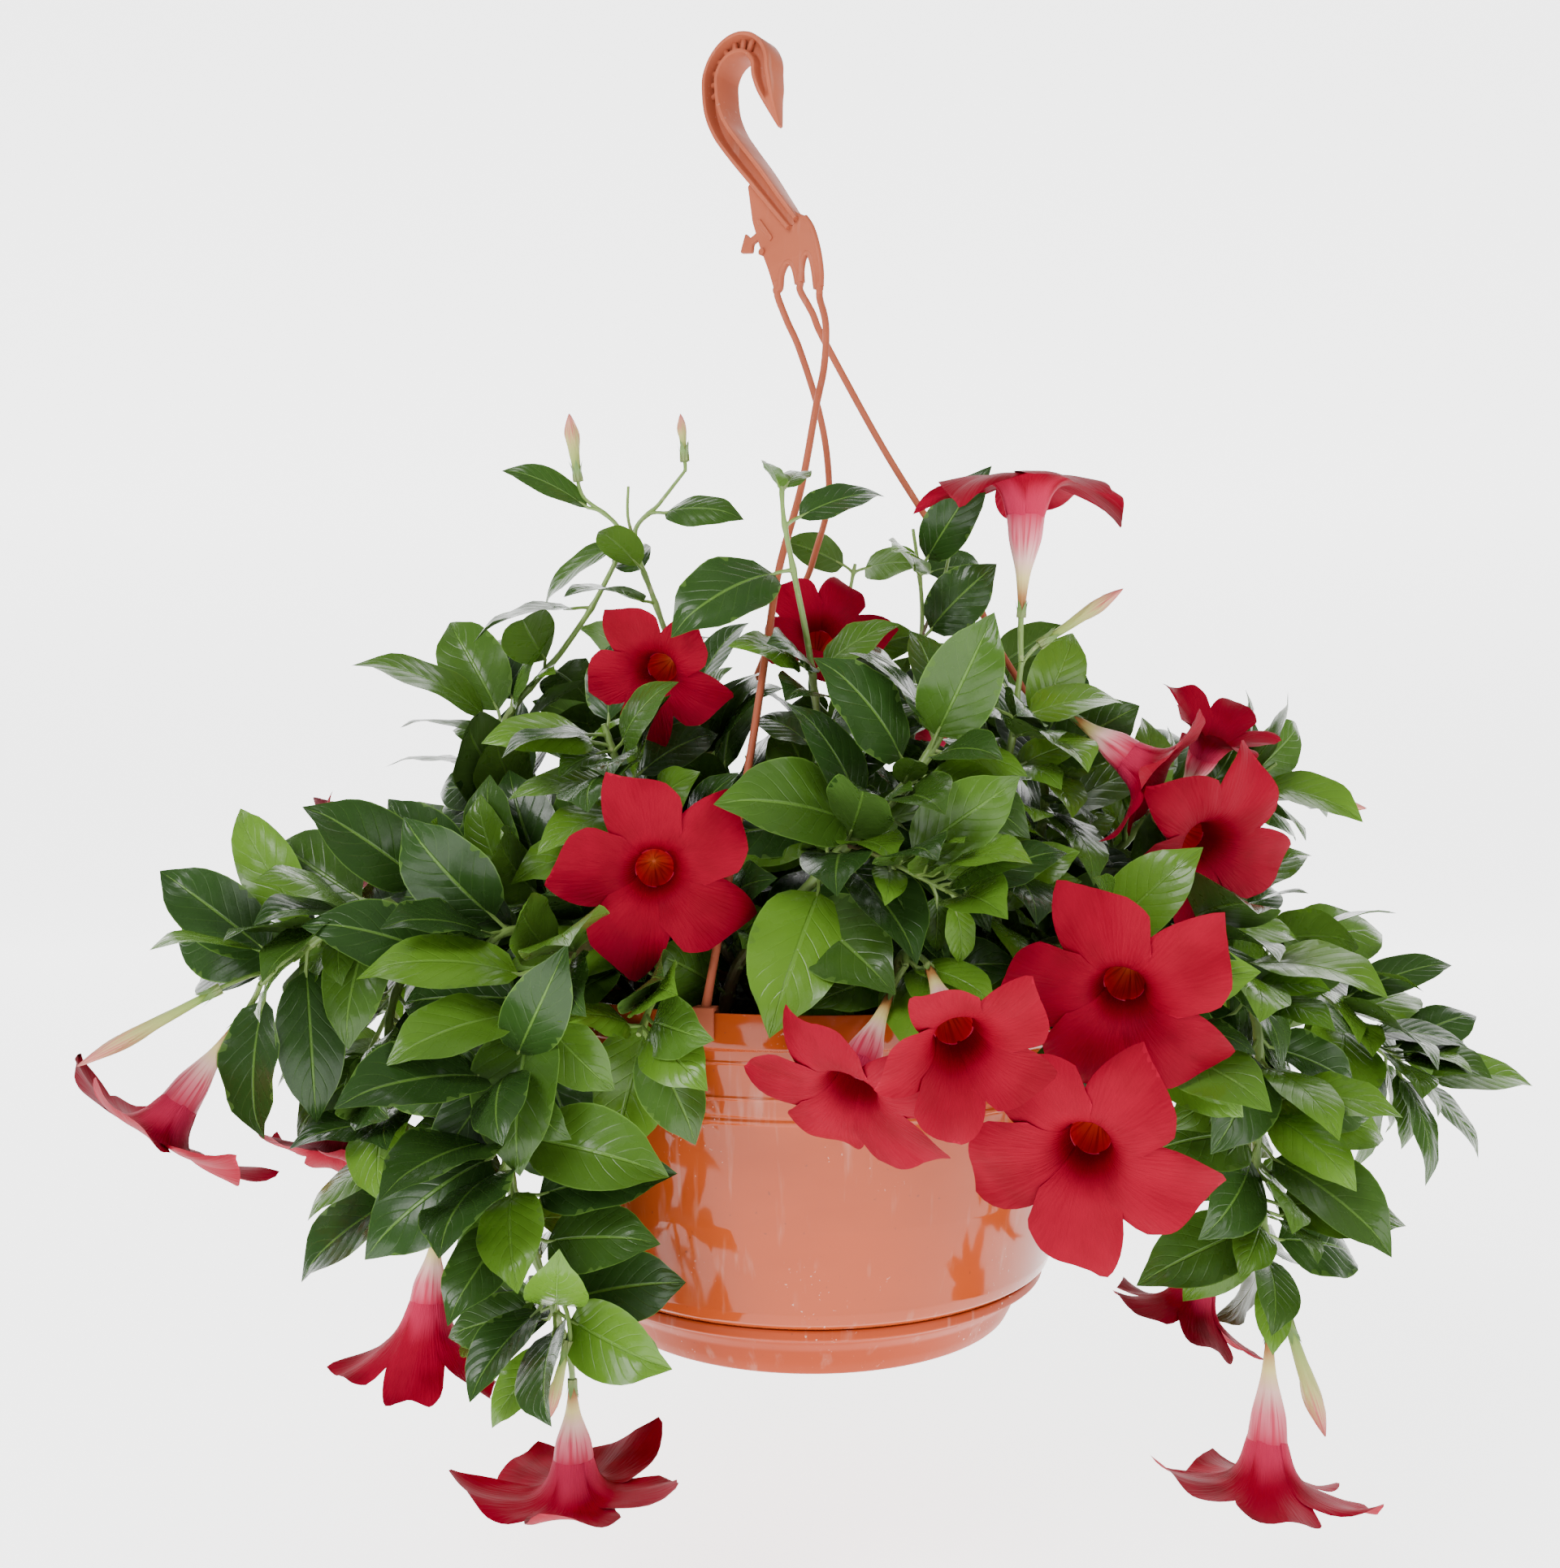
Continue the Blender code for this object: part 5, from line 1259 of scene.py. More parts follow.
def spoke(first: Array, second: Array, turn: Array) -> Array:
    """Unit vectors at an angle between two square directions: first cos a + second sin a."""
    return first * np.cos(turn) + second * np.sin(turn)


def turned_grid(profile: Array, columns: int) -> Array:
    """A profile of radius and height carried round the pot's axis: (r cos a, r sin a, z).

    Args:
        profile: radius and height, a row each.
        columns: how many round.

    Returns:
        A grid of points, profile by column.
    """
    turn = full_turn(columns)
    radius, z = profile[:, :1], profile[:, 1:]
    return np.stack([radius * np.cos(turn), radius * np.sin(turn),
                     np.broadcast_to(z, (len(profile), columns + 1))], -1)


def swept_grid(path: Array, radii: Array, sides: int) -> Array:
    """A round section carried along a path, square to it, its ends drawn in to poles.

    The section's first direction is the normal of the path's own flattest plane, made
    square to the path at each point, so it hardly twists.

    Args:
        path: points (n, 3).
        radii: radius at each point.
        sides: points round the section.

    Returns:
        A grid (rows, sides + 1, 3).
    """
    ahead = unit(np.gradient(path, axis=0))
    flat = np.linalg.svd(path - path.mean(0), full_matrices=False)[2][-1]
    first = unit(flat - ahead * (ahead @ flat)[:, None])
    second = np.cross(ahead, first)
    ring = spoke(first[:, None], second[:, None], full_turn(sides)[None, :, None])
    grid = path[:, None] + ring * radii[:, None, None]
    start, end = (np.broadcast_to(path[k], (1, sides + 1, 3)) for k in (0, -1))
    return np.concatenate([start, grid, end])


def hash_noise(points: Array, scale: float, seed: int) -> Array:
    """Smooth value noise between 0 and 1: random values on a lattice, blended between.

    Args:
        points: places (..., 2).
        scale: lattice cells per unit of the places.
        seed: which lattice.

    Returns:
        One value for each place.
    """
    p = points * scale
    cell = np.floor(p).astype(np.int64)
    part = p - cell
    part = part * part * (3 - 2 * part)
    first, second, third, last = HASH_KEYS
    total = 0.0
    for dx in (0, 1):
        for dy in (0, 1):
            key = (cell[..., 0] + dx) * first + (cell[..., 1] + dy) * second + seed * third
            key = (key ^ (key >> 13)) * last
            value = ((key ^ (key >> 16)) & 0xFFFF) / 65535.0
            total = total + (value * (part[..., 0] if dx else 1 - part[..., 0])
                             * (part[..., 1] if dy else 1 - part[..., 1]))
    return total


class Value:
    """An output in a material, which takes arithmetic: each step adds a node."""

    def __init__(self, graph: "Graph", socket: bpy.types.NodeSocket) -> None:
        """Hold an output of a graph."""
        self.graph, self.socket = graph, socket

    def step(self, operation: str, other: object = 0.0) -> "Value":
        """Result of an arithmetic step with a number or another value."""
        return self.graph.put("Math", {0: self, 1: other}, operation=operation)

    def __mul__(self, other: object) -> "Value":
        """Product."""
        return self.step("MULTIPLY", other)

    def __add__(self, other: object) -> "Value":
        """Sum."""
        return self.step("ADD", other)

    def __sub__(self, other: object) -> "Value":
        """Difference."""
        return self.step("SUBTRACT", other)

    def __abs__(self) -> "Value":
        """Size without its sign."""
        return self.step("ABSOLUTE")


class Graph:
    """A material under construction: adds shader nodes and links them."""

    def __init__(self, name: str, roughness: float, **constants: float) -> None:
        """Start a Principled BSDF material.

        Args:
            name: the material's name.
            roughness: its roughness.
            constants: other shader sockets by name, with _ for a space.
        """
        self.material = bpy.data.materials.new(name)
        self.material.use_nodes = True
        self.tree = self.material.node_tree
        self.shader = self.tree.nodes["Principled BSDF"]
        self.shader.inputs["Roughness"].default_value = roughness
        for key, value in constants.items():
            self.shader.inputs[key.replace("_", " ")].default_value = value

    def put(self, kind: str, inputs: dict | None = None, output: int | str = 0,
            **settings: object) -> Value:
        """Add a node with its settings and inputs.

        Args:
            kind: type of the node.
            inputs: a constant or a value for each input.
            output: which of its outputs is wanted.
            settings: other properties of the node.

        Returns:
            That output.
        """
        node = self.tree.nodes.new("ShaderNode" + kind)
        for key, value in settings.items():
            setattr(node, key, value)
        for key, value in (inputs or {}).items():
            if isinstance(value, Value):
                self.tree.links.new(value.socket, node.inputs[key])
            else:
                node.inputs[key].default_value = value
        return Value(self, node.outputs[output])

    def ramp(self, value: Value, low: float, high: float) -> Value:
        """A value mapped smoothly from low..high to 0..1, or falling where high is lower."""
        return self.put("MapRange", {"Value": value, "From Min": low, "From Max": high},
                        "Result", interpolation_type="SMOOTHSTEP")

    def blend(self, share: Value | float, first: Value | Colour,
              second: Value | Colour) -> Value:
        """Mix of two colours: the first where the share is 0, the second where it is 1.

        Args:
            share: how much of the second.
            first: a colour.
            second: another.

        Returns:
            The mixed colour.
        """
        first, second = (colour if isinstance(colour, Value) else (*colour, 1.0)
                         for colour in (first, second))
        return self.put("Mix", {0: share, 6: first, 7: second}, 2, data_type="RGBA")

    def colours(self, value: Value, stops: Sequence[tuple[float, Colour]]) -> Value:
        """A colour ramp through stops of place and colour.

        Args:
            value: place on the ramp.
            stops: place and colour of each stop.

        Returns:
            The colour there.
        """
        ramp = self.put("ValToRGB", {"Fac": value}, "Color")
        elements = ramp.socket.node.color_ramp.elements
        while len(elements) < len(stops):
            elements.new(0.5)
        for element, (place, colour) in zip(elements, stops):
            element.position = place
            element.color = (*colour, 1.0)
        return ramp

    def places(self, scale: Sequence[float] = (1, 1, 1)) -> Value:
        """Object coordinates in metres, stretched by a factor along each axis."""
        source = self.put("TexCoord", output="Object")
        return self.put("Mapping", {"Vector": source, "Scale": scale})

    def pattern(self) -> tuple[Value, Value]:
        """The piece's own pattern coordinates, u and v."""
        split = self.put("SeparateXYZ", {0: self.put("UVMap", uv_map="pattern")})
        return split, Value(self, split.socket.node.outputs[1])

    def tint(self) -> Value:
        """The piece's own tint value."""
        return self.put("Attribute", output="Fac", attribute_name="tint")

    def noise(self, vector: Value, scale: float, detail: float = 3.0) -> Value:
        """Noise value at a place."""
        return self.put("TexNoise", {"Vector": vector, "Scale": scale, "Detail": detail}, "Fac")

    def lined(self, u: Value, v: Value, along: float, across: float,
              detail: float = 2.0) -> Value:
        """Noise drawn out into lines: its place is (along * u, across * v, 0)."""
        return self.noise(self.put("CombineXYZ", {0: u * along, 1: v * across}), 1.0, detail)

    def close(self, colour: Value, height: Value, depth: float,
              rough: Value | None = None) -> Material:
        """Link colour, bump and roughness to the shader.

        Args:
            colour: the base colour.
            height: the bump's height.
            depth: depth of the bump in metres.
            rough: the roughness, if it varies.

        Returns:
            The finished material.
        """
        bump = self.put("Bump", {"Height": height, "Distance": depth, "Strength": 1.0})
        for key, value in (("Base Color", colour), ("Normal", bump), ("Roughness", rough)):
            if value is not None:
                self.tree.links.new(value.socket, self.shader.inputs[key])
        return self.material


class Side(Enum):
    """Which face of a leaf or petal a finish is for."""

    UPPER = "upper"
    UNDER = "under"


@dataclass(frozen=True)
class LeafFinish:
    """Leathery leaf: dark to bright green by its tint, pale midrib, arched side veins."""

    side: Side
    dark: Colour = (0.019, 0.050, 0.009)
    bright: Colour = (0.095, 0.205, 0.018)
    vein: Colour = (0.13, 0.26, 0.04)
    pale: Colour = (0.075, 0.15, 0.025)
    pairs: float = 8.0
    sweep: float = 2.4

    def make(self) -> Material:
        """Side veins lie where pairs * u - sweep * |v| is whole; the midrib where v is 0.

        Returns:
            The material.
        """
        under = self.side is Side.UNDER
        graph = Graph("leaf_" + self.side.value, 0.5, IOR=1.25 if under else 1.33)
        u, v = graph.pattern()
        across = abs(v * 2.0 - 1.0)
        wobble = graph.noise(graph.places(), 60.0, 1.0)
        turn = u * self.pairs - across * self.sweep + wobble * 0.5
        saw = abs(turn.step("FRACT") - 0.5)
        veins = graph.ramp(saw, 0.42, 0.5) * graph.ramp(across, 1.0, 0.5)
        midrib = graph.ramp(across, 0.06, 0.02)
        patch = graph.noise(graph.places(), 35.0, 4.0)
        tone = graph.tint() + patch * 0.25
        colour = graph.blend(graph.ramp(tone, 0.12, 1.1), self.dark, self.bright)
        if under:
            colour = graph.blend(0.6, colour, self.pale)
        for share in (veins * 0.07, midrib * 0.55, graph.ramp(across, 0.955, 1.0) * 0.6):
            colour = graph.blend(share, colour, self.vein)
        lines = midrib + veins * 0.25
        height = lines * (1.0 if under else -1.0) + saw * -0.5
        height = height + graph.noise(graph.places(), 900.0, 2.0) * 0.12
        rough = graph.ramp(graph.noise(graph.places(), 120.0), -0.6 if under else -0.35, 2.3)
        return graph.close(colour, height, 0.00032, rough)


@dataclass(frozen=True)
class PetalFinish:
    """Velvety petal: scarlet, darker to the throat, with fine lines along it."""

    side: Side
    body: Colour = (0.215, 0.0, 0.012)
    deep: Colour = (0.14, 0.0, 0.006)
    light: Colour = (0.34, 0.0, 0.018)
    reverse: Colour = (0.30, 0.0, 0.02)
    foot: Colour = (0.48, 0.02, 0.07)

    def make(self) -> Material:
        """Lines are noise stretched along the petal; some petals are lighter by their tint.

        Returns:
            The material.
        """
        under = self.side is Side.UNDER
        graph = Graph("petal_" + self.side.value, 0.6, IOR=1.15)
        u, v = graph.pattern()
        lines = graph.lined(u, v, 3.0, 26.0, 3.0)
        soft = graph.noise(graph.places(), 45.0, 2.0)
        body, foot = (self.reverse, self.foot) if under else (self.body, self.deep)
        colour = graph.blend(graph.ramp(soft, 0.35, 0.8), body, self.deep)
        colour = graph.blend(graph.ramp(lines, 0.55, 0.75) * 0.35, colour, self.deep)
        colour = graph.blend(graph.ramp(u, 0.42, 0.12), colour, foot)
        colour = graph.blend(graph.tint() * 0.22, colour, self.light)
        return graph.close(colour, lines, 0.0005)


@dataclass(frozen=True)
class TubeFinish:
    """Funnel tube, striped: green-brown foot, pale yellow, then pink and white to red."""

    name: str = "bloom_tube"
    stops: tuple = ((0.0, (0.20, 0.06, 0.02)), (0.14, (0.38, 0.17, 0.05)),
                    (0.28, (0.70, 0.58, 0.22)), (0.42, (0.80, 0.48, 0.42)),
                    (0.58, (0.70, 0.17, 0.22)), (0.76, (0.48, 0.02, 0.07)))
    stripe: Colour = (0.48, 0.002, 0.04)
    start: float = 0.34

    def make(self) -> Material:
        """Stripes are noise stretched along the tube, from the start share up.

        Returns:
            The material.
        """
        graph = Graph(self.name, 0.45, Specular_IOR_Level=0.3)
        u, v = graph.pattern()
        lines = graph.lined(u, v, 1.5, 22.0)
        share = graph.ramp(lines, 0.46, 0.62) * graph.ramp(u, self.start, self.start + 0.25)
        colour = graph.blend(share * 0.8, graph.colours(u, self.stops), self.stripe)
        return graph.close(colour, lines, 0.0004)


@dataclass(frozen=True)
class StemFinish:
    """Stem: woody brown at the foot, then light green, with fine length lines."""

    name: str = "stem_green"
    foot: Colour = (0.10, 0.055, 0.025)
    green: Colour = (0.16, 0.26, 0.055)
    fleck: Colour = (0.30, 0.36, 0.14)

    def make(self) -> Material:
        """Foot colour fades to green along u, mixed by noise.

        Returns:
            The material.
        """
        graph = Graph(self.name, 0.42)
        u, v = graph.pattern()
        grain = graph.noise(graph.places(), 260.0, 4.0)
        colour = graph.blend(graph.ramp(u + grain * 0.3, 0.2, 0.75), self.foot, self.green)
        colour = graph.blend(graph.ramp(grain, 0.6, 0.75), colour, self.fleck)
        return graph.close(colour, graph.lined(u, v, 20.0, 9.0), 0.0003)


@dataclass(frozen=True)
class PlasticFinish:
    """Moulded terracotta plastic: even colour, faint swirl, dust and soil specks, scuffs; painted
    shade over the rim band when band is set.
    """

    name: str
    colour: Colour
    dark: Colour
    roughness: float
    dust: float = 0.6
    # band: whether the top of the pot, over the rim band, gets painted shade
    band: bool = False
    ior: float = 1.38
    pale: Colour = (0.75, 0.62, 0.52)
    earth: Colour = (0.05, 0.03, 0.02)

    def make(self) -> Material:
        """Specks are cells of a fine noise above a threshold, thicker where a broad one is.

        Returns:
            The material.
        """
        graph = Graph(self.name, self.roughness, IOR=self.ior)
        place = graph.places()
        swirl = graph.noise(graph.places((1, 1, 2.5)), 14.0, 3.0)
        colour = graph.blend(graph.ramp(swirl, 0.35, 0.75) * 0.45, self.colour, self.dark)
        # Painted shade: the top of the pot, over the rim band, is blended towards the dark colour.
        if self.band:
            top = graph.ramp(graph.put("SeparateXYZ", {0: place}, 2), -0.478, -0.462)
            colour = graph.blend(top * 0.55, colour, self.dark)
        patches = graph.ramp(graph.noise(place, 22.0, 2.0), 0.5, 0.68)
        flecks = graph.ramp(graph.noise(place, 620.0, 1.0), 0.7, 0.76)
        streaks = graph.noise(graph.places((1, 1, 0.12)), 160.0, 3.0)
        haze = graph.ramp(streaks, 0.6, 0.8) * 0.12
        specks = patches * flecks * self.dust
        colour = graph.blend(specks.step("MAXIMUM", haze), colour, self.pale)
        soil = graph.ramp(graph.noise(place, 410.0, 1.0), 0.76, 0.8) * 0.7
        colour = graph.blend(soil * self.dust, colour, self.earth)
        rough = graph.ramp(swirl + specks * 2.0, 0.5 - 2.5 * self.roughness,
                           0.5 + 2.5 * (1 - self.roughness))
        height = graph.noise(place, 90.0, 3.0) * 0.35 + specks
        return graph.close(colour, height, 0.00012, rough)


@dataclass(frozen=True)
class SoilFinish:
    """Dark potting soil with paler fibre and grit."""

    name: str = "potting_soil"
    dark: Colour = (0.012, 0.008, 0.005)
    brown: Colour = (0.06, 0.036, 0.02)
    straw: Colour = (0.16, 0.10, 0.05)

    def make(self) -> Material:
        """Two sizes of noise give crumbs and fibre.

        Returns:
            The material.
        """
        graph = Graph(self.name, 0.92, Specular_IOR_Level=0.2)
        crumb = graph.noise(graph.places(), 190.0, 6.0)
        fibre = graph.noise(graph.places((1, 6, 1)), 260.0, 2.0)
        colour = graph.blend(graph.ramp(crumb, 0.35, 0.7), self.dark, self.brown)
        colour = graph.blend(graph.ramp(fibre, 0.66, 0.74), colour, self.straw)
        return graph.close(colour, crumb, 0.002)


@dataclass(frozen=True)
class StageFinish:
    """Plain pale floor and backdrop."""

    name: str = "stage_white"
    low: Colour = (0.93, 0.93, 0.93)
    high: Colour = (0.96, 0.96, 0.96)
    glow: float = 2.7

    def make(self) -> Material:
        """Even white with a slight grain.

        Returns:
            The material.
        """
        graph = Graph(self.name, 0.9, Specular_IOR_Level=0.1)
        grain = graph.noise(graph.places(), 40.0, 2.0)
        graph.shader.inputs["Emission Color"].default_value = (1, 1, 1, 1)
        graph.shader.inputs["Emission Strength"].default_value = self.glow
        return graph.close(graph.blend(grain, self.low, self.high), grain, 0.0001)


class LeafSlot(IntEnum):
    """Finishes of a leafy stem, by number."""

    UPPER = 0
    UNDER = 1
    STEM = 2


class BloomSlot(IntEnum):
    """Finishes of a bloom, by number."""

    FRONT = 0
    BACK = 1
    TUBE = 2
    THROAT = 3
    CALYX = 4


def values_of(leaves: list[PlacedLeaf], *keys: str) -> Iterator[Array]:
    """For each field named, an array of its values over the leaves."""
    return (np.array([getattr(leaf, key) for leaf in leaves]) for key in keys)


@dataclass
class Foliage:
    """Leafy stems: shoots, stalks and blades of the plan, one piece for each stem."""

    place: Placement
    plan: PlantPlan
    rows: int = 14
    columns: int = 9
    thickness: float = 0.55
    stalk_sides: int = 6
    shoot_sides: int = 9
    shoot_pitch: float = 3.0
    rng: np.random.Generator = field(default_factory=lambda: np.random.default_rng(5))

    def finishes(self) -> list[Material]:
        """Upper leaf, under leaf and stem."""
        return [LeafFinish(Side.UPPER).make(), LeafFinish(Side.UNDER).make(),
                StemFinish().make()]

    def blades(self, skin: Skin, leaves: list[PlacedLeaf]) -> None:
        """Add the blades: bent along, folded, waved and twisted across.

        The midrib is an arc of constant bend. Across it the blade rises by its fold times
        |w|^1.3 and by a wave times w^2, twists by up to a fifth of a turn, sinks in a narrow
        groove at the midrib, and droops at the tip; its two faces meet at the edge.

        Args:
            skin: the piece to add to.
            leaves: the leaves of one stem.
        """
        rng, count = self.rng, len(leaves)
        base, along, up = values_of(leaves, "base", "along", "up")
        length, width = (row[:, None] for row in values_of(leaves, "length", "width"))
        fine = next(values_of(leaves, "fine"))[:, None, None]
        side = np.cross(along, up)
        t = np.linspace(0, 1, self.rows)
        w = np.linspace(-1, 1, self.columns)
        turn = SPRING_ANGLE * t[None, :, None]
        reach = (length / SPRING_ANGLE)[..., None]
        centre = (base[:, None] + along[:, None] * (reach * np.sin(turn))
                  - up[:, None] * (reach * (1 - np.cos(turn))))
        normal = up[:, None] * np.cos(turn) + along[:, None] * np.sin(turn)
        twist = np.where(fine[:, :, 0], 0.12, 0.4) * rng.uniform(-1, 1, (count, 1)) * t[None]
        flat = (side[:, None] * np.cos(twist)[..., None] + normal * np.sin(twist)[..., None])
        rise = normal * np.cos(twist)[..., None] - side[:, None] * np.sin(twist)[..., None]
        half = (width * half_width(t)[None])[..., None]
        fold = np.where(fine, FOLD, rng.uniform(0.0, 0.22, (count, 1, 1)))
        wave = rng.uniform(0.03, 0.1, (count, 1, 1))
        phase = rng.uniform(0, 6.28, (count, 1, 1))
        rate = rng.uniform(1.4, 2.8, (count, 1, 1))
        ripple = np.sin(2 * np.pi * rate * t[None, :, None] + phase + 1.7 * (w > 0))
        bowl = rng.uniform(-0.05, 0.12, (count, 1, 1)) * np.cos(np.pi * w)
        lift = half * (fold * np.abs(w) ** 1.3 + wave * w ** 2 * ripple + bowl)
        groove = 0.4 * np.exp(-((half * w) / 1.1) ** 2)
        droop = 0.045 * length[..., None] * smooth(t, 0.7, 1.0)[None, :, None] ** 2
        grid = (centre[:, :, None] + flat[:, :, None] * (half * w)[..., None]
                + rise[:, :, None] * (lift - groove - droop)[..., None])
        thick = self.thickness * (1 - w ** 2)[None] * np.sin(np.pi * t)[:, None] ** 0.4
        under, upper = shell_of(grid, thick)
        young = np.clip((46 - length[:, 0]) / 40, 0, 0.55)
        # Painted light: leaves towards the right (base x 110 to 200 mm) get a brighter tint at
        # random, as if sunlit.
        painted_sunlit = 0.35 * smooth(base[:, 0], 110, 200) * rng.uniform(0, 1, count)
        tint = np.clip(rng.uniform(0, 1, count) ** 2.4 + 0.7 * young + painted_sunlit, 0, 1)
        skin.add(upper, tint=tint, slot=LeafSlot.UPPER, flip=True)
        skin.add(under, tint=tint, slot=LeafSlot.UNDER)

    def stalks(self, skin: Skin, leaves: list[PlacedLeaf], wood: Array) -> None:
        """Add leaf stalks: round sections carried along short arcs into the blades' bases.

        Args:
            skin: the piece to add to.
            leaves: the leaves of one stem.
            wood: points along the stem's own axis, where the stalks start.
        """
        base, along, up, root = values_of(leaves, "base", "along", "up", "root")
        gaps = np.linalg.norm(root[:, None] - wood[None], axis=-1)
        root = wood[gaps.argmin(1)]
        knee = (root + base) / 2 + up * 0.8
        s = np.array([0, 0.02, 0.25, 0.5, 0.75, 1.0])[None, :, None]
        path = (root[:, None] * (1 - s) ** 2 + knee[:, None] * 2 * s * (1 - s)
                + base[:, None] * s ** 2)
        path = np.concatenate([path, (base + along * 5 - up * 0.5)[:, None],
                               (base + along * 5.2 - up * 0.5)[:, None]], 1)
        radius = np.array([0, 1.25, 0.95, 0.8, 0.8, 0.85, 0.5, 0])[None, :, None, None]
        ahead = unit(np.gradient(path, axis=1))
        side = np.cross(along, up)[:, None]
        first = unit(side - ahead * (side * ahead).sum(-1, keepdims=True))
        second = np.cross(ahead, first)
        turn = full_turn(self.stalk_sides)[None, None, :, None]
        ring = spoke(first[:, :, None], second[:, :, None], turn)
        uv = np.full((path.shape[1], self.stalk_sides + 1, 2), 0.9)
        skin.add(path[:, :, None] + ring * radius, uv=uv, slot=LeafSlot.STEM, flip=True)

    def wood(self, skin: Skin, name: str) -> Array:
        """Add the shoots and the stalks of blooms and buds, swollen where leaves join.

        Args:
            skin: the piece to add to.
            name: the stem.

        Returns:
            Points along the axes of the shoots.
        """
        roots = np.array([leaf.root for leaf in self.plan.leaves[name]])
        axes = []
        for number, shoot in enumerate(STEMS[name]):
            span = sum((Vector(b) - Vector(a)).length for a, b in zip(shoot.route, shoot.route[1:]))
            path = fluent(shoot.route, int(span / self.shoot_pitch))
            share = np.linspace(0, 1, len(path))
            radius = shoot.thick[0] + (shoot.thick[1] - shoot.thick[0]) * share
            if number == 0:
                plug = np.array([[*path[0, :2], PLUG_BOTTOM + 12], path[0] - (0, 0, 5)])
                path = np.concatenate([plug, path])
                radius = np.concatenate([radius[:1], radius[:1], radius])
                share = np.concatenate([[0, 0], share])
            near = np.linalg.norm(path[:, None] - roots[None], axis=-1)
            swell = np.exp(-(near / 2.6) ** 2).max(1)
            radius = radius * (0.88 + 0.3 * swell)
            self.rod(skin, path, radius, share)
            axes.append(path)
        for stalk, thick in self.plan.stalks[name]:
            path = fluent(stalk, 4 * len(stalk))
            self.rod(skin, path, np.full(len(path), 0.85 * thick), np.full(len(path), 0.9))
        return np.concatenate(axes)

    def rod(self, skin: Skin, path: Array, radius: Array, share: Array) -> None:
        """Add one round tube with u from its share along the shoot.

        Args:
            skin: the piece to add to.
            path: places along the axis.
            radius: its radius there.
            share: how far each lies along the shoot.
        """
        grid = swept_grid(path, radius, self.shoot_sides)
        u = np.concatenate([share[:1], share, share[-1:]])
        v = np.linspace(0, 1, self.shoot_sides + 1)
        uv = np.stack(np.meshgrid(u, v, indexing="ij"), -1)
        skin.add(grid, uv=uv, slot=LeafSlot.STEM, flip=True)

    def build(self) -> Iterator[tuple[str, Piece]]:
        """Make the piece of each stem in turn.

        Returns:
            The node and the piece of each stem.
        """
        finishes = self.finishes()
        for name, leaves in self.plan.leaves.items():
            skin = Skin(name + "_leafy")
            axis = self.wood(skin, name)
            self.stalks(skin, leaves, axis)
            self.blades(skin, leaves)
            yield name, skin.build(self.place, finishes)


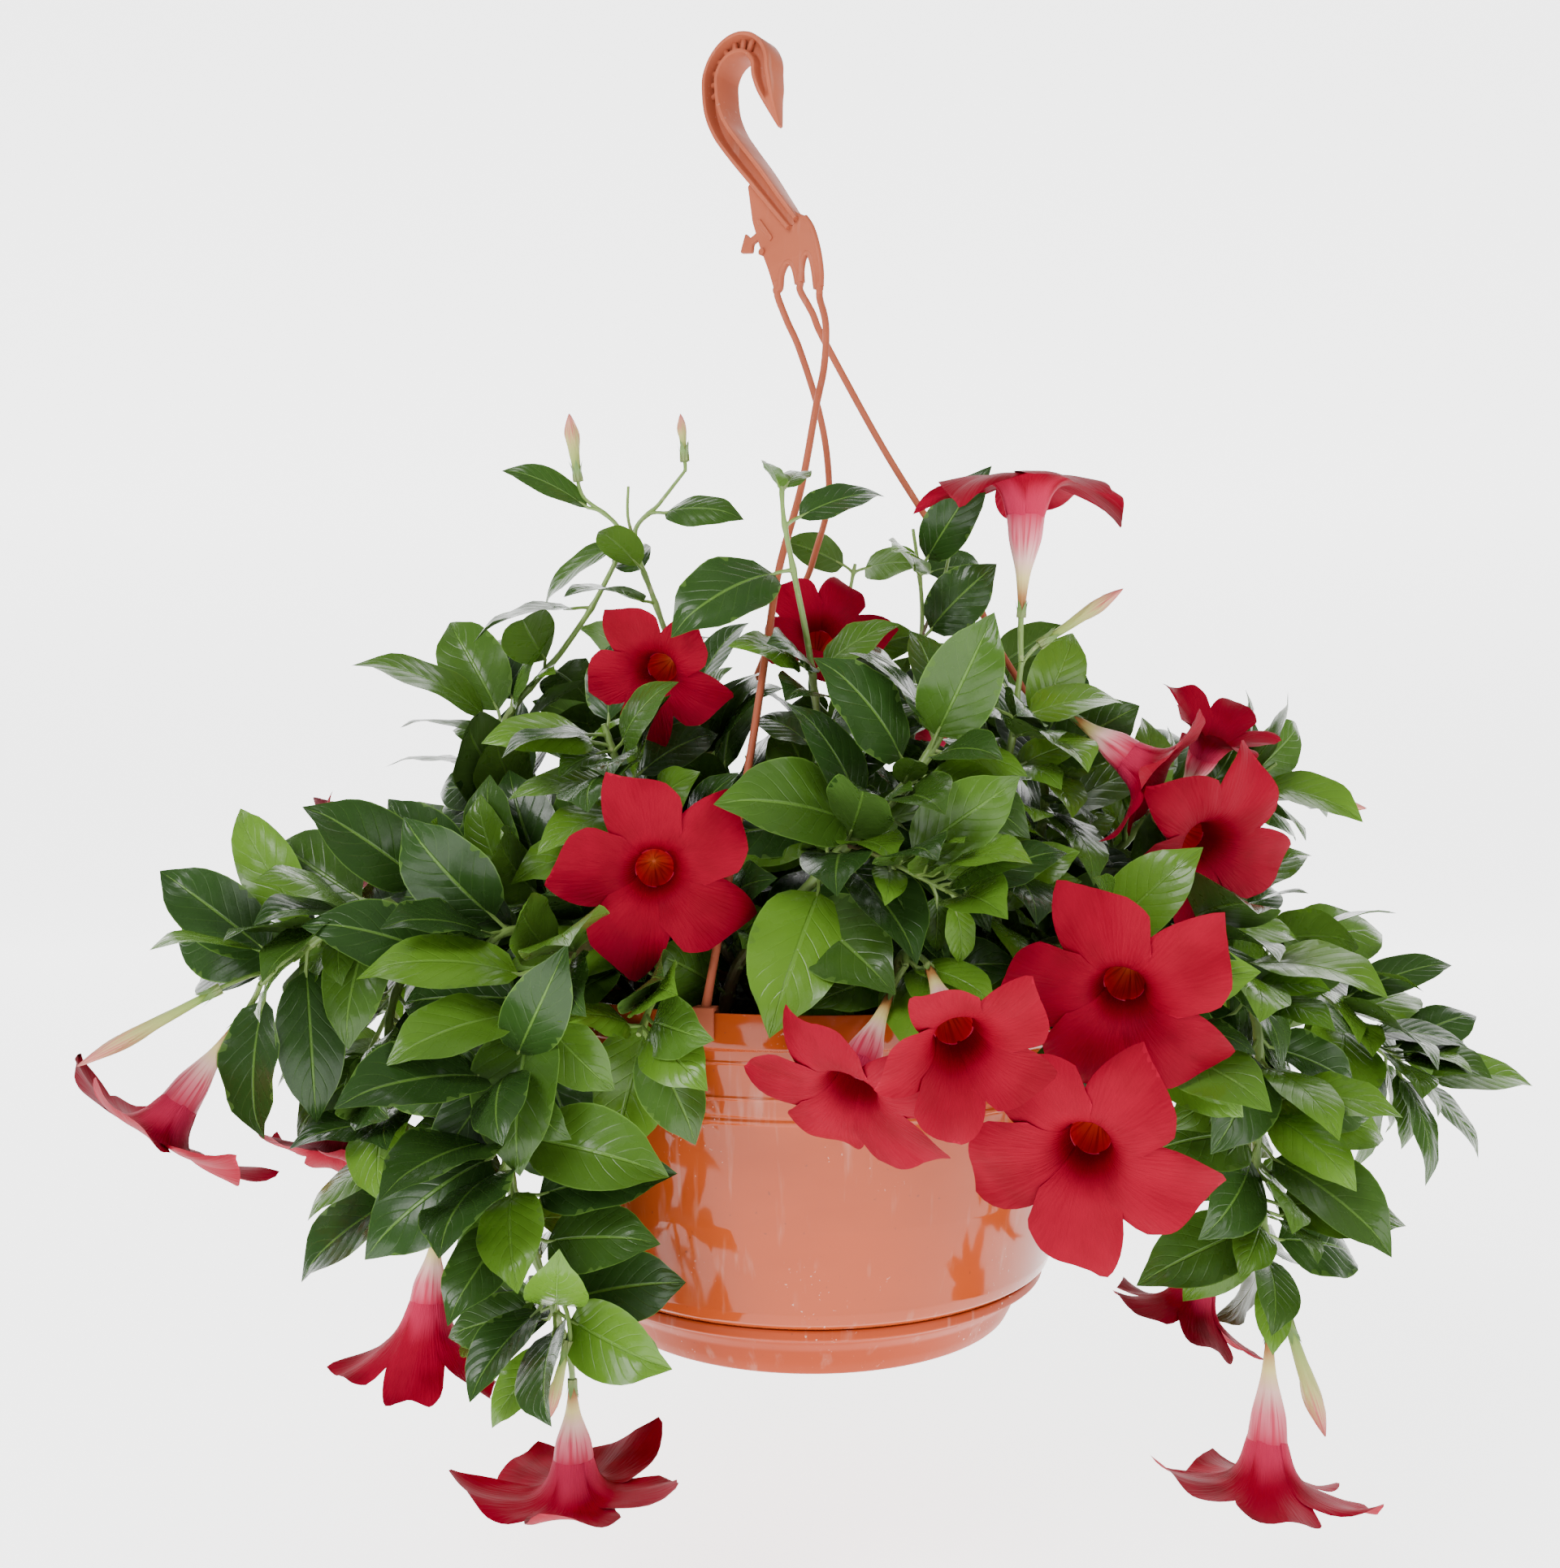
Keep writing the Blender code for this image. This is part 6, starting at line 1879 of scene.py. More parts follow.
@dataclass
class Corollas:
    """Blooms: five skewed petals, a funnel tube with its throat, and a calyx."""

    place: Placement
    rows: int = 20
    columns: int = 25
    round: int = 30
    reach: float = 0.525
    curl: tuple[float, float] = (0.2, 0.95)
    throat_angle: float = 0.25
    half_angle: float = 43
    outline: tuple = ((-43, 0.45), (-36, 0.56), (-30, 0.74), (-17, 0.85), (0, 0.9), (9, 0.96),
                      (15, 1.04), (20, 0.95), (27, 0.8), (34, 0.64), (38, 0.54), (43, 0.45))
    thickness: float = 0.55

    def finishes(self) -> list[Material]:
        """Petal faces, tube, throat and calyx.

        Returns:
            The materials, in the order of the faces' numbers.
        """
        throat = TubeFinish("bloom_throat", ((0.3, (0.75, 0.30, 0.06)), (0.5, (0.65, 0.06, 0.03)),
                                             (0.7, (0.45, 0.004, 0.012))),
                            (0.28, 0.001, 0.006), 0.3)
        calyx = StemFinish("calyx_green", (0.20, 0.26, 0.08), (0.13, 0.24, 0.05))
        return [PetalFinish(Side.UPPER).make(), PetalFinish(Side.UNDER).make(),
                TubeFinish().make(), throat.make(), calyx.make()]

    def petals(self, skin: Skin, bloom: Bloom, rng: np.random.Generator) -> None:
        """Add five petals that turn like a windmill's sails.

        A petal's angle to the axis grows with the distance along it, from the funnel's own
        angle to the bloom's spread and on into a curl; its radius and height are the sums
        of that angle's sine and cosine. How far it reaches at each angle across it follows
        the outline, which comes to a point on one side; it is tilted and rippled.

        Args:
            skin: the piece to add to.
            bloom: the bloom's own values.
            rng: seeded random source.
        """
        axis, across, other, tube = bloom_frame(bloom)
        axis, across, other = (np.array(v) for v in (axis, across, other))
        radius = bloom.width * self.reach
        lip, inside = self.lip(bloom), 0.26 * tube
        s = np.linspace(0, 1, self.rows)[None, :, None]
        each = (PETALS, 1, 1)
        degrees = np.linspace(-self.half_angle, self.half_angle, self.columns)[None, None]
        a = degrees / self.half_angle
        skew = rng.uniform(-3, 4, each) * (1 - a ** 2)
        edge = radius * np.interp(degrees - skew, *zip(*self.outline))
        edge = edge * rng.uniform(0.93, 1.03, each)
        run = np.linspace(0, inside + 1.5 * radius, 90)[None]
        spread = np.array(bloom_spreads(bloom))[:, None]
        spread = spread.mean() + (spread - spread.mean()) * smooth(run, inside, 0.8 * radius)
        curl = rng.uniform(*self.curl, (PETALS, 1))
        angle = (self.throat_angle + (spread - self.throat_angle)
                 * smooth(run, 0.4 * inside, inside + 0.3 * radius)
                 + curl * (np.maximum(run - inside, 0) / radius) ** 2)
        out = 0.84 * lip + np.cumsum(np.sin(angle), 1) * run[0, 1]
        up = 0.74 * tube + np.cumsum(np.cos(angle), 1) * run[0, 1]
        along = s * (inside + 1.08 * (edge - lip))
        outward, upward = (np.stack([np.interp(part, run[0], row) for part, row in
                                     zip(along, table)]) for table in (out, up))
        outward = outward + 0.25 * a
        share = np.clip((along - inside) / radius, 0, 1)
        phase = rng.uniform(0, 6.28, each)
        ripple = share ** 2 * (0.06 * np.sin(7 * a + phase) + 0.05 * np.sin(11 * s + phase) * a)
        point = np.exp(-((degrees - 14) / 11) ** 2)
        roll = share ** 4 * (0.04 + 0.2 * point * np.sin(phase) ** 2)
        fold = 0.05 * share * (1 - np.abs(a)) ** 2
        tilt = 0.0036 * degrees * share ** 2
        height = upward + radius * (ripple - roll - fold - tilt)
        turn = np.radians(FIFTH * np.arange(PETALS)[:, None, None] + bloom.turn + degrees)
        grid = (np.array(bloom.base) + axis * height[..., None]
                + spoke(across, other, turn[..., None]) * outward[..., None])
        thick = self.thickness * (1 - s[0] ** 8) * (1 - a[0] ** 8) * (1 - (1 - s[0]) ** 12)
        front, back = shell_of(grid, thick)
        tint = rng.uniform(0, 1, PETALS)
        skin.add(front, tint=tint, slot=BloomSlot.FRONT)
        skin.add(back, tint=tint, slot=BloomSlot.BACK, flip=True)

    def lip(self, bloom: Bloom) -> float:
        """Radius of the funnel's mouth."""
        return min(9.0, bloom.width * 0.135)

    def tube(self, skin: Skin, bloom: Bloom) -> None:
        """Add the funnel: a profile carried round, up its outside and down its throat.

        Args:
            skin: the piece to add to.
            bloom: the bloom.
        """
        axis, across, other, tube = bloom_frame(bloom)
        lip = self.lip(bloom)
        outer = fluent(((0.0, 1.6), (0.12, 1.9), (0.3, 3.0), (0.44, 0.52 * lip),
                        (0.6, 0.76 * lip), (0.77, 0.9 * lip)), 26)
        inner = fluent(((0.765, 0.86 * lip), (0.66, 0.68 * lip), (0.5, 0.36 * lip),
                        (0.42, 0.12 * lip)), 14)
        profile = np.concatenate([[(0.0, 0.0)], outer, inner, [(0.41, 0.0)]])
        turn = full_turn(self.round)
        z = profile[:, :1]
        ribs = smooth(z, 0.25, 0.5) * (1 - smooth(z, 0.55, 0.78))
        wave = np.cos(PETALS * turn - np.radians(PETALS * bloom.turn))
        r = profile[:, 1:] * (1 + 0.08 * wave * ribs)
        grid = (np.array(bloom.base) + np.array(axis) * (z * tube)[..., None]
                + spoke(np.array(across), np.array(other), turn[:, None]) * r[..., None])
        uv = np.stack(np.broadcast_arrays(z, turn[None] / (2 * np.pi)), -1)
        outside = np.arange(len(profile) - 1) <= len(outer)
        slot = np.where(outside, BloomSlot.TUBE, BloomSlot.THROAT)
        skin.add(grid, uv=uv, slot=slot, flip=True)

    def calyx(self, skin: Skin, bloom: Bloom | Bud, size: float) -> None:
        """Add five narrow sepals, wide at the foot and flared at the point.

        Args:
            skin: the piece to add to.
            bloom: the bloom or bud that they hold.
            size: their length.
        """
        far = Vector(bloom.face if isinstance(bloom, Bloom) else bloom.tip)
        axis = np.array((far - Vector(bloom.base)).normalized())
        across = np.array(square_to(Vector((0, 0, 1)), Vector(axis)))
        other = np.cross(axis, across)
        s = np.linspace(0, 1, 7)[:, None]
        a = np.linspace(-1, 1, 5)[None]
        turn = np.radians(FIFTH * np.arange(PETALS) + FIFTH / 2)[:, None, None, None]
        out = spoke(across, other, turn)
        aside = np.cross(axis, out)
        radial = 1.5 + 0.5 * s + 0.16 * size * s ** 3 + 0 * a
        half = 0.2 * size * (1 - s ** 1.7) * a
        grid = (np.array(bloom.base) + axis * (size * s - 1.2 + 0 * a)[..., None]
                + out * radial[..., None] + aside * half[..., None])
        thick = 0.5 * (1 - a ** 2) * (1 - s) * np.ones_like(s * a)
        inner, outer = shell_of(grid, thick)
        skin.add(inner, slot=BloomSlot.CALYX)
        skin.add(outer, slot=BloomSlot.CALYX, flip=True)

    def build(self) -> Iterator[tuple[str, Piece]]:
        """Make the piece of each bloom in turn.

        Returns:
            The node and the piece of each bloom.
        """
        finishes = self.finishes()
        for number, (name, bloom) in enumerate(BLOOMS.items()):
            rng = np.random.default_rng(100 + number)
            skin = Skin(name + "_fine")
            self.petals(skin, bloom, rng)
            self.tube(skin, bloom)
            self.calyx(skin, bloom, 7.5)
            yield name, skin.build(self.place, finishes, 60)


@dataclass
class Buds:
    """Furled buds: spindles with five spiral lips, in a small calyx."""

    place: Placement
    rows: int = 30
    round: int = 50
    twist: float = 2.4

    def build(self) -> Iterator[tuple[str, Piece]]:
        """Make the piece of each bud: its radius has a saw edge that turns as it rises.

        Returns:
            The node and the piece of each bud.
        """
        body = TubeFinish("bud_pink", ((0.0, (0.12, 0.26, 0.03)), (0.25, (0.22, 0.34, 0.06)),
                                       (0.5, (0.44, 0.42, 0.14)), (0.75, (0.62, 0.25, 0.18)),
                                       (1.0, (0.45, 0.06, 0.09))), (0.50, 0.04, 0.08), 0.4)
        finishes = [body.make(), StemFinish("sepal_green", (0.2, 0.26, 0.08),
                                            (0.15, 0.26, 0.06)).make()]
        corollas = Corollas(self.place)
        for name, bud in BUDS.items():
            base, tip = np.array(bud.base), np.array(bud.tip)
            axis = tip - base
            across = np.array(square_to(Vector((0, 0, 1)), Vector(unit(axis))))
            other = np.cross(unit(axis), across)
            shape = fluent(((0.0, 0.0), (0.004, 0.4), (0.18, 0.5), (0.45, 0.72), (0.68, 0.96),
                            (0.86, 0.6), (0.985, 0.14), (1.0, 0.0)), self.rows)
            s, r = shape[:, :1], shape[:, 1:]
            turn = full_turn(self.round)[None]
            saw = np.mod(PETALS * turn / (2 * np.pi) + self.twist * s, 1.0)
            r = r * (1 - 0.16 * saw * smooth(s, 0.15, 0.5))
            r[:, -1] = r[:, 0]
            grid = (base + axis * s[..., None]
                    + spoke(across, other, turn[..., None]) * (bud.radius * r)[..., None])
            skin = Skin(name + "_fine")
            skin.add(grid, flip=True)
            corollas.calyx(skin, bud, 10.0)
            skin.slots = [np.where(slots == BloomSlot.CALYX, 1, 0) for slots in skin.slots]
            yield name, skin.build(self.place, finishes, 30)


@dataclass
class PotAndSaucer:
    """Turned pot with its rim band, grooves and clip slots, and its clip-on saucer."""

    place: Placement
    columns: int = 360
    saucer_columns: int = 240
    slot_half: int = 1

    def pot_profile(self) -> Array:
        """Radius and height, up the inner wall, over the rim and down the outside.

        Returns:
            A row for each point.
        """
        inner = RIM_RADIUS - WALL
        low, high = SLOT_EDGES
        band = POT_HEIGHT - RIM_BAND
        inside = rounded([(0, 3.9), (89.5, 3.9), (94.8, 8.2), (96.0, 24.4), (110.2, 28.6),
                          (126.7, GROOVE_Z), (inner - 3.0, band - 1), (inner, band + 2),
                          (inner, low)], 1.2)
        rim = rounded([(inner, high), (inner, POT_HEIGHT - 0.4), (RIM_RADIUS, POT_HEIGHT),
                       (RIM_RADIUS, high)], 0.7)
        outside = rounded([(RIM_RADIUS, low), (RIM_RADIUS, band), (131.6, band - 1.0),
                           (130.9, 140.0), (131.3, 139.6), (131.2, 138.9), (130.7, 138.5),
                           (129.7, 125.5), (130.1, 125.1), (130.0, 124.3), (129.5, 123.9),
                           (129.15, GROOVE_Z + 2.6), (128.2, GROOVE_Z + 1.6),
                           (128.75, GROOVE_Z + 0.4), (128.6, GROOVE_Z - 0.6),
                           (127.9, GROOVE_Z - 1.4), (123.9, 70), (117.9, 34), (116.2, 29.0),
                           (112.6, FOOT_TOP), (98.0, 22.5), (97.0, 8), (90.4, 1.9), (0, 1.9)],
                          0.8)
        return np.concatenate([inside, rim, outside])

    def pot(self, finish: Material) -> Piece:
        """The pot: its profile carried round, less the slots, each with its own four walls.

        Args:
            finish: its plastic.

        Returns:
            The piece.
        """
        profile = self.pot_profile()
        grid = turned_grid(profile, self.columns)
        skin = Skin("pot_shell")
        skin.add(grid)
        middle = (profile[1:] + profile[:-1]) / 2
        in_slot = (np.abs(middle[:, 1] - SLOT_Z) < SLOT_HEIGHT / 2 - 0.01) & (middle[:, 0] > 130)
        angle = np.arange(self.columns) + 0.5
        at_slot = np.zeros(self.columns, bool)
        starts = [round(turn - SLOT_OFFSET) % 360 for turn in CLIP_ANGLES.values()]
        for start in starts:
            at_slot |= np.abs((angle - start + 180) % 360 - 180) < self.slot_half
        skin.drop_faces((in_slot[:, None] & at_slot[None]).reshape(-1))
        low, high = SLOT_EDGES
        step = self.slot_half
        loop = np.array([(-step, low), (-step, high), (0, high), (step, high), (step, low),
                         (0, low), (-step, low)])
        for start in starts:
            turn = np.radians(loop[:, 0] + start)[None]
            radius = np.array([RIM_RADIUS - WALL, RIM_RADIUS])[:, None]
            wall = np.stack([radius * np.cos(turn), radius * np.sin(turn),
                             np.broadcast_to(loop[None, :, 1], (2, len(loop)))], -1)
            skin.add(wall)
        return skin.build(self.place, [finish], 35)

    def saucer(self, finish: Material) -> Piece:
        """The saucer: its profile carried round.

        Args:
            finish: its plastic.

        Returns:
            The piece.
        """
        top, r = SAUCER_TOP, SAUCER_RADIUS
        profile = rounded([(0, SAUCER_FLOOR), (91.0, SAUCER_FLOOR), (97.6, 8), (100.4, 15.0),
                           (110.6, 22.4), (111.6, top), (r, top), (r, 21.6), (110.2, 20.4),
                           (106.2, 18.6), (105.4, 17.2), (102.0, 13.4), (99.2, 6.5),
                           (96.6, 1.6), (92.4, 0), (0, 0)], 1.1)
        skin = Skin("saucer_shell")
        skin.add(turned_grid(profile, self.saucer_columns))
        return skin.build(self.place, [finish], 35)


@dataclass
class SoilMound:
    """Potting soil: a low mound of crumbs with loose ones on it."""

    place: Placement
    columns: int = 240
    crumbs: int = 420
    rings: int = 46

    def level(self, radius: Array) -> Array:
        """Height of the mound at a distance from the pot's axis, without its crumbs."""
        return SOIL_TOP + np.interp(radius, [0, 70, 127.6], [2.5, 1, -3])

    def build(self) -> Piece:
        """Three sizes of value noise raise the mound; crumbs are small uneven balls on it.

        Returns:
            The piece.
        """
        radius = 127.4 * np.linspace(0, 1, self.rings)
        top = np.stack([radius, self.level(radius)], 1)
        sides = np.array([(126.2, GROOVE_Z), (109.8, 29.2), (95.4, 25.0), (94.2, 8.8),
                          (89.0, 4.3), (0, 4.3)])
        grid = turned_grid(np.concatenate([top, sides]), self.columns)
        where = grid[:self.rings, :, :2]
        bumps = (2.2 * hash_noise(where, 0.06, 1) + 1.6 * hash_noise(where, 0.2, 2)
                 + 1.0 * hash_noise(where, 0.55, 3) - 2.9)
        bumps[:, -1] = bumps[:, 0]
        bumps[0] = bumps[0].mean()
        grid[:self.rings, :, 2] += bumps
        skin = Skin("soil_crumbs")
        skin.add(grid, flip=True)
        rng = np.random.default_rng(9)
        r = 122 * np.sqrt(rng.uniform(0, 1, self.crumbs))
        turn = rng.uniform(0, 6.28, self.crumbs)
        size = rng.uniform(0.7, 2.0, self.crumbs)
        centre = np.stack([r * np.cos(turn), r * np.sin(turn), self.level(r) - 0.2], 1)
        lat = np.linspace(0, np.pi, 5)[None, :, None]
        lon = full_turn(6)[None, None]
        uneven = 1 + 0.25 * np.sin(3 * lat + 2 * np.cos(lon) + turn[:, None, None])
        ball = np.stack([np.sin(lat) * np.cos(lon) * uneven, np.sin(lat) * np.sin(lon) * uneven,
                         np.cos(lat) * uneven * 0.8], -1)
        skin.add(centre[:, None, None] + ball * size[:, None, None, None])
        return skin.build(self.place, [SoilFinish().make()], 60)


@dataclass
class Hanger:
    """Hook of I-shaped section on a fan plate, and three strands clipped on the rim."""

    place: Placement
    stations: int = 150
    strand_sides: int = 12

    def plane(self) -> tuple[Array, Array, Array]:
        """The plate's own level direction and normal, and the foot of its axis.

        Returns:
            The direction, the normal and the foot.
        """
        level = np.array([math.cos(HANGER_TURN), -math.sin(HANGER_TURN), 0])
        normal = np.array([-math.sin(HANGER_TURN), -math.cos(HANGER_TURN), 0])
        return level, normal, np.array([HANGER_X, HANGER_Y, 0])

    def in_plane(self, u: Array, z: Array, across: Array) -> Array:
        """Points at level place u, height z and distance across from the hanger's plane.

        Args:
            u: level place.
            z: height.
            across: distance from the plane.

        Returns:
            The points.
        """
        level, normal, foot = self.plane()
        u, z, across = np.broadcast_arrays(u, z, across)
        return foot + level * u[..., None] + UP * z[..., None] + normal * across[..., None]

    def line(self) -> Array:
        """Centre, depth, width and half web of the beam at many stations, foot to point.

        Returns:
            A row for each station.
        """
        web = HALF_WEB
        knots = [(38.0, 521.8, 7.8, 8.0, web), (28.0, 535.0, 8.8, 11.0, web),
                 (17.0, 549.6, 10.0, 13.5, web), (6.0, 563.5, 10.4, 15.5, web),
                 (-3.0, 576.0, 10.4, 17.0, web), (-8.2, 588.0, 10.4, 17.5, web)]
        for k in range(9):
            turn = math.radians(182 - 190 * k / 8)
            knots.append((CROWN_U + CROWN_RADIUS * math.cos(turn),
                          CROWN_Z + CROWN_RADIUS * math.sin(turn), CROWN_DEPTH,
                          17.5 - 0.5 * k, web))
        knots += [(22.4, 591.5, 9.0, 12.0, web), (24.0, 585.5, 6.6, 9.5, 4.2),
                  (26.6, 577.5, 3.4, 6.0, 2.8), (28.6, 571.6, 1.3, 2.6, 1.2)]
        return fluent(knots, self.stations)

    def beam(self, skin: Skin) -> None:
        """Add the beam: an I-shaped section with rounded corners carried along its line.

        Args:
            skin: the piece to add to.
        """
        line = self.line()
        centre, depth, width, web = line[:, :2], line[:, 2], line[:, 3], line[:, 4]
        ahead = unit(np.gradient(centre, axis=0))
        outward = np.stack([-ahead[:, 1], ahead[:, 0]], 1)
        half, side = depth / 2, width / 2
        lip = half - np.minimum(FLANGE, depth * 0.3)
        web = np.minimum(web, side * 0.96)
        corners = np.stack([np.stack(pair, -1) for pair in (
            (half, side), (half, -side), (lip, -side), (lip * 0.86, -web), (-lip * 0.86, -web),
            (-lip, -side), (-half, -side), (-half, side), (-lip, side), (-lip * 0.86, web),
            (lip * 0.86, web), (lip, side))], 1)
        radius = np.minimum(0.9, 0.22 * depth)[:, None]
        start, end = (toward(corners, np.roll(corners, step, 1), radius) for step in (1, -1))
        ring = np.stack([start, 0.25 * start + 0.5 * corners + 0.25 * end, end], 2)
        ring = ring.reshape(len(line), -1, 2)
        ring = np.concatenate([ring, ring[:, :1]], 1)
        u = centre[:, None, 0] + outward[:, None, 0] * ring[..., 0]
        z = centre[:, None, 1] + outward[:, None, 1] * ring[..., 0]
        grid = self.in_plane(u, z, ring[..., 1])
        caps = [np.broadcast_to(grid[k].mean(0), grid[:1].shape) for k in (0, -1)]
        skin.add(np.concatenate([caps[0], grid, caps[1]]))

    def bar(self, skin: Skin, line: Array, radius: float, across: Array | float = 0.0,
            sides: int = 12) -> None:
        """Add a round bar of one thickness along points of the hanger's plane.

        Args:
            skin: the piece to add to.
            line: level place and height of each point.
            radius: half the bar's thickness.
            across: distance from the plane, of all points or of each.
            sides: points round the bar.
        """
        path = self.in_plane(line[:, 0], line[:, 1], np.asarray(across, float))
        skin.add(swept_grid(path, np.full(len(line), radius), sides), flip=True)

    def ribs(self, skin: Skin) -> None:
        """Add the rounded bars that cross the recess round the crown, on both faces.

        Args:
            skin: the piece to add to.
        """
        for k in range(8):
            turn = math.radians(196 - 19 * k)
            reach = CROWN_RADIUS + np.linspace(-3.2, 3.2, 7)
            line = np.stack([CROWN_U + reach * math.cos(turn), CROWN_Z + reach * math.sin(turn)], 1)
            for face in (1, -1):
                self.bar(skin, line, 1.5, face * 2.6)

    def trim(self, skin: Skin) -> None:
        """Add the thick lips round the two arches, the plate's edge bead and its boss.

        Args:
            skin: the piece to add to.
        """
        arches = (((25.2, 492.8), (28.4, 493), (29.2, 499), (31.2, 503.2), (33.8, 504.8),
                   (36.6, 502.8), (38.4, 498), (39.4, 493.2)),
                  ((41.6, 493.2), (41.4, 499), (42.6, 504.3), (44.8, 506.6), (47.2, 504.8),
                   (49.2, 498), (50.6, 488.6)))
        for arch in arches:
            self.bar(skin, fluent(arch, 40), 1.75)
        edge = ((53.0, 489.0), (53.0, 497), (51.0, 508), (47.6, 518), (43.6, 524.0))
        self.bar(skin, fluent(edge, 40), 1.6)
        self.bar(skin, np.array([(18.4, 512.6)] * 2), 1.7, (-2.4, 2.4), 16)

    def flat(self, name: str, points: Points, thickness: float,
             directions: tuple[Array, Array, Array], foot: Array, bevel: float,
             radius: float) -> Piece:
        """A flat piece cut to a rounded outline, with a round bevel on its edges.

        Args:
            name: the piece's name.
            points: corners of the outline in the piece's own plane.
            thickness: over both faces.
            directions: the plane's two directions and its normal.
            foot: the plane's own zero.
            bevel: radius of the edges.
            radius: how far the outline's corners are rounded.

        Returns:
            The piece as a mesh in the frame.
        """
        line = rounded([*points, points[0], points[1]], radius)[2:-1]
        curve = bpy.data.curves.new(name, "CURVE")
        curve.dimensions = "2D"
        curve.fill_mode = "BOTH"
        curve.extrude = (thickness / 2 - bevel) * MM
        curve.bevel_depth = bevel * MM
        curve.offset = -bevel * MM
        curve.bevel_resolution = 2
        spline = curve.splines.new("POLY")
        spline.points.add(len(line) - 1)
        coordinates = np.zeros((len(line), 4))
        coordinates[:, :2] = line * MM
        coordinates[:, 3] = 1
        spline.points.foreach_set("co", coordinates.ravel())
        spline.use_cyclic_u = True
        holder = linked(name + "_line", curve)
        bpy.context.view_layer.update()
        graph = bpy.context.evaluated_depsgraph_get()
        mesh = bpy.data.meshes.new_from_object(holder.evaluated_get(graph))
        bpy.data.objects.remove(holder, do_unlink=True)
        local = np.zeros(len(mesh.vertices) * 3)
        mesh.vertices.foreach_get("co", local)
        local = local.reshape(-1, 3) / MM
        first, second, normal = directions
        points_mm = foot + local @ np.array([first, second, normal])
        mesh.vertices.foreach_set("co", self.place.metres(points_mm).ravel())
        return as_piece(name, mesh, 40, outward=True)

    def hook(self, finish: Material) -> list[Piece]:
        """The beam with its ribs and trim, and the flat pieces of the fan plate.

        Args:
            finish: its plastic.

        Returns:
            The pieces.
        """
        skin = Skin("hook_beam")
        self.beam(skin)
        self.ribs(skin)
        self.trim(skin)
        pieces = [skin.build(self.place, [finish], 50)]
        level, normal, foot = self.plane()
        plane = (level, UP, normal)
        plate = ((9, 547.5), (12, 529), (16.5, 516), (22, 503), (25.5, 493), (28.6, 493),
                 (29.2, 499), (31, 503), (33.8, 504.5), (36.4, 502.5), (38.2, 498), (39.3, 493),
                 (42.4, 493), (41.2, 499), (42.6, 504.5), (44.8, 506.4), (47, 504.6), (49, 498),
                 (50.6, 487), (54.0, 487), (53.2, 497), (51.2, 508), (48, 518), (44.5, 524.5),
                 (39.5, 527), (17.5, 551))
        tab = ((18, 520.4), (12, 518.4), (11.4, 514), (4.0, 515.4), (7.4, 524.6),
               (10.4, 521.4), (17, 524.4))
        rib = ((15.4, 527.8), (17.3, 529.2), (25.4, 518.2), (23.4, 516.6))
        parts = (("hook_plate", plate, 0.0), ("hook_tab", tab, -0.4), ("hook_rib", rib, 1.8))
        for name, points, extra in parts:
            piece = self.flat(name, points, PLATE + extra, plane, foot, 0.45, 1.2)
            piece.data.materials.append(finish)
            pieces.append(piece)
        return pieces

    def strand(self, name: str, finish: Material) -> list[Piece]:
        """One strand, slightly thickened at its ends, and its saddle clip on the rim.

        Args:
            name: the node's name.
            finish: its plastic.

        Returns:
            The pieces.
        """
        turn = math.radians(CLIP_ANGLES[name])
        seat = RIM_RADIUS - 0.9
        first = np.array(STRAND_ROUTES[name][0]) + (0, 0, 4)
        last = (seat * math.cos(turn), seat * math.sin(turn), POT_HEIGHT + 1.2)
        path = fluent([first, *STRAND_ROUTES[name], last], 120)
        s = np.linspace(0, 1, 120)
        radius = STRAND_RADIUS * (1.0 + 0.12 * np.exp(-s / 0.02) + 0.3 * np.exp(-(1 - s) / 0.02))
        skin = Skin(name + "_cord")
        skin.add(swept_grid(path, radius, self.strand_sides), flip=True)
        pieces = [skin.build(self.place, [finish])]
        top, gap = POT_HEIGHT, GAP + 0.4
        inner, outer = RIM_RADIUS - WALL - gap, RIM_RADIUS + gap
        saddle = ((inner - 1.8, top - 9), (inner, top - 9), (inner, top + gap),
                  (outer, top + gap), (outer, top - 11), (outer + 1.8, top - 11),
                  (outer + 1.8, top + gap + 1.6), (inner - 1.8, top + gap + 1.6))
        radial = np.array([math.cos(turn), math.sin(turn), 0])
        clip = self.flat(name + "_clip", saddle, CLIP_WIDTH, (radial, UP, np.cross(radial, UP)),
                         np.zeros(3), 0.3, 0.5)
        clip.data.materials.append(finish)
        return pieces + [clip]


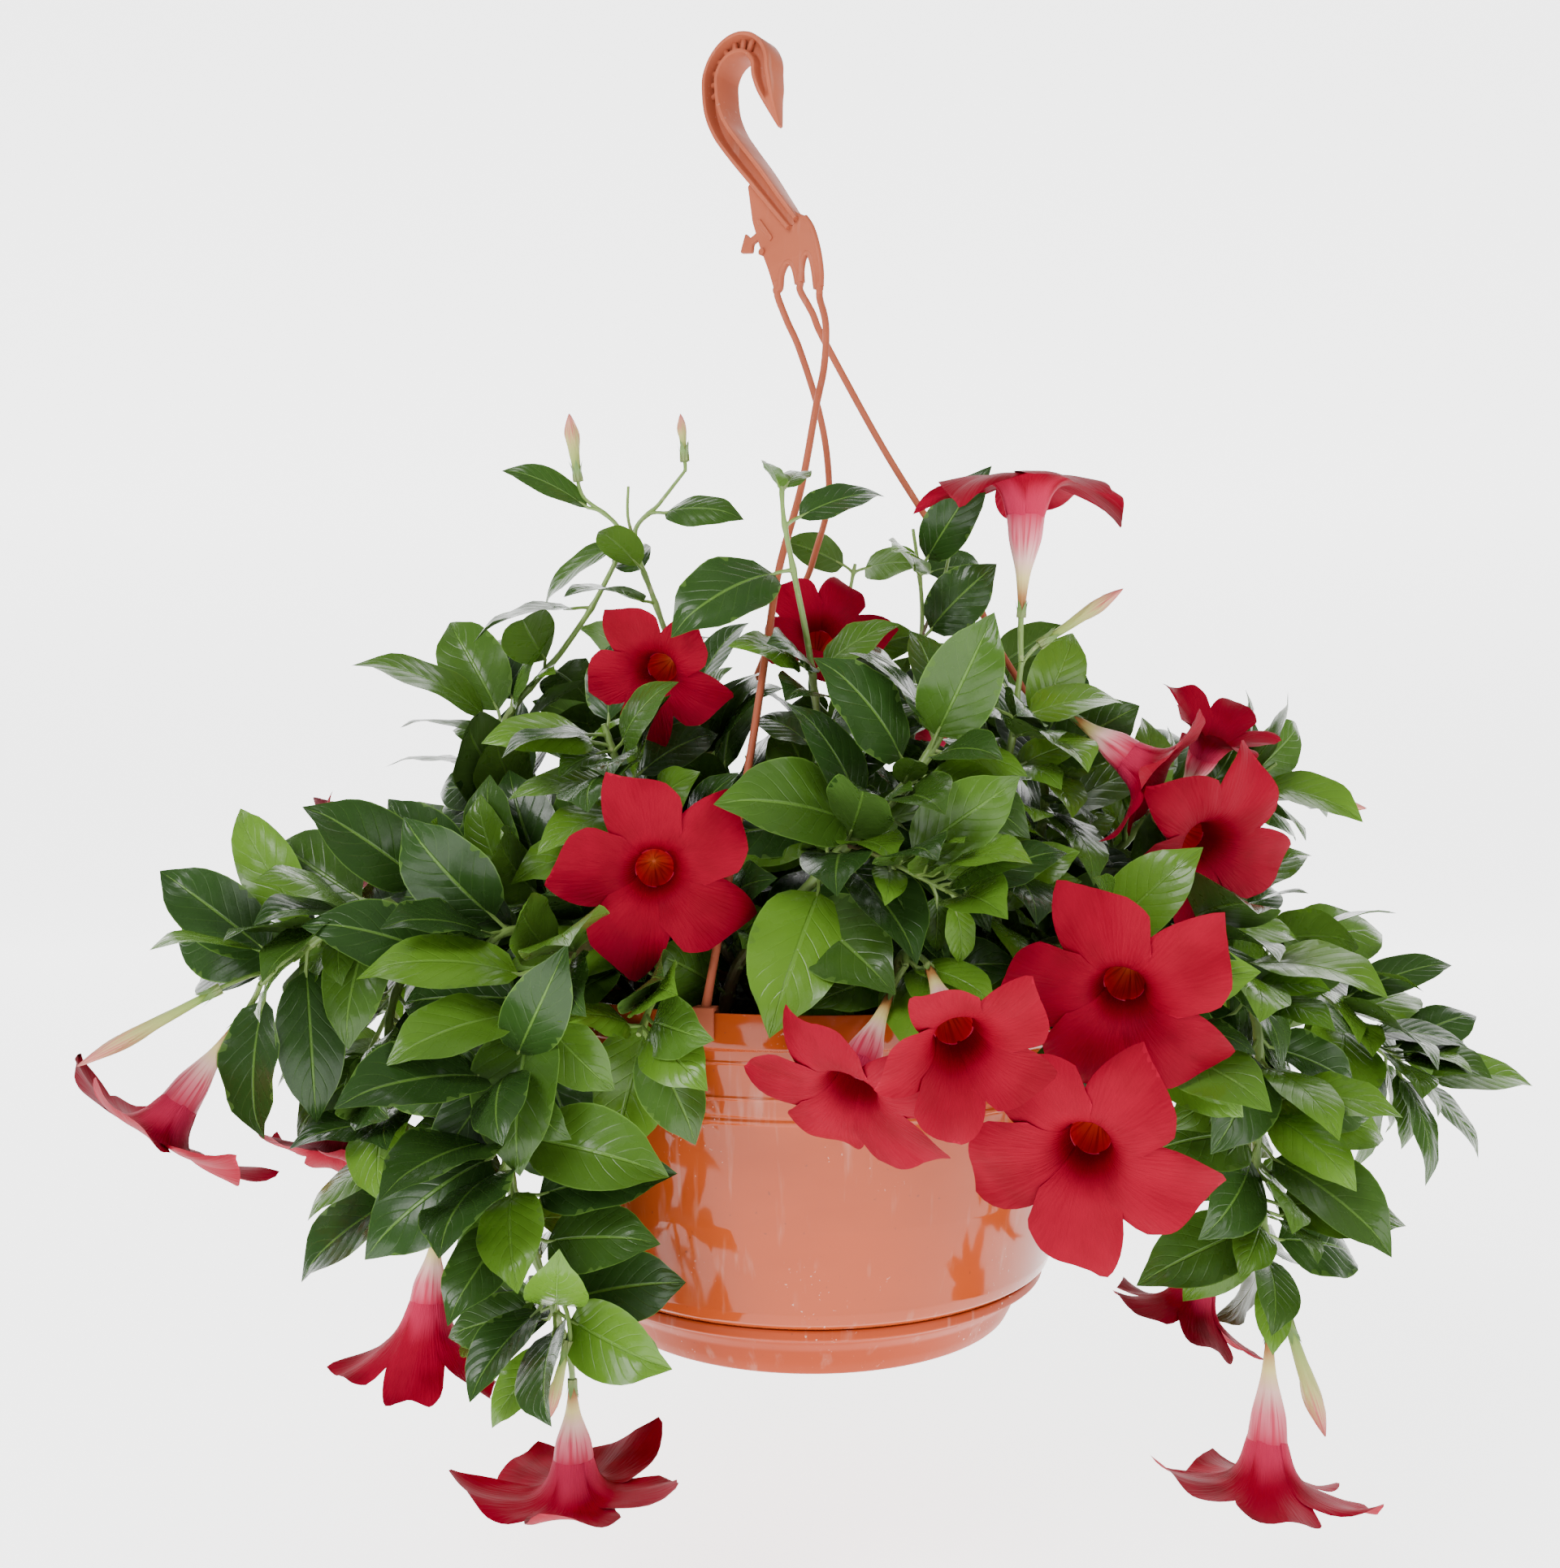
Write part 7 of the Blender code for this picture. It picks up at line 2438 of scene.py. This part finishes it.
@dataclass
class Studio:
    """Camera, soft lights, pale floor and backdrop."""

    place: Placement
    eye: tuple = (-13.6, -717.0, 252.0)
    focal_pixels: float = 1800.0
    long_side: float = 1930.0
    sensor: float = 36.0
    floor_drop: float = 60.0
    floor_half: float = 6.0
    floor_front: float = -4.0
    wall_start: float = 2.4
    wall_bend: float = 1.2
    lamps: tuple = (("key", (-1.1, -1.5, 1.1), 48.0), ("fill", (1.5, -1.4, 0.2), 14.0))
    lamp_size: float = 1.0
    lit: tuple = (0.03, 0.0, -0.45)
    world_light: float = 0.36

    def camera(self) -> None:
        """A level camera that looks along +Y, with the photograph's focal length."""
        data = bpy.data.cameras.new("camera")
        data.sensor_width = self.sensor
        data.lens = self.focal_pixels / self.long_side * self.sensor
        data.clip_start = 0.01
        item = linked("camera", data)
        item.location = self.place.offset + np.array(self.eye) * MM
        item.rotation_euler = (math.radians(90), 0, 0)
        bpy.context.scene.camera = item

    def light(self, name: str, spot: tuple, power: float) -> None:
        """A square area light at a place in metres, turned to the pot.

        Args:
            name: its name.
            spot: where it stands.
            power: in watts.
        """
        data = bpy.data.lights.new(name, "AREA")
        data.size = self.lamp_size
        data.energy = power
        item = linked(name, data)
        item.location = spot
        aim = Vector(self.lit) - Vector(spot)
        item.rotation_euler = aim.to_track_quat("-Z", "Y").to_euler()

    def build(self, low: float) -> None:
        """Set the stage.

        Args:
            low: lowest point of the object, in metres.
        """
        self.camera()
        for name, spot, power in self.lamps:
            self.light(name, spot, power)
        world = bpy.data.worlds.new("studio")
        world.use_nodes = True
        background = world.node_tree.nodes["Background"]
        background.inputs["Color"].default_value = (1, 1, 1, 1)
        background.inputs["Strength"].default_value = self.world_light
        bpy.context.scene.world = world
        floor, half, bend = low - self.floor_drop * MM, self.floor_half, self.wall_bend
        turn = np.linspace(0, np.pi / 2, 16)
        y = np.concatenate([[self.floor_front], self.wall_start + bend * np.sin(turn),
                            [self.wall_start + bend]])
        z = np.concatenate([[floor], floor + bend * (1 - np.cos(turn)), [floor + half]])
        x = np.linspace(-half, half, 9)
        grid = np.stack(np.broadcast_arrays(x[None], y[:, None], z[:, None]), -1)
        skin = Skin("stage_floor")
        skin.add(grid / MM, flip=True)
        skin.build(Placement(np.zeros(3)), [StageFinish().make()])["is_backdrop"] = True


def dress(piece: Piece, node: str, slot: str) -> None:
    """Let a piece ride on the body and stand for its node.

    Args:
        piece: the piece.
        node: the node it stands for.
        slot: its finish; not used.
    """
    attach(piece, "root")
    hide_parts(node)
    LOG.info("%s stands for %s, %d faces", piece.name, node, len(piece.data.polygons))


def main() -> None:
    """Build every piece in order."""
    logging.basicConfig(level=logging.INFO, format="%(message)s")
    packed = [list(corner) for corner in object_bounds()]
    place = Placement.from_frame(packed)
    plan = PlantPlan()
    plan.grow()
    low, high = (place.millimetres(Vector(corner)) for corner in packed)
    LOG.info("%d extra leaves", plan.fill(low, high))
    # The pot's plastic has painted shade over its rim band (band=True).
    pot_finish = PlasticFinish("terracotta_plastic", (0.37, 0.058, 0.012), (0.28, 0.040, 0.007),
                               0.2, band=True).make()
    saucer_finish = PlasticFinish("saucer_plastic", (0.33, 0.046, 0.010), (0.25, 0.034, 0.006),
                                  0.42, ior=1.2).make()
    hanger_finish = PlasticFinish("hanger_plastic", (0.36, 0.090, 0.045), (0.24, 0.050, 0.022),
                                  0.5, dust=0.15, ior=1.22).make()
    vessel = PotAndSaucer(place)
    dress(vessel.pot(pot_finish), "pot", "terracotta_plastic")
    dress(vessel.saucer(saucer_finish), "saucer", "terracotta_plastic")
    dress(SoilMound(place).build(), "soil", "soil")
    hanger = Hanger(place)
    for piece in hanger.hook(hanger_finish):
        dress(piece, "hook", "hanger_plastic")
    for name in STRAND_ROUTES:
        for piece in hanger.strand(name, hanger_finish):
            dress(piece, name, "hanger_plastic")
    for slot, makers in (("leaf", Foliage(place, plan)), ("petal", Corollas(place)),
                         ("bud", Buds(place))):
        for name, piece in makers.build():
            dress(piece, name, slot)
    Studio(place).build(packed[0][2])


if __name__ == "__main__":
    main()
